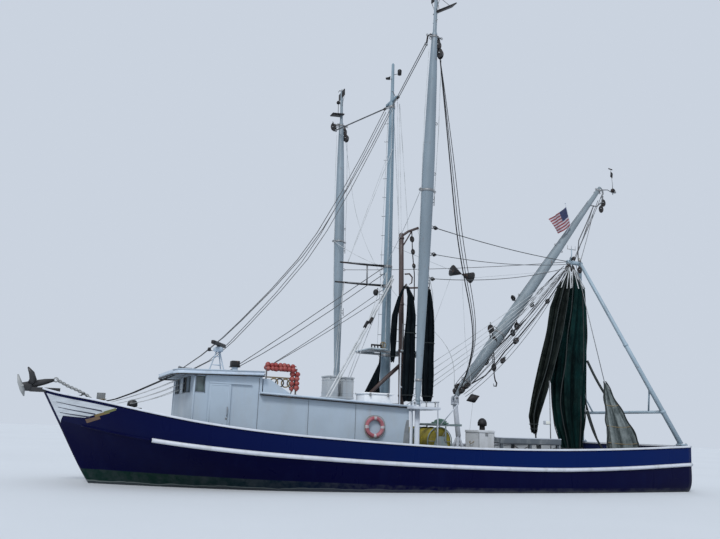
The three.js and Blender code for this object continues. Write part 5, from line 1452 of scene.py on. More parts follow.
# Outrigger steps and the beam between them: welded posts under a plate, two ears with the outrigger's pin,
# and two bollards on the plate. All of it is painted steel.
HEEL_X, HEEL_Y, HEEL_Z = -0.50, 3.50, 2.75
STEP_TOP, STEP_INNER = 2.64, 3.18
for sign, side in SIDES:
    steps = Shape()
    y_post = sign * (STEP_INNER + 0.06)
    y_low, y_high = sorted((sign * (STEP_INNER - 0.06), sign * (HEEL_Y + 0.09)))
    steps.slab((-0.68, y_low, STEP_TOP - 0.08), (0.29, y_high, STEP_TOP), 0.012)
    for x, radius in ((-0.59, 0.038), (-0.37, 0.082)):
        foot = deck_height(x, STEP_INNER + 0.06) - 0.01
        table = (
            (0, radius + 0.05), (0.015, radius + 0.05), (0.015, radius), (STEP_TOP - 0.06 - foot, radius),
        )
        steps.post((x, y_post, foot), table, 28)
    for dx in (-0.081, 0.081):
        x = HEEL_X + dx
        low, high = (
            x - 0.015, sign * HEEL_Y - 0.05, STEP_TOP - 0.02,
        ), (x + 0.015, sign * HEEL_Y + 0.05, HEEL_Z + 0.03)
        steps.slab(low, high, 0.004)
        ear = ((0, 0.01), (0, 0.05), (0.03, 0.05), (0.03, 0.01))
        steps.lathe((x - 0.015, sign * HEEL_Y, HEEL_Z), (9, sign * HEEL_Y, HEEL_Z), ear, 24)
    pin = (
        (0, 0.01), (0, 0.036), (0.02, 0.036), (0.02, 0.024), (0.22, 0.024), (0.22, 0.033), (0.24, 0.033),
        (0.24, 0.01),
    )
    steps.lathe((HEEL_X - 0.12, sign * HEEL_Y, HEEL_Z), (9, sign * HEEL_Y, HEEL_Z), pin, 24, tone=1)
    for x in (-0.20, 0.12):
        y_at = sign * (HEEL_Y + 0.03)
        steps.post(
            (x, y_at, STEP_TOP),
            ((0, 0.04), (0.01, 0.04), (0.01, 0.02), (0.12, 0.02), (0.13, 0.045), (0.16, 0.04), (0.17, 0.01)),
            16, tone=1,
        )
    place_piece(
        steps.made(f"outrigger_step_{side}_built", post_white, zinc), "hull_body", "white_paint",
        f"outrigger_step_{side}",
    )
beam = Shape()
beam.slab((0.21, -STEP_INNER + 0.0603, STEP_TOP - 0.09), (0.29, STEP_INNER - 0.0603, STEP_TOP + 0.03), 0.012)
place_piece(beam.made("outrigger_beam_bevelled", post_white), "hull_body", "white_paint", "outrigger_beam")

# Outriggers: long tubes that swell to their middle, with ring bands, cross bars with eyes, pads for the
# blocks, and a black reflector plate with its braces near the head.
OUTRIGGER_LENGTH = 14.1
NECK_FACES = ((0, 1, 2, 3), (4, 7, 6, 5), (0, 4, 5, 1), (1, 5, 6, 2), (2, 6, 7, 3), (3, 7, 4, 0))
OUTRIGGER_LEAN = math.atan2(0.87, 14.04)
OUTRIGGER_TABLE = (
    (0.10, 0.045), (0.15, 0.058), (0.33, 0.092), (0.70, 0.098), (1.6, 0.119), (2.5, 0.140), (3.65, 0.165),
    (4.8, 0.185), (5.9, 0.198), (7.0, 0.205), (8.15, 0.196), (9.3, 0.175), (10.1, 0.161), (10.9, 0.145),
    (11.7, 0.120), (12.5, 0.092), (12.56, 0.066), (14.09, 0.055), (14.10, 0.03),
)
outrigger_radius = piecewise(OUTRIGGER_TABLE)
for sign, side in SIDES:
    foot = Vector((HEEL_X, sign * HEEL_Y, HEEL_Z))
    run = Vector((0, sign * math.sin(OUTRIGGER_LEAN), math.cos(OUTRIGGER_LEAN)))
    inward = Vector((0, -sign * math.cos(OUTRIGGER_LEAN), math.sin(OUTRIGGER_LEAN)))
    fore = Vector((-1, 0, 0))
    spar = Shape()
    spar.lathe(foot, foot + run, OUTRIGGER_TABLE, 44)
    spar.lathe(foot, foot - fore, band(0.06, 0.026, 0.058), 28)
    neck = [
        foot + fore * a + inward * b + run * c
        for c in (0.045, 0.16)
        for a, b in ((-0.058, -0.05), (-0.058, 0.05), (0.058, 0.05), (0.058, -0.05))
    ]
    spar.add(neck, NECK_FACES)
    for d in (0.72, 6.93, 12.38):
        r = outrigger_radius(d)
        spar.lathe(foot + run * d, foot + run * (d + 1), band(0.04, r - 0.02, r + 0.012), 40, tone=1)
    for d, reach in ((12.385, 0.26), (6.935, 0.26)):
        at = foot + run * d
        spar.bar([at - fore * reach, at + fore * reach], 0.030, 12, tone=1)
        for end in (-1, 1):
            spar.ring(at + fore * end * (reach + 0.02), inward, 0.035, 0.012, steps=16, sides=8, tone=1)
    for d, out in ((7.55, 1), (6.95, -1), (9.3, 1), (12.30, -1)):
        r = outrigger_radius(d)
        pad = foot + run * d - fore * out * (r + 0.05)
        spar.ring(pad, inward, 0.04, 0.013, steps=16, sides=8, tone=1)
    face = foot + run * (OUTRIGGER_LENGTH - 0.18)
    plate = []
    for a in (-0.33, 0.33):
        for c in (-0.15, 0.15):
            plate += [face + inward * a + run * c + fore * 0.02, face + inward * a + run * c - fore * 0.02]
    spar.add(plate, BLOCK_FACES, 2)
    for a in (-0.31, 0.31):
        spar.bar([face + inward * a - run * 0.15, face + inward * a * 0.15 - run * 0.60], 0.012, 8, tone=1)
    cross = foot + run * 12.95
    spar.bar([cross - inward * 0.15, cross + inward * 0.15], 0.016, 8, tone=1)
    cap = foot + run * 14.09
    spar.ring(cap + run * 0.05, fore, 0.05, 0.014, steps=18, sides=8, tone=1)
    place_piece(
        spar.made(f"outrigger_{side}_spar", outrigger_coat, zinc, black_iron), f"outrigger_{side}",
        "spar_paint", f"outrigger_{side}",
    )

# Boom step and boom: a round post on three legs with a fork. The boom is a swelling tube on the fork's pin,
# with bands and eyes for its gear, a bent head and an arch of tube over the head blocks.
BOOM_HEEL, BOOM_TIP = Vector((2.93, 0, 3.16)), Vector((10.28, 0, 12.72))
KNEE = (3.08, 0, 1.80)
FORK_ROUND = 0.09
step = Shape()
for x, y in ((2.75, -0.42), (2.75, 0.42), (3.56, 0)):
    foot_z = deck_height(x, abs(y)) - 0.02
    length = (Vector(KNEE) - Vector((x, y, 0.65))).length
    start = Vector((x, y, 0.65)) + (Vector(KNEE) - Vector((x, y, 0.65))) * ((foot_z - 0.65) / 1.15)
    step.lathe(start, KNEE, ((0, 0.055), ((Vector(KNEE) - start).length, 0.055)), 20)
    pad_z = foot_z + 0.005
    step.post((start.x, start.y, pad_z), ((0, 0.02), (0, 0.12), (0.03, 0.12), (0.03, 0.02)), 20)
step.lathe(KNEE, (2.93, 0, 2.99), ((-0.10, 0.06), (-0.05, 0.095), (1.20, 0.095)), 32)
step.post((2.93, 0, 2.89), ((0, 0.10), (0.02, 0.15), (0.09, 0.15), (0.10, 0.12)), 32)
for sign in (-1, 1):
    outline = [(2.84, 2.90), (3.02, 2.90), (3.02, 3.17)] + [
        (BOOM_HEEL.x + FORK_ROUND * math.cos(a), BOOM_HEEL.z + FORK_ROUND * math.sin(a))
        for a in (math.radians(t) for t in range(10, 171, 20))
    ] + [(2.84, 3.17)]
    step.plate(outline, sign * 0.117, 0.034)
pin = (
    (0, 0.01), (0, 0.045), (0.025, 0.045), (0.025, 0.030), (0.30, 0.030), (0.30, 0.042), (0.325, 0.042),
    (0.325, 0.01),
)
step.lathe((2.93, -0.1625, 3.16), (2.93, 9, 3.16), pin, 24, tone=1)
place_piece(step.made("boom_step_built", post_white, zinc), "hull_body", "white_paint", "boom_step")

boom_run = (BOOM_TIP - BOOM_HEEL).normalized()
boom_side = Vector((0, 1, 0))
boom_up = boom_side.cross(boom_run) * -1
BOOM_LENGTH = (BOOM_TIP - BOOM_HEEL).length
BOOM_TABLE = (
    (0.11, 0.06), (0.18, 0.088), (0.70, 0.160), (1.9, 0.205), (3.2, 0.235), (4.4, 0.232), (5.6, 0.220),
    (6.9, 0.200), (8.2, 0.175), (9.2, 0.149), (10.2, 0.120), (BOOM_LENGTH - 0.01, 0.090), (BOOM_LENGTH, 0.06),
)
boom_radius = piecewise(BOOM_TABLE)


def on_boom(d, up=0.0, side=0.0):
    """A point at a distance up the boom, off its axis by up and side."""
    return BOOM_HEEL + boom_run * d + boom_up * up + boom_side * side


boom = Shape()
boom.lathe(BOOM_HEEL, BOOM_TIP, BOOM_TABLE, 48)
boom.lathe(
    BOOM_HEEL - boom_side * 0.07, BOOM_HEEL + boom_side,
    ((0, 0.032), (0, 0.068), (0.14, 0.068), (0.14, 0.032)), 28,
)
neck = [
    on_boom(c, a, b)
    for c in (0.05, 0.20)
    for a, b in ((-0.06, -0.068), (-0.06, 0.068), (0.06, 0.068), (0.06, -0.068))
]
boom.add(neck, NECK_FACES)
for d in (0.8, 3.25, 5.2, 8.2, 11.85):
    r = boom_radius(d)
    if d in (0.8, 3.25, 11.85):
        boom.lathe(on_boom(d), on_boom(d + 1), band(0.045, r - 0.02, r + 0.014), 40, tone=1)
    boom.ring(on_boom(d, -(r + 0.04)), boom_side, 0.035, 0.012, steps=16, sides=8, tone=1)
    boom.ring(on_boom(d, r + 0.04), boom_side, 0.035, 0.012, steps=16, sides=8, tone=1)
boom.bar([on_boom(BOOM_LENGTH - 0.22, 0, -0.22), on_boom(BOOM_LENGTH - 0.22, 0, 0.22)], 0.045, 14, tone=1)
head = [
    on_boom(BOOM_LENGTH - 0.05), on_boom(BOOM_LENGTH + 0.02, -0.14), on_boom(BOOM_LENGTH - 0.10, -0.27),
    on_boom(BOOM_LENGTH - 0.35, -0.30),
]
boom.bar(head, (0.045, 0.045, 0.038, 0.03), 14, tone=1)
arch = [
    on_boom(BOOM_LENGTH - 1.05, -0.10), on_boom(BOOM_LENGTH - 0.85, -0.36),
    on_boom(BOOM_LENGTH - 0.50, -0.44), on_boom(BOOM_LENGTH - 0.20, -0.34),
]
boom.bar(arch, 0.028, 12, tone=1)
for d, drop in ((BOOM_LENGTH - 0.30, 0.42), (BOOM_LENGTH - 0.62, 0.50)):
    block(boom, on_boom(d, -drop) - Vector((0, 0, 0.18)), (0, 0, -1), 0.26)
block(boom, on_boom(4.1, -(boom_radius(4.1) + 0.20)), (0, 0, -1), 0.26)
block(boom, on_boom(3.75, -(boom_radius(3.75) + 0.22)), (0.2, 0, -1), 0.24)
block(boom, on_boom(4.9, boom_radius(4.9) + 0.16), (-0.6, 0, 0.6), 0.20)
lamp(boom, tuple(on_boom(4.9, boom_radius(4.9) + 0.02, 0.12)), 0.16)
place_piece(boom.made("boom_spar", boom_coat, zinc, black_iron, lamp_glass), "boom", "spar_paint", "boom")

# Nets hang gathered from their blocks: each is a loose sleeve of dark twine in soft folds, with its rope
# bindings. A sleeve follows rows of x, y, z, half length and half breadth, and its folds run down it,
# deeper where it is full.
NET_DARK = (0.0012, 0.006, 0.007, 1)
NET_TEAL = (0.0028, 0.026, 0.026, 1)
NET_BLEACHED_AND_LIT = (0.020, 0.046, 0.040, 1)


def twine(name, dark, fresh, bleached_and_lit, mesh_size, fade):
    """Knotted twine from a step away: a lattice in relief, clumps of shadow, and painted light on its folds.
    """
    material, tree, shader, place = finish(name, Roughness=0.95)
    shader.inputs["Specular IOR Level"].default_value = 0.06
    clumps = speckle(tree, place, 2.4, 6, 0.65, (1, 1, 0.22))
    tone = mixed(tree, between(tree, clumps, 0.42, 0.68), dark, fresh)
    ridge = node(tree, "ShaderNodeAttribute", {"attribute_name": "fold"}).outputs["Fac"]
    # Lighter in patches on the fold ridges: painted highlight, with some sun-bleaching.
    ridge_highlight_and_bleach = sums(
        tree, "MULTIPLY", between(tree, ridge, 0.35, 1.0),
        between(tree, speckle(tree, place, 3.1, 5), 0.35, 0.65),
    )
    tone = mixed(tree, sums(tree, "MULTIPLY", ridge_highlight_and_bleach, fade), tone, bleached_and_lit)
    # Darker in the fold valleys: painted shade.
    fold_valley_shade = between(tree, ridge, 0.5, 0.0, 0, 0.75)
    tone = mixed(tree, fold_valley_shade, tone, tuple(c * 0.3 for c in dark[:3]) + (1,))
    strings = speckle(tree, place, 30, 6, 0.75, (1, 1, 0.10))
    tone = mixed(tree, between(tree, strings, 0.52, 0.72, 0, 0.5), tone, bleached_and_lit)
    give(tree, shader, "Base Color", tone)
    axes = node(tree, "ShaderNodeSeparateXYZ", Vector=place)
    lattice = None
    for slant in (1, -1):
        run = sums(tree, "ADD", axes.outputs[0], axes.outputs[1])
        run = sums(tree, "ADD", run, sums(tree, "MULTIPLY", axes.outputs[2], slant * 0.45))
        bars = sums(
            tree, "ABSOLUTE",
            sums(tree, "SUBTRACT", sums(tree, "FRACT", sums(tree, "DIVIDE", run, mesh_size)), 0.5),
        )
        lattice = bars if lattice is None else sums(tree, "MAXIMUM", lattice, bars)
    relief(tree, shader, lattice, 0.55, 0.012)
    relief(tree, shader, strings, 0.8, 0.03)
    return material


net_twine = twine("net_twine", NET_DARK, NET_TEAL, NET_BLEACHED_AND_LIT, 0.05, 0.55)
net_pale = twine(
    "net_twine_pale", (0.0014, 0.0024, 0.0024, 1), (0.0045, 0.0085, 0.0085, 1), (0.036, 0.044, 0.038, 1),
    0.05, 0.75,
)
net_black = twine(
    "net_twine_black", (0.0014, 0.0026, 0.0045, 1), (0.0040, 0.0085, 0.0115, 1), (0.020, 0.028, 0.032, 1),
    0.05, 0.35,
)
webbing_twine = twine(
    "webbing_twine", (0.055, 0.070, 0.070, 1), (0.16, 0.19, 0.19, 1), (0.36, 0.40, 0.40, 1), 0.09, 0.8
)

dark_rope = two_tone(
    "dark_rope", (0.008, 0.012, 0.014, 1), (0.035, 0.045, 0.045, 1), (45, 4), None, (0.5, 0.006),
    Roughness=0.9,
)


def row_at(table, z):
    """x, y, half length and half breadth of a sleeve at a height."""
    rows = sorted(table, key=lambda r: r[2])
    heights = [r[2] for r in rows]
    return [float(np.interp(z, heights, [r[k] for r in rows])) for k in (0, 1, 3, 4)]


def sleeve(name, table, folds, seed, materials, top, bottom, around=96, layers=110, hem=0.10, uneven=1.0):
    """An open sleeve of netting through the table's rows, with folds that wander as they run down."""
    points, ridges = [], []
    for i in range(layers + 1):
        share = i / layers
        z = top + (bottom - top) * share
        x, y, a, b = row_at(table, z)
        full = min((a + b) / 0.6, 1)
        for j in range(around):
            angle = 2 * math.pi * j / around
            at = Vector((math.cos(angle) * 1.1, math.sin(angle) * 1.1, seed))
            drift = noise.noise(at + Vector((0, 0, z * 0.16))) * 1.1
            wave = math.cos(folds * (angle + 0.35 * drift) + 1.6 * noise.noise(Vector((seed, z * 0.35, 3))))
            small = math.cos((2 * folds + 3) * (angle + 0.25 * drift) + z * 0.5)
            pleat = 0.62 * wave + 0.38 * small
            lump = noise.noise(Vector((at.x * 1.6, at.y * 1.6, z * 0.8 + seed)))
            sag = noise.noise(Vector((at.x * 0.8, at.y * 0.8, z * 0.33 + 7 * seed)))
            swell = 0.86 + 0.17 * pleat * (0.35 + 0.65 * full) + uneven * (0.10 * lump + 0.12 * sag)
            drop = hem * max(share - 0.85, 0) / 0.15 * noise.noise(Vector((at.x * 2.2, at.y * 2.2, seed + 9)))
            points.append((x + a * swell * math.cos(angle), y + b * swell * math.sin(angle), z + drop))
            ridges.append(0.5 + 0.5 * pleat)
    faces = []
    for i in range(layers):
        for j in range(around):
            k = (j + 1) % around
            faces.append((i * around + j, (i + 1) * around + j, (i + 1) * around + k, i * around + k))
    mesh = solid_mesh(name, points, faces)
    mesh.attributes.new("fold", "FLOAT", "POINT").data.foreach_set("value", ridges)
    return link(name, mesh, *materials)


NET_MAIN = (
    (8.68, 0, 8.76, 0.05, 0.05), (8.70, 0, 8.50, 0.09, 0.09), (8.74, 0, 8.24, 0.21, 0.18),
    (8.77, 0, 8.00, 0.41, 0.30), (8.68, 0, 7.00, 0.56, 0.37), (8.54, 0, 5.90, 0.66, 0.43),
    (8.40, 0, 5.00, 0.74, 0.45), (8.30, 0, 4.10, 0.80, 0.46), (8.26, 0, 3.10, 0.79, 0.45),
    (8.26, 0, 2.30, 0.68, 0.43), (8.32, 0, 1.55, 0.46, 0.37), (8.38, 0, 0.85, 0.26, 0.26),
)
NET_FORWARD = (
    (8.28, -0.15, 8.76, 0.04, 0.04), (8.14, -0.28, 8.40, 0.09, 0.08), (7.82, -0.41, 7.88, 0.30, 0.18),
    (7.48, -0.48, 7.00, 0.42, 0.23), (7.24, -0.50, 6.00, 0.42, 0.24), (6.96, -0.52, 5.10, 0.40, 0.24),
    (6.66, -0.55, 4.20, 0.36, 0.23), (6.32, -0.58, 3.25, 0.31, 0.21), (6.08, -0.62, 2.60, 0.24, 0.18),
    (6.04, -0.65, 2.20, 0.15, 0.13), (6.06, -0.65, 1.90, 0.10, 0.09),
)
APRON = (
    (8.80, -1.50, 4.06, 0.04, 0.03), (8.98, -1.62, 3.20, 0.33, 0.05), (9.20, -1.76, 2.30, 0.64, 0.08),
    (9.30, -1.84, 1.70, 0.78, 0.11), (9.30, -1.86, 0.90, 0.70, 0.16),
)
STOWED_ROWS = (
    (7.05, 0.045, 0.045), (6.75, 0.13, 0.10), (6.20, 0.20, 0.14), (5.20, 0.24, 0.17), (3.90, 0.26, 0.18),
    (3.20, 0.24, 0.17), (2.84, 0.15, 0.12),
)
main_net = sleeve("net_main_hung", NET_MAIN, 9, 3.1, (net_twine,), 8.72, 0.93)
forward_net = sleeve("net_forward_hung", NET_FORWARD, 6, 5.7, (net_pale,), 8.72, 1.95)
apron_net = sleeve("net_apron_hung", APRON, 5, 1.3, (webbing_twine,), 3.98, 0.97, 72, 60, 0.05)
FORE_STOWED = (
    (0.24, -1.08, 7.05, 0.045, 0.045), (0.40, -1.08, 6.65, 0.13, 0.10), (0.46, -1.07, 5.90, 0.19, 0.15),
    (0.44, -1.06, 4.80, 0.21, 0.16), (0.40, -1.07, 3.80, 0.24, 0.17), (0.38, -1.08, 3.15, 0.22, 0.16),
    (0.37, -1.08, 2.84, 0.14, 0.11),
)
TAIL_STOWED = (
    (0.20, -1.06, 7.05, 0.035, 0.035), (-0.02, -1.05, 6.55, 0.07, 0.06), (-0.17, -1.03, 5.90, 0.12, 0.10),
    (-0.21, -1.02, 5.05, 0.14, 0.11), (-0.22, -1.02, 4.45, 0.10, 0.09), (-0.22, -1.02, 4.20, 0.06, 0.05),
)
AFT_STOWED = [(1.18, -1.04, *row) for row in STOWED_ROWS]
stowed_nets = [
    sleeve(f"net_stowed_{where}_hung", table, folds, seed, (net_black,), 7.0, bottom, 64, 80, 0.06, 2.2)
    for where, table, folds, seed, bottom in (
        ("forward", FORE_STOWED, 5, 8.4, 2.90), ("after", AFT_STOWED, 5, 2.2, 2.90),
        ("tail", TAIL_STOWED, 3, 6.6, 4.24),
    )
]
ROOF_NET = (
    (-0.51, -0.60, 4.60, 0.020, 0.020), (-0.52, -0.60, 4.20, 0.040, 0.030), (-0.66, -0.58, 3.65, 0.17, 0.08),
    (-0.80, -0.56, 3.04, 0.35, 0.12),
)
roof_net = sleeve("net_platform_hung", ROOF_NET, 5, 4.6, (net_black,), 4.60, 3.03, 60, 40, 0.04)
place_piece(roof_net, "hull_body", "net_twine")
for piece, nodes in (
    (main_net, ("net_main",)), (forward_net, ("net_forward",)), (apron_net, ("net_apron",)),
    (stowed_nets[0], ("net_stowed_forward",)), (stowed_nets[1], ("net_stowed_after",)), (stowed_nets[2], ()),
):
    place_piece(piece, "hull_body", "webbing" if piece is apron_net else "net_twine", *nodes)


def ellipse_line(table, z, swell, steps=40):
    """Points round a sleeve at a height, a little outside its folds."""
    x, y, a, b = row_at(table, z)
    turns = (2 * math.pi * k / steps for k in range(steps))
    return [(x + a * swell * math.cos(t), y + b * swell * math.sin(t), z) for t in turns]


# Bindings, head ropes and the lines that hang in each net: rope rings at the gathers, float and lead lines
# down the folds, and loose bights and tails of rope at the foot.
rigging = Shape()


def rope_ring(points, radius, tone=0, sides=8):
    """A closed ring of rope through points."""
    ring = [Vector(p) for p in points]
    middle = sum(ring, Vector()) / len(ring)
    rings = []
    for i, p in enumerate(ring):
        run = (ring[(i + 1) % len(ring)] - ring[i - 1]).normalized()
        out = (p - middle).normalized()
        other = run.cross(out)
        rings += [
            p + (out * math.cos(a) + other * math.sin(a)) * radius
            for a in (2 * math.pi * k / sides for k in range(sides))
        ]
    count = len(ring)
    faces = [
        (
            i * sides + j, ((i + 1) % count) * sides + j, ((i + 1) % count) * sides + (j + 1) % sides,
            i * sides + (j + 1) % sides,
        )
        for i in range(count)
        for j in range(sides)
    ]
    rigging.add(rings, faces, tone)


for table, heights, radius in (
    (NET_MAIN, (8.66, 8.52, 1.42, 1.36), 0.022), (NET_FORWARD, (8.62, 8.50, 2.30, 2.12), 0.018),
    (FORE_STOWED, (6.96, 5.3, 3.10), 0.014), (AFT_STOWED, (6.96, 5.0, 3.10), 0.014),
    (TAIL_STOWED, (6.90, 4.42), 0.012),
):
    for z in heights:
        rope_ring(ellipse_line(table, z, 1.02), radius)
for table, angle, top, bottom, radius, seed in (
    (NET_MAIN, -2.4, 8.6, 1.3, 0.020, 1), (NET_MAIN, -1.2, 8.6, 1.0, 0.024, 2),
    (NET_MAIN, -0.3, 8.6, 1.1, 0.020, 3), (NET_MAIN, 1.6, 8.6, 1.2, 0.020, 4),
    (NET_MAIN, 2.9, 8.6, 1.2, 0.018, 9), (NET_FORWARD, -2.0, 8.6, 2.0, 0.018, 5),
    (NET_FORWARD, -0.9, 8.6, 2.0, 0.016, 6), (NET_FORWARD, 2.0, 8.6, 2.0, 0.016, 7),
):
    line = []
    for i in range(44):
        z = top + (bottom - top) * i / 43
        x, y, a, b = row_at(table, z)
        swing = angle + 0.30 * noise.noise(Vector((seed, z * 0.5, 0)))
        out = 1.0 + 0.05 * noise.noise(Vector((z * 0.9, seed, 5)))
        line.append((x + a * out * math.cos(swing), y + b * out * math.sin(swing), z))
    rigging.bar(line, radius, 8)
for start, end, radius, belly in (
    ((8.83, 0.1, 4.96), (9.73, 0.1, 1.83), 0.035, 0.10),
    ((8.70, 0.25, 4.0), (9.25, 0.3, 1.15), 0.028, 0.08),
    ((6.12, -0.65, 1.95), (6.30, -0.70, 1.02), 0.030, 0.05),
    ((8.42, -0.05, 1.02), (8.75, -0.35, 0.96), 0.035, 0.10),
    ((8.98, -0.34, 4.95), (9.62, -1.66, 2.60), 0.050, 0.14),
    ((8.86, -0.36, 2.90), (9.24, -1.10, 1.10), 0.040, 0.12),
):
    start, end = Vector(start), Vector(end)
    sag = [
        start.lerp(end, i / 14) + Vector((-1, 0, -0.4)) * belly * math.sin(math.pi * i / 14)
        for i in range(15)
    ]
    rigging.bar(sag, radius, 8)
for edge in (-0.97, 0.97):
    line = []
    for i in range(26):
        z = 4.05 + (0.98 - 4.05) * i / 25
        x, y, a, b = row_at(APRON, z)
        line.append((x + a * edge + 0.04 * math.sin(i * 0.9), y - b * 0.5, z))
    rigging.bar(line, 0.026, 8)
for z in (3.15, 2.35, 1.72):
    x, y, a, b = row_at(APRON, z)
    line = [
        (
            x + a * (k / 8) * 0.95, y - b * math.sqrt(max(1 - (k / 8) ** 2, 0.02)) * 1.02,
            z - 0.05 * (1 - (k / 8) ** 2),
        )
        for k in range(-8, 9)
    ]
    rigging.bar(line, 0.014, 8, tone=1)
place_piece(rigging.made("net_ropes", dark_rope, rope_tan), "hull_body", "net_twine")

# Stern gallows: two steel tubes that lean together into one head bar with its blocks, a crossbar with
# struts between them, and bolted feet on the after deck.
FOOT_X, FOOT_Y, FOOT_Z = 11.25, 2.85, 1.70
APEX_X, APEX_Z = 9.04, 9.15
CROSSBAR_Z = 2.95


def on_leg(z, sign):
    part = (APEX_Z - z) / (APEX_Z - FOOT_Z)
    return Vector((APEX_X + (FOOT_X - APEX_X) * part, sign * FOOT_Y * part, z))


gallows = Shape()
for sign in (-1, 1):
    length = (on_leg(APEX_Z, sign) - on_leg(FOOT_Z + 0.05, sign)).length
    taper = ((0, 0.095), (length * 0.5, 0.085), (length, 0.070), (length + 0.04, 0.03))
    gallows.lathe(on_leg(FOOT_Z + 0.05, sign), on_leg(APEX_Z, sign), taper, 32)
    for z in (2.95, 5.6):
        r = 0.095 - 0.025 * (z - FOOT_Z) / (APEX_Z - FOOT_Z)
        run = (on_leg(APEX_Z, sign) - on_leg(FOOT_Z, sign)).normalized()
        gallows.lathe(on_leg(z, sign), on_leg(z, sign) + run, band(0.06, r - 0.01, r + 0.014), 32)
    low = (FOOT_X - 0.15, sign * FOOT_Y - 0.15, FOOT_Z + 0.0003)
    gallows.slab(low, (FOOT_X + 0.15, sign * FOOT_Y + 0.15, FOOT_Z + 0.06), 0.008)
    for dx in (-0.11, 0.11):
        for dy in (-0.11, 0.11):
            bolt = ((0, 0.02), (0.018, 0.02), (0.02, 0.013), (0.04, 0.013), (0.042, 0.004))
            top = (FOOT_X + dx, sign * FOOT_Y + dy, FOOT_Z + 0.058)
            gallows.lathe(top, (top[0], top[1], 9), bolt, 6, tone=1)
    brace_low = on_leg(CROSSBAR_Z, sign) + Vector((0, -sign * 0.75, 0))
    gallows.bar([brace_low, on_leg(CROSSBAR_Z + 0.95, sign)], 0.035, 14)
gallows.bar([on_leg(CROSSBAR_Z, -1), on_leg(CROSSBAR_Z, 1)], 0.060, 24)
head = ((0, 0.03), (0.01, 0.09), (0.76, 0.09), (0.77, 0.03))
gallows.lathe((8.35, 0, 9.11), (9, 0, 9.11), head, 32)
gallows.bar([(8.45, 0, 9.03), (9.02, 0, 8.55)], 0.035, 14)
for x, y in ((8.64, 0), (8.34, -0.15)):
    gallows.bar([(x, y * 0.4, 9.05), (x, y, 8.93)], 0.030, 12, tone=1)
    block(gallows, (x, y, 8.84), (0, 0, -1), 0.24)
for x, y, z, size in (
    (8.44, 0.10, 8.86, 0.22), (8.90, -0.14, 8.80, 0.24), (8.88, 0.15, 8.72, 0.22), (8.54, -0.05, 9.25, 0.14)
):
    block(gallows, (x, y, z), (0, 0, -1) if z < 9.1 else (-0.5, 0, 0.6), size)
gallows.bar([(8.80, -0.03, 9.05), (8.80, -1.50, 4.06)], 0.016, 10, tone=1)

# Short aerial mast to port of the head, clear of the boom, a black signal ball, and an anchor lamp
AERIAL_Y = -0.28
gallows.bar(
    [(8.42, -0.04, 9.12), (8.40, -0.20, 9.24), (8.38, AERIAL_Y, 9.36), (8.38, AERIAL_Y, 9.62)], 0.022, 12
)
gallows.bar([(8.16, AERIAL_Y, 9.60), (8.60, AERIAL_Y, 9.60)], 0.014, 10, tone=1)
for dx in (-0.20, 0, 0.20):
    gallows.bar([(8.38 + dx, AERIAL_Y, 9.60), (8.38 + dx, AERIAL_Y, 9.76)], 0.008, 8, tone=1)
gallows.ball((8.72, 0, 9.31), 0.085, 1, 12, 22, tone=2)
gallows.bar([(8.72, 0, 9.20), (8.72, 0, 9.24)], 0.012, 8, tone=1)
lamp(gallows, (9.02, 0, 9.20), 0.15)
place_piece(
    gallows.made("gallows_built", gallows_coat, zinc, black_iron, lamp_glass), "hull_body", "spar_paint",
    "gallows",
)

# Node trees for what repeats or follows a path: cordage along runs of points, chain links along a run, and
# bolt heads set on a surface. Each has named inputs for its sizes and ends in plain mesh.
TREE_SOCKETS = {float: "NodeSocketFloat", int: "NodeSocketInt"}


def growth_tree(name, sizes, material):
    """A modifier tree: returns the tree, its inputs by name, and the socket that takes the result."""
    tree = bpy.data.node_groups.new(name, "GeometryNodeTree")
    tree.interface.new_socket("Geometry", in_out="INPUT", socket_type="NodeSocketGeometry")
    for label, value in sizes.items():
        made = tree.interface.new_socket(label, in_out="INPUT", socket_type=TREE_SOCKETS[type(value)])
        made.default_value = value
    tree.interface.new_socket("Geometry", in_out="OUTPUT", socket_type="NodeSocketGeometry")
    entry = tree.nodes.new("NodeGroupInput")
    plain = node(tree, "GeometryNodeRealizeInstances")
    coat = node(tree, "GeometryNodeSetMaterial", Geometry=plain.outputs[0], Material=material)
    smooth = node(tree, "GeometryNodeSetShadeSmooth", Geometry=coat.outputs[0])
    leaving = tree.nodes.new("NodeGroupOutput")
    tree.links.new(smooth.outputs[0], leaving.inputs[0])
    return tree, entry.outputs, plain.inputs["Geometry"]


def grow(name, mesh, tree, sizes, material):
    """Runs a tree on a mesh with the sizes, and links the plain mesh that comes out."""
    seed = link(name + "_seed", mesh)
    modifier = seed.modifiers.new("growth", "NODES")
    modifier.node_group = tree
    for socket in tree.interface.items_tree:
        if socket.item_type == "SOCKET" and socket.in_out == "INPUT" and socket.name in sizes:
            modifier[socket.identifier] = sizes[socket.name]
    made = link(name, evaluated(seed, name))
    made.data.materials.clear()
    made.data.materials.append(material)
    return made


def run_mesh(name, runs):
    """Edges through each run of points; a run is a list of points and a radius, kept as a point attribute."""
    points, edges, thick = [], [], []
    for run, radius in runs:
        edges += [(len(points) + i, len(points) + i + 1) for i in range(len(run) - 1)]
        points += [tuple(p) for p in run]
        thick += [radius] * len(run)
    mesh = bpy.data.meshes.new(name)
    mesh.from_pydata(points, edges, [])
    mesh.attributes.new("thick", "FLOAT", "POINT").data.foreach_set("value", thick)
    return mesh


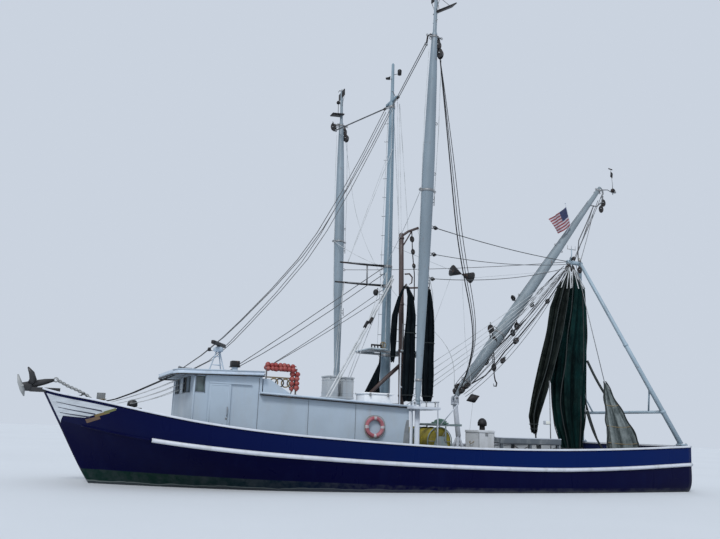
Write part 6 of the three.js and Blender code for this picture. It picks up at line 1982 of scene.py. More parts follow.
def cordage(name, runs, material, sides=8):
    """Rope or wire along runs of points."""
    tree, sizes, result = growth_tree(name + "_tree", {"Sides": 8, "Thickness": 1.0}, material)
    curve = node(tree, "GeometryNodeMeshToCurve", Mesh=sizes["Geometry"])
    thick = node(tree, "GeometryNodeInputNamedAttribute", {"data_type": "FLOAT"}, Name="thick")
    wide = sums(tree, "MULTIPLY", thick.outputs[0], sizes["Thickness"])
    ring = node(
        tree, "GeometryNodeCurvePrimitiveCircle", {"mode": "RADIUS"}, Resolution=sizes["Sides"], Radius=1.0
    )
    tube = node(
        tree, "GeometryNodeCurveToMesh", i0=curve.outputs[0], i1=ring.outputs[0], Scale=wide, Fill_Caps=True
    )
    tree.links.new(tube.outputs[0], result)
    return grow(name, run_mesh(name, runs), tree, {"Sides": sides, "Thickness": 1.0}, material)


def chain(name, runs, material, length=0.11, wire=0.012):
    """Chain along runs of points: oval links, each turned a quarter from the last."""
    tree, sizes, result = growth_tree(name + "_tree", {"Link length": 0.11, "Wire radius": 0.012}, material)
    curve = node(tree, "GeometryNodeMeshToCurve", Mesh=sizes["Geometry"])
    pitch = sums(tree, "SUBTRACT", sizes["Link length"], sums(tree, "MULTIPLY", sizes["Wire radius"], 4.0))
    stops = node(tree, "GeometryNodeCurveToPoints", {"mode": "LENGTH"}, Curve=curve.outputs[0], Length=pitch)
    oval = node(tree, "GeometryNodeCurvePrimitiveCircle", {"mode": "RADIUS"}, Resolution=14, Radius=0.5)
    link_width = sums(tree, "MULTIPLY", sizes["Link length"], 0.62)
    stretch = node(tree, "ShaderNodeCombineXYZ", X=link_width, Y=sizes["Link length"], Z=1.0)
    shaped = node(tree, "GeometryNodeTransform", Geometry=oval.outputs[0], Scale=stretch.outputs[0])
    upright_link = node(
        tree, "GeometryNodeTransform", Geometry=shaped.outputs[0], Rotation=(math.pi / 2, 0, 0)
    )
    wire_ring = node(
        tree, "GeometryNodeCurvePrimitiveCircle", {"mode": "RADIUS"}, Resolution=6,
        Radius=sizes["Wire radius"],
    )
    one = node(tree, "GeometryNodeCurveToMesh", i0=upright_link.outputs[0], i1=wire_ring.outputs[0])
    count = node(tree, "GeometryNodeInputIndex").outputs[0]
    quarter = sums(tree, "MULTIPLY", sums(tree, "MODULO", count, 2.0), math.pi / 2)
    spin = node(tree, "ShaderNodeCombineXYZ", Z=quarter)
    facing = node(tree, "FunctionNodeRotateRotation", {"rotation_space": "LOCAL"})
    tree.links.new(stops.outputs["Rotation"], facing.inputs[0])
    tree.links.new(spin.outputs[0], facing.inputs[1])
    placed = node(
        tree, "GeometryNodeInstanceOnPoints", Points=stops.outputs["Points"], Instance=one.outputs[0]
    )
    tree.links.new(facing.outputs[0], placed.inputs["Rotation"])
    tree.links.new(placed.outputs[0], result)
    return grow(
        name, run_mesh(name, [(run, 1) for run in runs]), tree, {"Link length": length, "Wire radius": wire},
        material,
    )


def bolts(name, places, material, radius=0.018, height=0.014):
    """Hexagon bolt heads on washers; each place is a point and the way that the head faces."""
    tree, sizes, result = growth_tree(name + "_tree", {"Head radius": 0.018, "Head height": 0.014}, material)
    points = node(tree, "GeometryNodeMeshToPoints", Mesh=sizes["Geometry"])
    facing = node(tree, "GeometryNodeInputNamedAttribute", {"data_type": "FLOAT_VECTOR"}, Name="facing")
    turn = node(tree, "FunctionNodeAlignRotationToVector", {"axis": "Z"}, Vector=facing.outputs[0])
    head = node(tree, "GeometryNodeMeshCone", Vertices=6, Depth=sizes["Head height"])
    tree.links.new(sizes["Head radius"], head.inputs["Radius Bottom"])
    tree.links.new(sums(tree, "MULTIPLY", sizes["Head radius"], 0.88), head.inputs["Radius Top"])
    washer = node(tree, "GeometryNodeMeshCylinder", Vertices=14, Depth=0.004)
    tree.links.new(sums(tree, "MULTIPLY", sizes["Head radius"], 1.45), washer.inputs["Radius"])
    pair = node(tree, "GeometryNodeJoinGeometry")
    tree.links.new(head.outputs[0], pair.inputs[0])
    tree.links.new(washer.outputs[0], pair.inputs[0])
    placed = node(tree, "GeometryNodeInstanceOnPoints", Points=points.outputs[0], Instance=pair.outputs[0])
    tree.links.new(turn.outputs[0], placed.inputs["Rotation"])
    tree.links.new(placed.outputs[0], result)
    mesh = bpy.data.meshes.new(name)
    mesh.from_pydata([tuple(p) for p, _ in places], [], [])
    facings = mesh.attributes.new("facing", "FLOAT_VECTOR", "POINT")
    facings.data.foreach_set("vector", [float(c) for _, way in places for c in way])
    made = grow(name, mesh, tree, {"Head radius": radius, "Head height": height}, material)
    made.data.polygons.foreach_set("use_smooth", [False] * len(made.data.polygons))
    return made


def helix(middle, radius, start, end, pitch, steps):
    """Points of a rope wound on a drum whose axis runs along Y, from y start to y end."""
    turns = abs(end - start) / pitch
    count = int(turns * steps)
    x, z = middle
    points = []
    for i in range(count + 1):
        angle = 2 * math.pi * i / steps
        points.append(
            (x + radius * math.cos(angle), start + (end - start) * i / count, z + radius * math.sin(angle))
        )
    return points


def slack(start, end, sag, steps=16):
    """Points of a line that hangs between two ends, sag below the straight at its middle."""
    start, end = Vector(start), Vector(end)
    return [
        start.lerp(end, i / steps) - Vector((0, 0, 4 * sag * (i / steps) * (1 - i / steps)))
        for i in range(steps + 1)
    ]

# Trawl winch: two drums of rope on one shaft between plates. Each drum is a welded, flanged and ribbed
# barrel wound with yellow rope, and turns on its own. The frame is bolted through its feet.
WINCH_X, WINCH_Z = 1.55, 1.56
drum_rope, tree, shader, place = finish("drum_rope", Roughness=0.85)
strand = speckle(tree, place, 30, 5, 0.6)
patches = speckle(tree, place, 3.0, 4)
rope_tone = mixed(tree, between(tree, patches, 0.35, 0.65), (0.40, 0.33, 0.030, 1), (0.20, 0.17, 0.040, 1))
give(
    tree, shader, "Base Color",
    mixed(tree, between(tree, strand, 0.5, 0.72, 0, 0.6), rope_tone, (0.075, 0.055, 0.030, 1)),
)
relief(tree, shader, strand, 0.6, 0.006)
green_rope = two_tone(
    "green_rope", (0.055, 0.14, 0.115, 1), (0.17, 0.27, 0.22, 1), (34, 4), None, (0.5, 0.005), Roughness=0.85
)
winch_paint = worn_white("winch_paint", (0.22, 0.29, 0.30, 1), rust=0.8, grime=0.9)
coat_node("winch_frame", winch_paint)
for sign, side in SIDES:
    body = f"winch_drum_{side}"
    barrel = Shape()
    start = Vector((WINCH_X, sign * 0.17, WINCH_Z))
    outline = (
        (0, 0.06), (0, 0.488), (0.008, 0.500), (0.034, 0.500), (0.042, 0.488), (0.042, 0.130), (1.160, 0.130),
        (1.160, 0.06),
    )
    barrel.lathe(start, start + Vector((0, sign, 0)), outline, 64)
    pack = ((0.045, 0.10), (0.045, 0.445), (1.105, 0.445), (1.118, 0.40), (1.118, 0.10))
    barrel.lathe(start, start + Vector((0, sign, 0)), pack, 64, tone=2)
    barrel.ring(start + Vector((0, sign * 1.14, 0)), (0, 1, 0), 0.482, 0.018, steps=64, sides=10)
    for d, out in ((0, -1), (1.16, 1)):
        rib = start + Vector((0, sign * d, 0))
        hub = ((0, 0.05), (0, 0.13), (0.012, 0.135), (0.028, 0.11), (0.028, 0.05))
        barrel.lathe(rib, rib + Vector((0, sign * out, 0)), hub, 32, tone=1)
        for k in range(6):
            angle = math.pi * k / 3
            spoke = [
                rib + Vector((math.cos(angle) * r, sign * out * 0.008, math.sin(angle) * r))
                for r in (0.11, 0.30, 0.47)
            ]
            barrel.bar(spoke, (0.016, 0.014, 0.010), 8, tone=1)
    place_piece(
        barrel.made(f"winch_drum_{side}_barrel", winch_paint, zinc, drum_rope), body, "galvanised_steel",
        f"winch_drum_{side}",
    )
    first, last = sign * 0.235, sign * 1.265
    wound = [(helix((WINCH_X, WINCH_Z), 0.458, first, last, 0.0375, 36), 0.0185)]
    loose = []
    for k in range(70):
        angle = math.pi * (0.15 + 0.9 * k / 69)
        y = first + (last - first) * (0.3 + 0.35 * k / 69)
        loose.append((WINCH_X + 0.484 * math.cos(angle), y, WINCH_Z + 0.484 * math.sin(angle)))
    wound.append((loose, 0.0165))
    place_piece(cordage(f"winch_rope_{side}", wound, drum_rope), body, "drum_rope")
bolt_places = []
for y, out in ((-1.41, -1), (1.41, 1)):
    for x, z in ((1.15, 0.95), (1.95, 0.95), (1.27, 1.25), (1.83, 1.25), (1.42, 1.62), (1.68, 1.62)):
        bolt_places.append(((x, y + 0.002 * out, z), (0, out, 0)))
for x in (1.09, 2.01):
    for y in (-1.25, -0.75, -0.25, 0.25, 0.75, 1.25):
        bolt_places.append(((x, y, 0.962), (0, 0, 1)))
place_piece(bolts("winch_bolts", bolt_places, zinc, 0.020, 0.016), "hull_body", "galvanised_steel")

# Shelf over the port drum with a heap of green rope on it. It is a steel plate with lips, carried by flats
# from the winch.
shelf = Shape()
for y in (-1.43, -0.05):
    for x in (1.38, 1.72):
        shelf.slab((x - 0.025, y - 0.012, 1.55 if y < -1 else 1.60), (x + 0.025, y + 0.012, 2.12), 0.004)
shelf.slab((1.30, -1.46, 2.10), (2.36, -0.03, 2.128), 0.006)
for x in (1.31, 2.35):
    shelf.slab((x - 0.012, -1.46, 2.128), (x + 0.012, -0.03, 2.175), 0.004)
place_piece(shelf.made("winch_shelf", winch_paint), "hull_body", "galvanised_steel")
heap_runs = []
for layer in range(5):
    heap_points = []
    size = 1 - 0.11 * layer
    for k in range(90):
        angle = 2 * math.pi * k / 30 + layer
        wander = noise.noise(Vector((math.cos(angle) * 1.5, math.sin(angle) * 1.5, layer * 2.7 + k * 0.02)))
        out = 0.72 + 0.28 * wander - 0.006 * k
        heap_points.append((
            1.86 + 0.42 * size * out * math.cos(angle),
            -0.78 + 0.60 * size * out * math.sin(angle),
            2.148 + 0.034 * layer + 0.018 * noise.noise(Vector((k * 0.3, layer, 1.7))) + 0.0006 * k,
        ))
    heap_runs.append((heap_points, 0.017))
place_piece(cordage("rope_heap", heap_runs, green_rope), "hull_body", "net_twine")

# Hold: a painted steel coaming, and a planked lid in a steel border on strap hinges, with two lifting
# rings.
hatch_white = worn_white("hatch_white", (0.42, 0.47, 0.50, 1), rust=0.6, grime=0.9)
coat_node("hold_coaming", hatch_white)
lid = Shape()
LID_LOW, LID_HIGH = (3.94, -0.66, 1.188), (5.24, 0.66, 1.238)
LID_BORDER, LID_BOARDS = 0.04, 8
board = (LID_HIGH[1] - LID_LOW[1] - 2 * LID_BORDER) / LID_BOARDS
for k in range(LID_BOARDS):
    y0 = LID_LOW[1] + LID_BORDER + board * k
    lid.slab(
        (LID_LOW[0] + LID_BORDER, y0 + 0.003, 1.192), (LID_HIGH[0] - LID_BORDER, y0 + board - 0.003, 1.236),
        0.006,
    )
for y0, y1 in ((LID_LOW[1], LID_LOW[1] + LID_BORDER), (LID_HIGH[1] - LID_BORDER, LID_HIGH[1])):
    lid.slab((LID_LOW[0], y0, 1.188), (LID_HIGH[0], y1, 1.238), 0.006, tone=1)
for x0, x1 in ((LID_LOW[0], LID_LOW[0] + LID_BORDER), (LID_HIGH[0] - LID_BORDER, LID_HIGH[0])):
    lid.slab((x0, LID_LOW[1] + LID_BORDER, 1.188), (x1, LID_HIGH[1] - LID_BORDER, 1.238), 0.006, tone=1)
for y in (-0.32, 0.32):
    lid.slab((4.10, y - 0.05, 1.236), (5.30, y + 0.05, 1.246), 0.003, tone=1)
    barrel_profile = ((0, 0.01), (0, 0.024), (0.10, 0.024), (0.10, 0.01))
    lid.lathe((5.315, y - 0.05, 1.210), (5.315, y + 1, 1.210), barrel_profile, 20, tone=1)
    lid.slab((5.225, y - 0.045, 1.205), (5.312, y + 0.045, 1.235), 0.004, tone=1)
for x, y in ((4.15, -0.45), (4.15, 0.45)):
    lid.ring((x, y, 1.262), (0, 1, 0), 0.040, 0.009, steps=20, sides=8, tone=1)
lid_boards = worn_white("lid_boards", (0.30, 0.34, 0.35, 1), rust=0.5, grime=1.0)
place_piece(lid.made("hold_lid_planked", lid_boards, zinc), "hold_lid", "white_paint", "hold_lid")

# Sorting table: a steel tray with raised sides on legs, with pale pipe rails round its rim, and braces and
# rods bolted between the legs and sides.
# The tray's near-black tone is painted shade.
table_steel_in_shade = worn_white("table_steel_in_shade", (0.10, 0.12, 0.14, 1), rust=0.9, grime=0.8)
coat_node("sorting_table", table_steel_in_shade)
TABLE_X, TABLE_Y, TABLE_RAIL_Z = (2.98, 5.52), (-2.90, -1.75), 1.768
table_rails = Shape()
for y in TABLE_Y:
    table_rails.bar([(TABLE_X[0], y, TABLE_RAIL_Z), (TABLE_X[1], y, TABLE_RAIL_Z)], 0.020, 14)
for x in TABLE_X:
    table_rails.bar([(x, TABLE_Y[0], TABLE_RAIL_Z), (x, TABLE_Y[1], TABLE_RAIL_Z)], 0.020, 14)
for x, y in ((x, y) for y in TABLE_Y for x in TABLE_X):
    table_rails.ball((x, y, TABLE_RAIL_Z), 0.026, 1, 10, 16)
for x0, x1 in ((3.08, 4.25), (4.25, 5.42)):
    table_rails.bar([(x0, -2.83, 0.95), (x1, -2.83, 1.52)], 0.016, 10, tone=1)
    table_rails.bar([(x0, -1.82, 1.52), (x1, -1.82, 0.95)], 0.016, 10, tone=1)
for x in (3.3, 3.9, 4.5, 5.1):
    table_rails.bar([(x, -2.86, 1.615), (x, -1.79, 1.615)], 0.012, 8, tone=1)
place_piece(table_rails.made("sorting_table_rails", post_white, zinc), "hull_body", "white_paint")

# Deck box: a painted plywood chest with a lipped lid, corner irons, a hasp and rope handles
box_paint = worn_white("deck_box_paint", (0.60, 0.62, 0.64, 1), rust=0.35, grime=0.7)
coat_node("deck_box", box_paint)
chest = Shape()
chest.slab((2.225, -2.775, 1.905), (2.875, -1.875, 1.992), 0.012)
for x, y in ((2.25, -2.75), (2.85, -2.75), (2.25, -1.90), (2.85, -1.90)):
    chest.slab((x - 0.008, y - 0.008, 0.86), (x + 0.008, y + 0.008, 1.90), 0.003, tone=1)
for x in (2.246, 2.854):
    grip = [
        (x, -2.44, 1.62), (x + (0.05 if x > 2.5 else -0.05), -2.42, 1.56),
        (x + (0.06 if x > 2.5 else -0.06), -2.32, 1.53),
    ]
    grip += [(x + (0.05 if x > 2.5 else -0.05), -2.22, 1.56), (x, -2.20, 1.62)]
    chest.bar(grip, 0.012, 10, tone=2)
chest.slab((2.50, -2.768, 1.80), (2.60, -2.748, 1.95), 0.004, tone=1)
place_piece(chest.made("deck_box_fittings", box_paint, zinc, rope_tan), "hull_body", "white_paint")

# Deck fittings that show over the bulwark, painted steel: rails abaft the house, posts to the platform, a
# work lamp on its pole, a black vent, and bitts on the after deck
fittings = Shape()
for y in (-1.5, 1.5):
    fittings.bar([(0.32, y, 2.84), (1.40, y, 2.90)], 0.024, 12)
    fittings.bar([(0.32, y, 2.60), (1.40, y, 2.64)], 0.018, 12)
    for x in (0.36, 1.36):
        fittings.bar([(x, y, deck_height(x, abs(y)) - 0.01), (x, y, 2.88)], 0.024, 14)
for x, y, top in ((0.18, -0.85, 4.60), (0.62, -0.90, 4.62), (0.60, 0.9, 4.62)):
    fittings.bar([(x, y, deck_height(x, abs(y)) - 0.01), (x, y, top)], 0.026, 14)
fittings.bar([(0.18, -0.85, 3.42), (0.80, -1.45, 2.88)], 0.022, 12)
fittings.bar([(1.36, -1.5, 2.0), (1.90, -1.98, 2.86)], 0.020, 12)
POLE_X, POLE_Y = 5.78, -2.0
fittings.bar([(POLE_X, POLE_Y, deck_height(POLE_X, 2.0) - 0.01), (POLE_X, POLE_Y, 3.88)], 0.020, 14, tone=1)
fittings.bar([(POLE_X, POLE_Y, 2.34), (POLE_X - 0.10, POLE_Y - 0.04, 2.36)], 0.014, 10, tone=1)
fittings.slab((POLE_X - 0.28, POLE_Y - 0.10, 2.28), (POLE_X - 0.08, POLE_Y + 0.06, 2.42), 0.02)
fittings.slab((POLE_X - 0.27, POLE_Y - 0.108, 2.295), (POLE_X - 0.09, POLE_Y - 0.098, 2.405), 0.004, tone=2)
vent_profile = (
    (0, 0.11), (1.30, 0.10), (1.34, 0.10), (1.35, 0.165), (1.46, 0.170), (1.56, 0.13), (1.62, 0.05),
    (1.625, 0.01),
)
VENT_X, VENT_Y = 3.40, -1.15
fittings.post((VENT_X, VENT_Y, deck_height(VENT_X, 1.15) - 0.01), vent_profile, 30, tone=3)
fittings.post(
    (VENT_X, VENT_Y, deck_height(VENT_X, 1.15)), ((0, 0.05), (0, 0.19), (0.03, 0.19), (0.03, 0.05)), 30,
    tone=1,
)
bitt_profile = ((0, 0.085), (0.40, 0.080), (0.41, 0.10), (0.45, 0.10), (0.46, 0.04))
for x, y in ((7.6, -1.2), (7.6, 1.2), (10.4, -2.3), (10.4, 2.3)):
    foot = deck_height(x, abs(y)) - 0.01
    for dy in (-0.14, 0.14):
        fittings.post((x, y + dy, foot), bitt_profile, 24, tone=3)
place_piece(
    fittings.made("deck_fittings", post_white, zinc, lamp_glass, black_iron), "hull_body", "white_paint"
)

# Ground tackle: a plate anchor with hinged flukes stowed in the bow roller, its shackle, and a chain to the
# windlass on the samson post. The anchor is galvanised and rusting, with shank, crown and bills tarred
# black.
galvanised_rust = spar_coat("anchor_zinc", (0.26, 0.27, 0.27, 1), 0.9)
tarred = spar_coat("tarred_iron", (0.022, 0.022, 0.024, 1), 0.35)
anchor = Shape()
shank = [(-12.02, 0, 2.775), (-11.75, 0, 2.850), (-11.38, 0, 2.955), (-11.16, 0, 3.010)]
anchor.bar(shank, (0.120, 0.115, 0.085, 0.045), 18, tone=1)
anchor.ring((-11.10, 0, 3.025), (0, 1, 0), 0.062, 0.020, steps=20, sides=10)
anchor.slab((-12.085, -0.17, 2.650), (-11.74, 0.17, 2.890), 0.060, tone=1)
anchor.lathe(
    (-12.005, -0.33, 2.788), (-12.005, 1, 2.788),
    (
        (0, 0.01), (0, 0.036), (0.03, 0.040), (0.05, 0.030), (0.61, 0.030), (0.63, 0.040), (0.66, 0.036),
        (0.66, 0.01),
    ),
    20,
)
for sign in (-1, 1):
    bill = [
        (-11.80, sign * 0.06, 2.86), (-11.74, sign * 0.14, 3.00), (-11.80, sign * 0.19, 3.18),
        (-11.92, sign * 0.20, 3.35),
    ]
    anchor.bar(bill, (0.090, 0.105, 0.080, 0.020), 14, tone=1)
    lower = [
        (-12.17, sign * 0.15, 3.12), (-12.10, sign * 0.19, 2.90), (-12.00, sign * 0.17, 2.68),
        (-11.94, sign * 0.14, 2.50),
    ]
    anchor.bar(lower, (0.022, 0.062, 0.072, 0.020), 14)
place_piece(anchor.made("anchor_forged", galvanised_rust, tarred), "hull_body", "galvanised_steel", "anchor")
cable_run = [
    (-11.04, 0, 3.01), (-10.75, 0, 2.86), (-10.44, 0, 2.74), (-10.16, 0, 2.60), (-9.95, 0, 2.42),
    (-9.86, 0, 2.22), (-9.84, 0, 2.06),
]
place_piece(chain("anchor_chain", [cable_run], galvanised_rust, 0.12, 0.014), "hull_body", "galvanised_steel")
coat_node("bow_roller", tarred)

# Samson post and windlass: a dark post with a drum on each side that carries the warp, and more turns of it
# round the post. Beside them stand bitts, fairleads, cleats and a vent, all tarred.
post_wood = worn_white("samson_post_paint", (0.13, 0.14, 0.15, 1), rust=0.3, grime=0.9)
coat_node("samson_post", post_wood)
warp_runs = []
for sign in (-1, 1):
    warp_runs.append((helix((-9.71, 2.02), 0.166, sign * 0.16, sign * 0.46, 0.034, 26), 0.016))
turns = []
for k in range(64):
    angle = 2 * math.pi * k / 21
    turns.append((-9.75 + 0.155 * math.cos(angle), 0.155 * math.sin(angle), 2.24 + 0.011 * k * 0.4))
warp_runs.append((turns, 0.015))
place_piece(cordage("windlass_warp", warp_runs, rope_tan), "hull_body", "webbing")
bow_gear = Shape()
for sign in (-1, 1):
    foot = (-9.30, sign * 0.55, deck_height(-9.30, 0.55) - 0.01)
    bitt = (
        (0, 0.075), (0.02, 0.075), (0.02, 0.055), (0.62, 0.055), (0.64, 0.075), (0.70, 0.070), (0.71, 0.02),
    )
    bow_gear.post(foot, bitt, 24)
    fairlead = (-10.30, sign * 1.02, along(SHEER_LINE, -10.30) + 0.085)
    bow_gear.ring(fairlead, (0.3, 1, 0), 0.075, 0.022, 0.6, 5.7, 26, 10)
    cleat_z = along(SHEER_LINE, -8.85) + 0.075
    bow_gear.bar([(-9.0, sign * 1.62, cleat_z), (-8.72, sign * 1.78, cleat_z)], 0.022, 12)
low_z = deck_height(-8.85, 0.3)
vent = (
    (0, 0.15), (0.015, 0.15), (0.015, 0.09), (0.84, 0.09), (0.84, 0.14), (0.88, 0.16), (0.97, 0.155),
    (1.04, 0.11), (1.07, 0.02),
)
bow_gear.post((-8.80, -0.10, low_z - 0.01), vent, 28)
place_piece(bow_gear.made("bow_fittings", tarred, zinc), "hull_body", "black_iron")

# Stern: plated bulwark and its cap, in the colours of the sides
stern_navy, tree, shader, place = finish("stern_navy", Roughness=0.36, Specular_IOR_Level=0.16)
fade = speckle(tree, place, 1.2, 5)
tone = mixed(tree, between(tree, fade, 0.35, 0.7), (0.0020, 0.0080, 0.060, 1), (0.0045, 0.0130, 0.080, 1))
streaks = speckle(tree, place, 5, 5, 0.65, (1, 1, 0.12))
tone = mixed(tree, between(tree, streaks, 0.58, 0.72, 0, 0.35), tone, (0.030, 0.034, 0.050, 1))
give(tree, shader, "Base Color", tone)
relief(tree, shader, speckle(tree, place, 0.9, 3), 0.25, 0.02)
coat_node("bulwark_stern", stern_navy)
coat_node("cap_rail_stern", rail_white)

# Under water: keel and skeg, a plate rudder on its stock, and a bronze screw, under slime and shells
fouled, tree, shader, place = finish("antifouling", Roughness=0.8)
slime = speckle(tree, place, 1.6, 6, 0.62)
tone = mixed(tree, between(tree, slime, 0.38, 0.66), (0.006, 0.022, 0.014, 1), (0.030, 0.036, 0.022, 1))
shells = speckle(tree, place, 22, 4, 0.7)
tone = mixed(tree, between(tree, shells, 0.66, 0.74, 0, 0.7), tone, (0.16, 0.15, 0.12, 1))
give(tree, shader, "Base Color", tone)
relief(tree, shader, shells, 0.7, 0.010)
for part in ("keel", "rudder"):
    coat_node(part, fouled)
bronze, tree, shader, place = finish("screw_bronze", Roughness=0.42, Metallic=0.85)
patina = speckle(tree, place, 6, 5)
tone = mixed(tree, between(tree, patina, 0.42, 0.66), (0.36, 0.20, 0.075, 1), (0.075, 0.11, 0.080, 1))
give(tree, shader, "Base Color", tone)
give(tree, shader, "Roughness", between(tree, patina, 0.35, 0.7, 0.35, 0.75))
relief(tree, shader, patina, 0.3, 0.004)
coat_node("propeller", bronze)

# Standing and running rigging: galvanised wire and pale polyester line on galvanised blocks. Wires that
# join two bodies are left on no body, where they were made.


def outrigger_point(d, sign, aft=0.0, inward=0.0):
    """A point at a distance up an outrigger, moved aft and inboard of its axis."""
    lean = OUTRIGGER_LEAN
    return Vector((
        HEEL_X + aft,
        sign * (HEEL_Y + math.sin(lean) * d - inward * math.cos(lean)),
        HEEL_Z + math.cos(lean) * d + inward * math.sin(lean),
    ))


def rope_finish(name, dark, pale, thread, roughness, grain):
    """Laid wire or line: two tones that change along it, and the shadow between its strands."""
    material, tree, shader, place = finish(name, Roughness=roughness, Specular_IOR_Level=0.3)
    strands = speckle(tree, place, grain, 4, 0.6)
    aged = speckle(tree, place, 2.0, 4)
    tone = mixed(tree, between(tree, aged, 0.4, 0.65), pale, dark)
    tone = mixed(tree, between(tree, strands, 0.5, 0.7, 0, 0.5), tone, thread)
    give(tree, shader, "Base Color", tone)
    relief(tree, shader, strands, 0.5, 0.003)
    return material


wire_coat = rope_finish(
    "wire_rope", (0.055, 0.052, 0.050, 1), (0.11, 0.12, 0.13, 1), (0.025, 0.022, 0.020, 1), 0.5, 34
)
pale_line = rope_finish(
    "pale_line", (0.36, 0.38, 0.38, 1), (0.62, 0.64, 0.66, 1), (0.26, 0.27, 0.28, 1), 0.85, 40
)
black_line = rope_finish(
    "black_line", (0.008, 0.009, 0.011, 1), (0.030, 0.032, 0.036, 1), (0.004, 0.004, 0.005, 1), 0.8, 38
)
coat_node("forestay", wire_coat)

WIRE, LINE = 0.016, 0.012
CROSSTREE = Vector((MAST_X, CROSSTREE_Y, CROSSTREE_Z))
GALLOWS_HEAD = Vector((8.36, 0, 9.12))


# Outrigger heads: an arm forward for the topping lift, an arm aft with the whip's blocks, and a plate near
# the tip. The topping lift has two parts between the forward arm and the crosstree. Its fall and the whip's
# run down the spar.
topping_blocks = Shape()
for sign, side in SIDES:
    body = f"outrigger_{side}"
    mast_end = Vector((CROSSTREE.x, sign * CROSSTREE.y, CROSSTREE.z))
    gear = Shape()
    fore_arm = [
        outrigger_point(d, sign, aft)
        for d, aft in ((12.40, 0), (12.44, -0.16), (12.35, -0.26), (12.08, -0.29))
    ]
    gear.bar(fore_arm, 0.030, 12, tone=2)
    lift_end = fore_arm[-1]
    way = (lift_end - mast_end).normalized()
    block(topping_blocks, mast_end + way * 0.16, way * -1, 0.14)
    gear.ring(lift_end - way * 0.05, way.orthogonal(), 0.05, 0.018, steps=18, sides=8, tone=1)
    runs = []
    for dx, dz in ((-0.04, 0.0), (0.04, 0.025)):
        shift = Vector((dx, 0, dz))
        runs.append(([mast_end + way * 0.24 + shift, lift_end - way * 0.06 + shift], WIRE))
    lift = cordage(f"topping_lift_{side}", runs, wire_coat)
    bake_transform(lift)
    aft_arm = [
        outrigger_point(d, sign, aft)
        for d, aft in ((12.44, 0.05), (12.42, 0.14), (12.28, 0.20), (12.12, 0.21))
    ]
    gear.bar(aft_arm, 0.026, 12, tone=2)
    block(gear, outrigger_point(12.12, sign, 0.16), (0.1, 0, -1), 0.26)
    block(gear, outrigger_point(11.82, sign, 0.24), (0, 0, -1), 0.30)
    for d in (6.62, 3.9):
        r = outrigger_radius(d)
        gear.bar(
            [outrigger_point(d - 0.16, sign, r + 0.07), outrigger_point(d + 0.16, sign, r + 0.07)], 0.014, 10,
            tone=1,
        )
        for dd in (-0.05, 0.05):
            gear.bar(
                [outrigger_point(d + dd, sign, r - 0.02), outrigger_point(d + dd, sign, r + 0.07)], 0.014, 8,
                tone=1,
            )
    if sign < 0:
        middle = outrigger_point(13.52, sign, 0.36, 0)
        slope, depth = Vector((0.37, 0, 0.25)), Vector((0, 0.17, 0.01))
        over = [
            outrigger_point(13.95, sign, 0), middle + slope * 0.6, middle - slope * 0.6,
            outrigger_point(13.95, sign, 0),
        ]
        gear.bar(over, 0.012, 8, tone=1)
    else:
        middle = outrigger_point(12.88, sign, -0.20, 0)
        slope, depth = Vector((0.27, 0, 0.03)), Vector((0, 0.19, 0))
        gear.lathe(
            outrigger_point(12.88, sign, -0.16), outrigger_point(13.88, sign, -0.16),
            ((0, 0.012), (0.58, 0.012)), 10, tone=2,
        )
        gear.ball(outrigger_point(13.50, sign, -0.16), 0.085, 1, 10, 16, tone=2)
        gear.bar(
            [
                outrigger_point(14.06, sign), outrigger_point(14.13, sign, -0.10),
                outrigger_point(14.02, sign, -0.17),
            ],
            0.014, 8, tone=2,
        )
        block(gear, outrigger_point(12.24, sign, -0.36), (0.2, 0, -1), 0.30)
    thick = Vector((-0.010, 0, 0.016))
    plate = [middle + slope * a + depth * b + thick * c for a in (-1, 1) for b in (-1, 1) for c in (-1, 1)]
    gear.add(plate, BLOCK_FACES, 2)
    place_piece(gear.made(f"outrigger_{side}_head_gear", post_white, zinc, black_iron), body, "black_iron")
    falls = [
        (
            [
                outrigger_point(11.60, sign, 0.30), outrigger_point(9.0, sign, 0.32),
                outrigger_point(6.78, sign, 0.27),
            ],
            0.011,
        ),
        (
            [
                outrigger_point(11.90, sign, -0.20, -0.02), outrigger_point(9.5, sign, -0.24),
                outrigger_point(4.06, sign, -0.22),
            ],
            0.009,
        ),
    ]
    place_piece(cordage(f"outrigger_{side}_falls", falls, pale_line), body, "galvanised_steel")
place_piece(
    topping_blocks.made("topping_blocks", post_white, zinc, black_iron), "hull_body", "galvanised_steel"
)

# Whip falls hang slack from each outrigger's aft arm to the boom step: three dark parts to port and one
# thin pale one to starboard. The path below is the port one.
WHIP_PATH = (
    (-0.26, -4.24, 14.40), (-0.12, -4.20, 13.40), (0.06, -4.14, 12.20), (0.25, -4.04, 11.10),
    (0.54, -3.78, 9.95), (0.84, -3.46, 9.02), (1.24, -3.06, 8.08), (1.78, -2.54, 7.16), (2.34, -1.96, 6.45),
    (2.86, -1.36, 5.78), (3.20, -0.86, 5.08), (3.22, -0.50, 4.30), (3.02, -0.22, 3.42),
)
for sign, side, parts in (
    (-1, "port", ((0.0, 0.0, 0.020), (0.09, 0.03, 0.012), (0.20, 0.09, 0.012))),
    (1, "starboard", ((0.0, 0.0, 0.010),)),
):
    runs = []
    for dx, dz, radius in parts:
        points = []
        for i in range(61):
            share = i / 60 * (len(WHIP_PATH) - 1)
            x, y, z = (
                float(np.interp(share, range(len(WHIP_PATH)), [row[k] for row in WHIP_PATH]))
                for k in range(3)
            )
            bow = math.sin(math.pi * i / 60)
            points.append(Vector((x + dx * bow, -sign * y, z + dz * bow)))
        for _ in range(10):
            points = [points[0]] + [
                (a + 2 * b + c) / 4 for a, b, c in zip(points, points[1:], points[2:])
            ] + [points[-1]]
        runs.append((points, radius))
    whip = cordage(f"whip_falls_{side}", runs, black_line if sign < 0 else pale_line)
    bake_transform(whip)

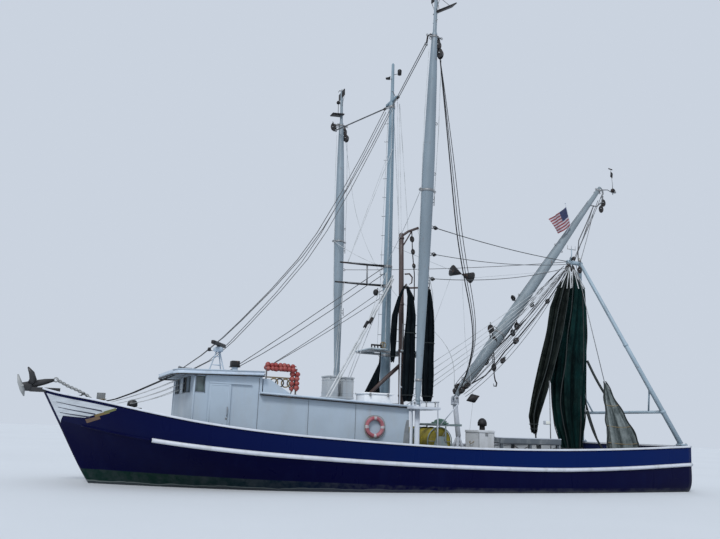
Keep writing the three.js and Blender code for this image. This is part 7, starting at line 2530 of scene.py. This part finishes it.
# Aft guys of wire from each outrigger to the gallows head, with a block at each port guy's end, and a light
# tie of line from the outrigger's middle bar to the spreader
for sign, side, guys in (
    (-1, "port", ((5.73, 0.0, 0.10, WIRE), (4.82, -0.12, 0.16, LINE), (3.99, -0.26, 0.22, LINE))),
    (1, "starboard", ((5.73, 0.0, 0.10, LINE),)),
):
    body = f"outrigger_{side}"
    runs = []
    knots = Shape()
    for d, high, sag, radius in guys:
        start = outrigger_point(d, sign, outrigger_radius(d) + 0.05)
        end = GALLOWS_HEAD + Vector((-0.02, sign * 0.06, high))
        way = (end - start).normalized()
        knots.ring(start, (0, 1, 0), 0.045, 0.014, steps=16, sides=8)
        if sign < 0:
            block(knots, start + way * 0.16, way * -1, 0.16, (1, 0))
        runs.append((slack(start + way * (0.24 if sign < 0 else 0.03), end, sag, 18), radius))
    guy = cordage(f"aft_guys_{side}", runs, wire_coat)
    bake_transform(guy)
    place_piece(knots.made(f"guy_blocks_{side}", zinc, black_iron), body, "galvanised_steel")
    tie_end = Vector((MAST_X - 0.14, sign * 0.10, 7.9))
    start = outrigger_point(6.935, sign, -0.24, 0.02)
    tie = cordage(f"outrigger_tie_{side}", [(slack(start, tie_end, 0.10, 14), 0.010)], pale_line)
    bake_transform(tie)

# Fixed lines: dark lower forestays in two pairs, halyards, a doubled white stay with its turnbuckles, lines
# from the spreaders to the roof boxes, five lines from the gallows to the port net post, strops over the
# nets, and the lines from under the visor to the bow.
dark_wires, white_lines, bow_ropes = [], [], []


def stay(points, radius, store):
    store.append(([Vector(p) for p in points], radius))


# The forestay's line in x and z; a second, thinner pair runs just abaft it.
STAY_LINE = (
    (-0.10, 14.30), (-1.00, 12.38), (-1.88, 10.55), (-2.76, 8.88), (-3.47, 7.76), (-4.41, 6.54),
    (-5.43, 5.34), (-6.01, 4.70), (-6.69, 4.05), (-7.30, 3.72),
)


for y in (-0.12, 0.12):
    foot_z = pilot_top(-5.75, 0.24) + 0.03
    low = y - 0.12
    stay(
        [
            (-0.18, y * 0.5, 7.85 + low), (-2.28, y, 6.24 + low), (-3.69, y * 1.4, 5.16 + low * 0.8),
            (-4.75, y * 1.7, 4.37 + low * 0.5), (-5.75, y * 2, foot_z),
        ],
        0.013, dark_wires,
    )
    stay(slack((-0.18, y * 0.5, 7.00 + low), (-4.70, -1.0 + y * 0.3, 3.80), 0.05, 14), 0.011, dark_wires)
    stay(
        [
            (x + 0.30 * i / 9, math.copysign(1, y) * (0.40 - 0.10 * i / 9), z - 0.12 * i / 9)
            for i, (x, z) in enumerate(STAY_LINE)
        ],
        0.012, dark_wires,
    )
for y, foot_x, foot_y in ((-0.40, -2.12, -0.98), (-0.34, -2.02, -0.88)):
    stay(
        [
            (-0.16, -0.18, 7.62), (-0.46 + (y + 0.4) * 4, y, 7.05),
            (foot_x, foot_y, house_top(foot_x, 1.0) + 0.03),
        ],
        0.013, white_lines,
    )
for k, (high, low) in enumerate(((8.84, 3.62), (8.78, 3.36), (8.72, 3.10), (8.66, 2.88), (8.62, 2.70))):
    run = slack((8.28 - 0.05 * k, -0.16, high), (0.46, -0.60, low), 0.05 + 0.05 * k, 20)
    stay([(p.x, p.y - 0.20 * math.sin(math.pi * i / 20), p.z) for i, p in enumerate(run)], 0.011, white_lines)
for start, end in (
    ((8.64, -0.02, 8.88), (8.40, -0.22, 7.98)), ((8.64, -0.03, 8.88), (8.66, -0.32, 7.94)),
    ((8.66, -0.02, 8.88), (8.94, -0.29, 7.96)), ((8.68, -0.01, 8.88), (9.12, -0.18, 8.00)),
    ((8.34, -0.17, 8.86), (7.62, -0.50, 7.84)), ((8.33, -0.19, 8.86), (7.84, -0.58, 7.82)),
    ((8.34, -0.19, 8.86), (8.06, -0.56, 7.86)),
):
    stay(slack(start, end, -0.03, 8), 0.020, white_lines)
for sign in (-1, 1):
    visor = (-7.68, sign * 0.60, 3.335)
    stay(
        [
            visor, (-7.99, sign * 0.58, 3.17), (-8.78, sign * 0.52, 2.76), (-9.31, sign * 0.42, 2.53),
            (-9.72, sign * 0.24, 2.42),
        ],
        0.018, bow_ropes,
    )
    for wall_z, foot_x in ((3.30, -9.55), (3.12, -9.25), (2.96, -8.90)):
        stay(slack((-7.33, sign * 0.66, wall_z), (foot_x, sign * 0.36, 2.40), 0.06, 14), 0.009, white_lines)
    for dx, y0, y1, high, low, radius in (
        (-0.06, 0.20, 0.34, 14.35, 4.74, 0.009), (0.10, 0.28, 0.60, 14.50, 4.72, 0.009)
    ):
        stay([(MAST_X + dx, sign * y0, high), (MAST_X + dx * 3, sign * y1, low)], radius, white_lines)
    stay([(-1.66, sign * 0.02, 7.85), (MAST_X, sign * 0.17, 12.55)], 0.009, white_lines)
    stay(
        slack(
            (-1.78, sign * 0.03, 7.10), (-2.20, -0.40 + sign * 0.14, house_top(-2.2, 0.4) + 0.05), 0.04, 10
        ),
        0.010, white_lines,
    )
for points, radius in (
    ([(0.14, -0.34, 14.40), (0.52, -0.55, 9.25)], 0.011),
    ([(0.14, -0.30, 14.40), (0.24, -0.56, 9.05)], 0.009), ([(0.16, 0.24, 14.40), (0.80, 0.10, 4.74)], 0.010),
    ([(0.90, -0.60, 9.36), (1.30, -0.95, 6.9), (1.44, -0.95, 4.72)], 0.013),
    ([(0.94, -0.60, 9.38), (1.42, -0.90, 6.9), (1.50, -0.90, 4.72)], 0.011),
):
    stay(points, radius, white_lines)
fittings = Shape()
for k in range(2):
    double = [
        (0.12, -0.22 + 0.06 * k, 7.40 + 0.14 * k),
        (-2.82 - 0.07 * k, -1.74 + 0.10 * k, house_top(-2.85, 1.70) + 0.02),
    ]
    stay(slack(*double, 0.03, 12), 0.029, white_lines)
    top, foot = Vector(double[0]), Vector(double[1])
    at = top.lerp(foot, 0.36 + 0.05 * k)
    fittings.bar([at, at + (foot - top) * 0.05], 0.055, 12)
fittings.ball((-0.62, -0.30, 6.80), 0.105, 1.15, 12, 18)
fittings.ring((-0.55, -0.29, 6.93), (1, 0, 0), 0.04, 0.012, steps=16, sides=8, tone=1)
for x, y in ((-7.68, -0.60), (-7.68, 0.60)):
    fittings.ring((x, y, 3.345), (0, 1, 0), 0.03, 0.010, steps=16, sides=8, tone=1)
place_piece(fittings.made("stay_fittings", black_iron, zinc), "hull_body", "black_iron")
for name, store, material in (
    ("lower_stays", dark_wires, wire_coat), ("fixed_lines", white_lines, pale_line),
    ("bow_lines", bow_ropes, black_line),
):
    place_piece(cordage(name, store, material), "hull_body", "galvanised_steel")

# Boom gear: purchases of wire between the boom head and the gallows, lines along the boom down to its step,
# a cargo tackle with its hook, a whip aerial with two small vanes, a lamp, and the ensign's staff.
purchase = []
for start, end, radius in (
    ((10.20, -0.10, 12.20), (8.62, -0.10, 9.22), 0.013), ((10.14, 0.0, 12.12), (8.70, 0.0, 9.24), 0.013),
    ((9.92, 0.10, 11.76), (8.82, 0.08, 9.22), 0.013), ((9.78, -0.12, 11.55), (8.92, -0.12, 9.06), 0.011),
):
    purchase.append((slack(start, end, 0.06, 18), radius))
bent = [
    (9.84, -0.06, 11.82), (9.38, -0.08, 10.92), (8.95, -0.08, 10.12), (8.90, -0.06, 9.66),
    (8.92, -0.04, 9.24),
]
purchase.append((bent, 0.022))
head_purchase = cordage("boom_head_purchase", purchase, wire_coat)
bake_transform(head_purchase)

boom_gear = Shape()
TIP_ARM = [tuple(on_boom(BOOM_LENGTH - 0.15, 0.02)), (10.70, 0, 12.70), (10.99, 0, 12.60)]
boom_gear.bar(TIP_ARM, (0.030, 0.022, 0.018), 10, tone=1)
boom_gear.bar([(10.99, 0, 12.52), (11.00, 0, 13.0), (10.92, 0, 13.74)], (0.018, 0.014, 0.008), 8, tone=1)
boom_gear.ball((11.00, 0, 12.72), 0.095, 1, 12, 22, tone=2)
boom_gear.plate([(10.90, 13.36), (11.00, 13.30), (11.03, 13.52), (10.93, 13.60)], 0, 0.03, tone=2)
boom_gear.plate([(10.80, 13.70), (11.02, 13.68), (11.02, 13.73), (10.80, 13.75)], 0, 0.012, tone=2)
lamp(boom_gear, (11.10, 0, 12.62), 0.12)
staff = [
    tuple(on_boom(8.92, boom_radius(8.92) - 0.02, -0.10)), (8.37, -0.26, 10.67), (8.14, -0.30, 11.43),
    (8.10, -0.305, 11.55),
]
boom_gear.bar(staff, (0.020, 0.018, 0.014, 0.012), 10)
boom_gear.ball((8.095, -0.306, 11.58), 0.028, 1, 8, 14)

# Hanging tackle: two blocks under the boom, four parts of line, a lower block and a swivel hook
block(boom_gear, (4.50, -0.06, 5.92), (0.08, 0, -1), 0.30)
block(boom_gear, (4.62, -0.14, 5.50), (0.25, 0, -1), 0.26)
block(boom_gear, (4.66, -0.02, 4.42), (0, 0, -1), 0.24)
boom_gear.bar([(4.50, -0.06, 6.05), tuple(on_boom(3.62, -boom_radius(3.62), -0.04))], 0.018, 8, tone=1)
hook_line = [
    (4.66, -0.02, 4.32), (4.68, -0.02, 4.10), (4.72, -0.02, 3.92), (4.79, -0.02, 3.82), (4.76, -0.02, 3.70),
    (4.66, -0.02, 3.70), (4.64, -0.02, 3.80),
]
boom_gear.bar(hook_line, (0.022, 0.022, 0.026, 0.028, 0.028, 0.020, 0.008), 10, tone=2)
for k in range(7):
    d = 1.15 + 0.62 * k
    eye = on_boom(d, -boom_radius(d) - 0.03)
    boom_gear.ring(eye, boom_side, 0.028, 0.009, steps=14, sides=6, tone=1)
place_piece(boom_gear.made("boom_gear", post_white, zinc, black_iron, lamp_glass), "boom", "galvanised_steel")
tackle_runs = [
    (slack((4.47 + dx, -0.08 + dy, 5.80), (4.64 + dx * 0.6, -0.03 + dy, 4.52), 0, 8), 0.011)
    for dx, dy in ((-0.07, -0.03), (0.0, 0.03), (0.07, -0.03), (0.10, 0.04))
]
# The dark line under the boom from near its heel also paints the shade along the boom's underside.
tackle_runs.append(
    ([on_boom(d, -boom_radius(d) - 0.03, 0.02 * math.sin(d * 3)) for d in np.linspace(1.2, 4.9, 30)], 0.016)
)
tackle_runs.append(([on_boom(d, boom_radius(d) + 0.06, -0.10) for d in np.linspace(5.0, 11.0, 40)], 0.008))
place_piece(cordage("boom_lines", tackle_runs, black_line), "boom", "galvanised_steel")

# Tackles made fast from the gallows head to the boom step, each side of the boom, and a heavy dark cable
# under it
long_tackles, heavy = [], []
for sign in (-1, 1):
    for k, (dy, low, high, sag, radius) in enumerate((
        (0.34, 3.62, 8.96, 0.02, 0.012), (0.40, 3.52, 8.90, 0.06, 0.010), (0.46, 3.42, 8.84, 0.14, 0.012),
        (0.38, 3.30, 8.66, 0.30, 0.010), (0.44, 3.22, 8.60, 0.42, 0.010),
    )):
        start = (8.30 - 0.05 * k, sign * dy * 0.4, high)
        end = (3.02 + 0.05 * k, sign * dy * 0.62, low)
        line = slack(start, end, sag, 22)
        line = [(p.x, p.y + sign * 0.30 * math.sin(math.pi * i / 22) ** 0.6, p.z) for i, p in enumerate(line)]
        long_tackles.append((line, radius))
    cable = [
        (6.42, sign * 0.30, 6.50), (5.60, sign * 0.44, 5.70), (4.87, sign * 0.46, 5.02),
        (4.45, sign * 0.44, 4.50), (4.04, sign * 0.38, 4.05), (3.50, sign * 0.26, 3.72),
        (3.10, sign * 0.16, 3.50),
    ]
    heavy.append((cable, 0.026))
place_piece(cordage("aft_tackles", long_tackles, wire_coat), "hull_body", "galvanised_steel")
heavy.append((slack((8.30, -0.10, 8.72), (6.42, -0.30, 6.50), 0.05, 10), 0.020))
heavy.append((slack((8.30, 0.10, 8.72), (6.42, 0.30, 6.50), 0.05, 10), 0.020))
place_piece(cordage("heavy_cable", heavy, black_line), "hull_body", "galvanised_steel")
tackle_iron = Shape()
for sign in (-1, 1):
    for at, hang, size in (
        ((3.10, sign * 0.22, 3.46), (-1, 0, -1), 0.26), ((3.24, sign * 0.34, 3.62), (-1, 0, -1), 0.22),
        ((5.30, sign * 0.60, 5.46), (-1, 0, -1), 0.24), ((4.70, sign * 0.58, 4.66), (-1, 0, -1), 0.22),
        ((6.90, sign * 0.52, 7.20), (-1, 0, -1), 0.20),
    ):
        block(tackle_iron, at, hang, size, (1, 0))
place_piece(tackle_iron.made("aft_tackle_blocks", zinc, black_iron), "hull_body", "galvanised_steel")

# Signal shapes hoisted abaft the mast, black sheet on light halyards: two cones point to point, and a small
# diamond below
signals = Shape()
CONE_MIDDLE = Vector((2.90, -0.5, 7.86))
CONE_AXIS = Vector((1.04, 0, -0.22)).normalized()
for sign in (-1, 1):
    profile = ((0.0, 0.012), (0.02, 0.022), (0.44, 0.222), (0.455, 0.224), (0.46, 0.215), (0.46, 0.01))
    signals.lathe(CONE_MIDDLE, CONE_MIDDLE + CONE_AXIS * sign, profile, 30)
DIAMOND = Vector((3.10, -1.0, 3.13))
diamond = ((-0.30, 0.005), (-0.01, 0.165), (0.01, 0.165), (0.30, 0.005))
signals.lathe(DIAMOND, DIAMOND + Vector((1, 0, 0.35)), diamond, 26)
place_piece(signals.made("signal_shapes", black_iron), "hull_body", "black_iron")
halyards = [
    ([(MAST_X + 0.1, -0.10, 8.70), tuple(CONE_MIDDLE - CONE_AXIS * 0.47)], 0.007),
    ([tuple(CONE_MIDDLE + CONE_AXIS * 0.47), (7.90, -0.40, 8.62), (8.33, -0.20, 8.80)], 0.007),
    ([tuple(CONE_MIDDLE), (3.00, -0.62, 5.2), tuple(DIAMOND + Vector((0, 0, 0.10)))], 0.006),
    (
        [tuple(DIAMOND - Vector((0, 0, 0.10))), (3.12, -0.75, 2.0), (3.10, -0.55, 1.30), (3.06, -0.36, 0.98)],
        0.006,
    ),
    ([tuple(CONE_MIDDLE - CONE_AXIS * 0.40), (1.6, -0.62, 5.72)], 0.006),
]
place_piece(cordage("signal_halyards", halyards, pale_line), "hull_body", "galvanised_steel")

# Ensign: thin nylon on a staff, drooping forward, with plain stripes and a plain canton, faded
FLAG_CORNERS = [
    Vector(c)
    for c in ((8.14, -0.30, 11.43), (8.37, -0.27, 10.67), (7.21, -0.34, 10.76), (7.63, -0.30, 10.17))
]
STRIPES = 13
across_flag, up_flag = 48, 30
flag_points, flag_u, flag_v = [], [], []
for j in range(up_flag + 1):
    v = j / up_flag
    for i in range(across_flag + 1):
        u = i / across_flag
        top = FLAG_CORNERS[0].lerp(FLAG_CORNERS[2], u)
        low = FLAG_CORNERS[1].lerp(FLAG_CORNERS[3], u)
        at = low.lerp(top, v)
        wave = 0.085 * u * math.sin(2 * math.pi * (1.7 * u + 0.35 * v) + 0.6)
        fold = 0.040 * u * math.sin(2 * math.pi * (3.1 * u - 0.5 * v))
        droop = -0.05 * math.sin(math.pi * u) * (1 - 0.4 * v)
        flag_points.append((at.x + 0.02 * fold, at.y + wave + fold, at.z + droop))
        flag_u.append(u)
        flag_v.append(v)
row = across_flag + 1
flag_faces = [
    (j * row + i, j * row + i + 1, (j + 1) * row + i + 1, (j + 1) * row + i)
    for j in range(up_flag)
    for i in range(across_flag)
]
flag_mesh = solid_mesh("ensign", flag_points, flag_faces)
flag_mesh.attributes.new("along_fly", "FLOAT", "POINT").data.foreach_set("value", flag_u)
flag_mesh.attributes.new("up_hoist", "FLOAT", "POINT").data.foreach_set("value", flag_v)
bunting, tree, shader, place = finish("ensign_nylon", Roughness=0.75)
fly = node(tree, "ShaderNodeAttribute", {"attribute_name": "along_fly"}).outputs["Fac"]
hoist = node(tree, "ShaderNodeAttribute", {"attribute_name": "up_hoist"}).outputs["Fac"]
band = sums(tree, "MODULO", sums(tree, "FLOOR", sums(tree, "MULTIPLY", hoist, float(STRIPES))), 2.0)
tone = mixed(tree, band, (0.24, 0.045, 0.055, 1), (0.46, 0.42, 0.46, 1))
in_canton = sums(
    tree, "MULTIPLY", sums(tree, "LESS_THAN", fly, 0.4), sums(tree, "GREATER_THAN", hoist, 6 / STRIPES)
)
tone = mixed(tree, in_canton, tone, (0.020, 0.028, 0.085, 1))
soil = speckle(tree, place, 5, 4)
tone = mixed(tree, between(tree, soil, 0.45, 0.75, 0, 0.4), tone, (0.12, 0.11, 0.12, 1))
give(tree, shader, "Base Color", tone)
weave = speckle(tree, place, 180, 2)
relief(tree, shader, weave, 0.3, 0.001)
ensign = link("ensign", flag_mesh, bunting)
place_piece(ensign, "boom", "webbing")
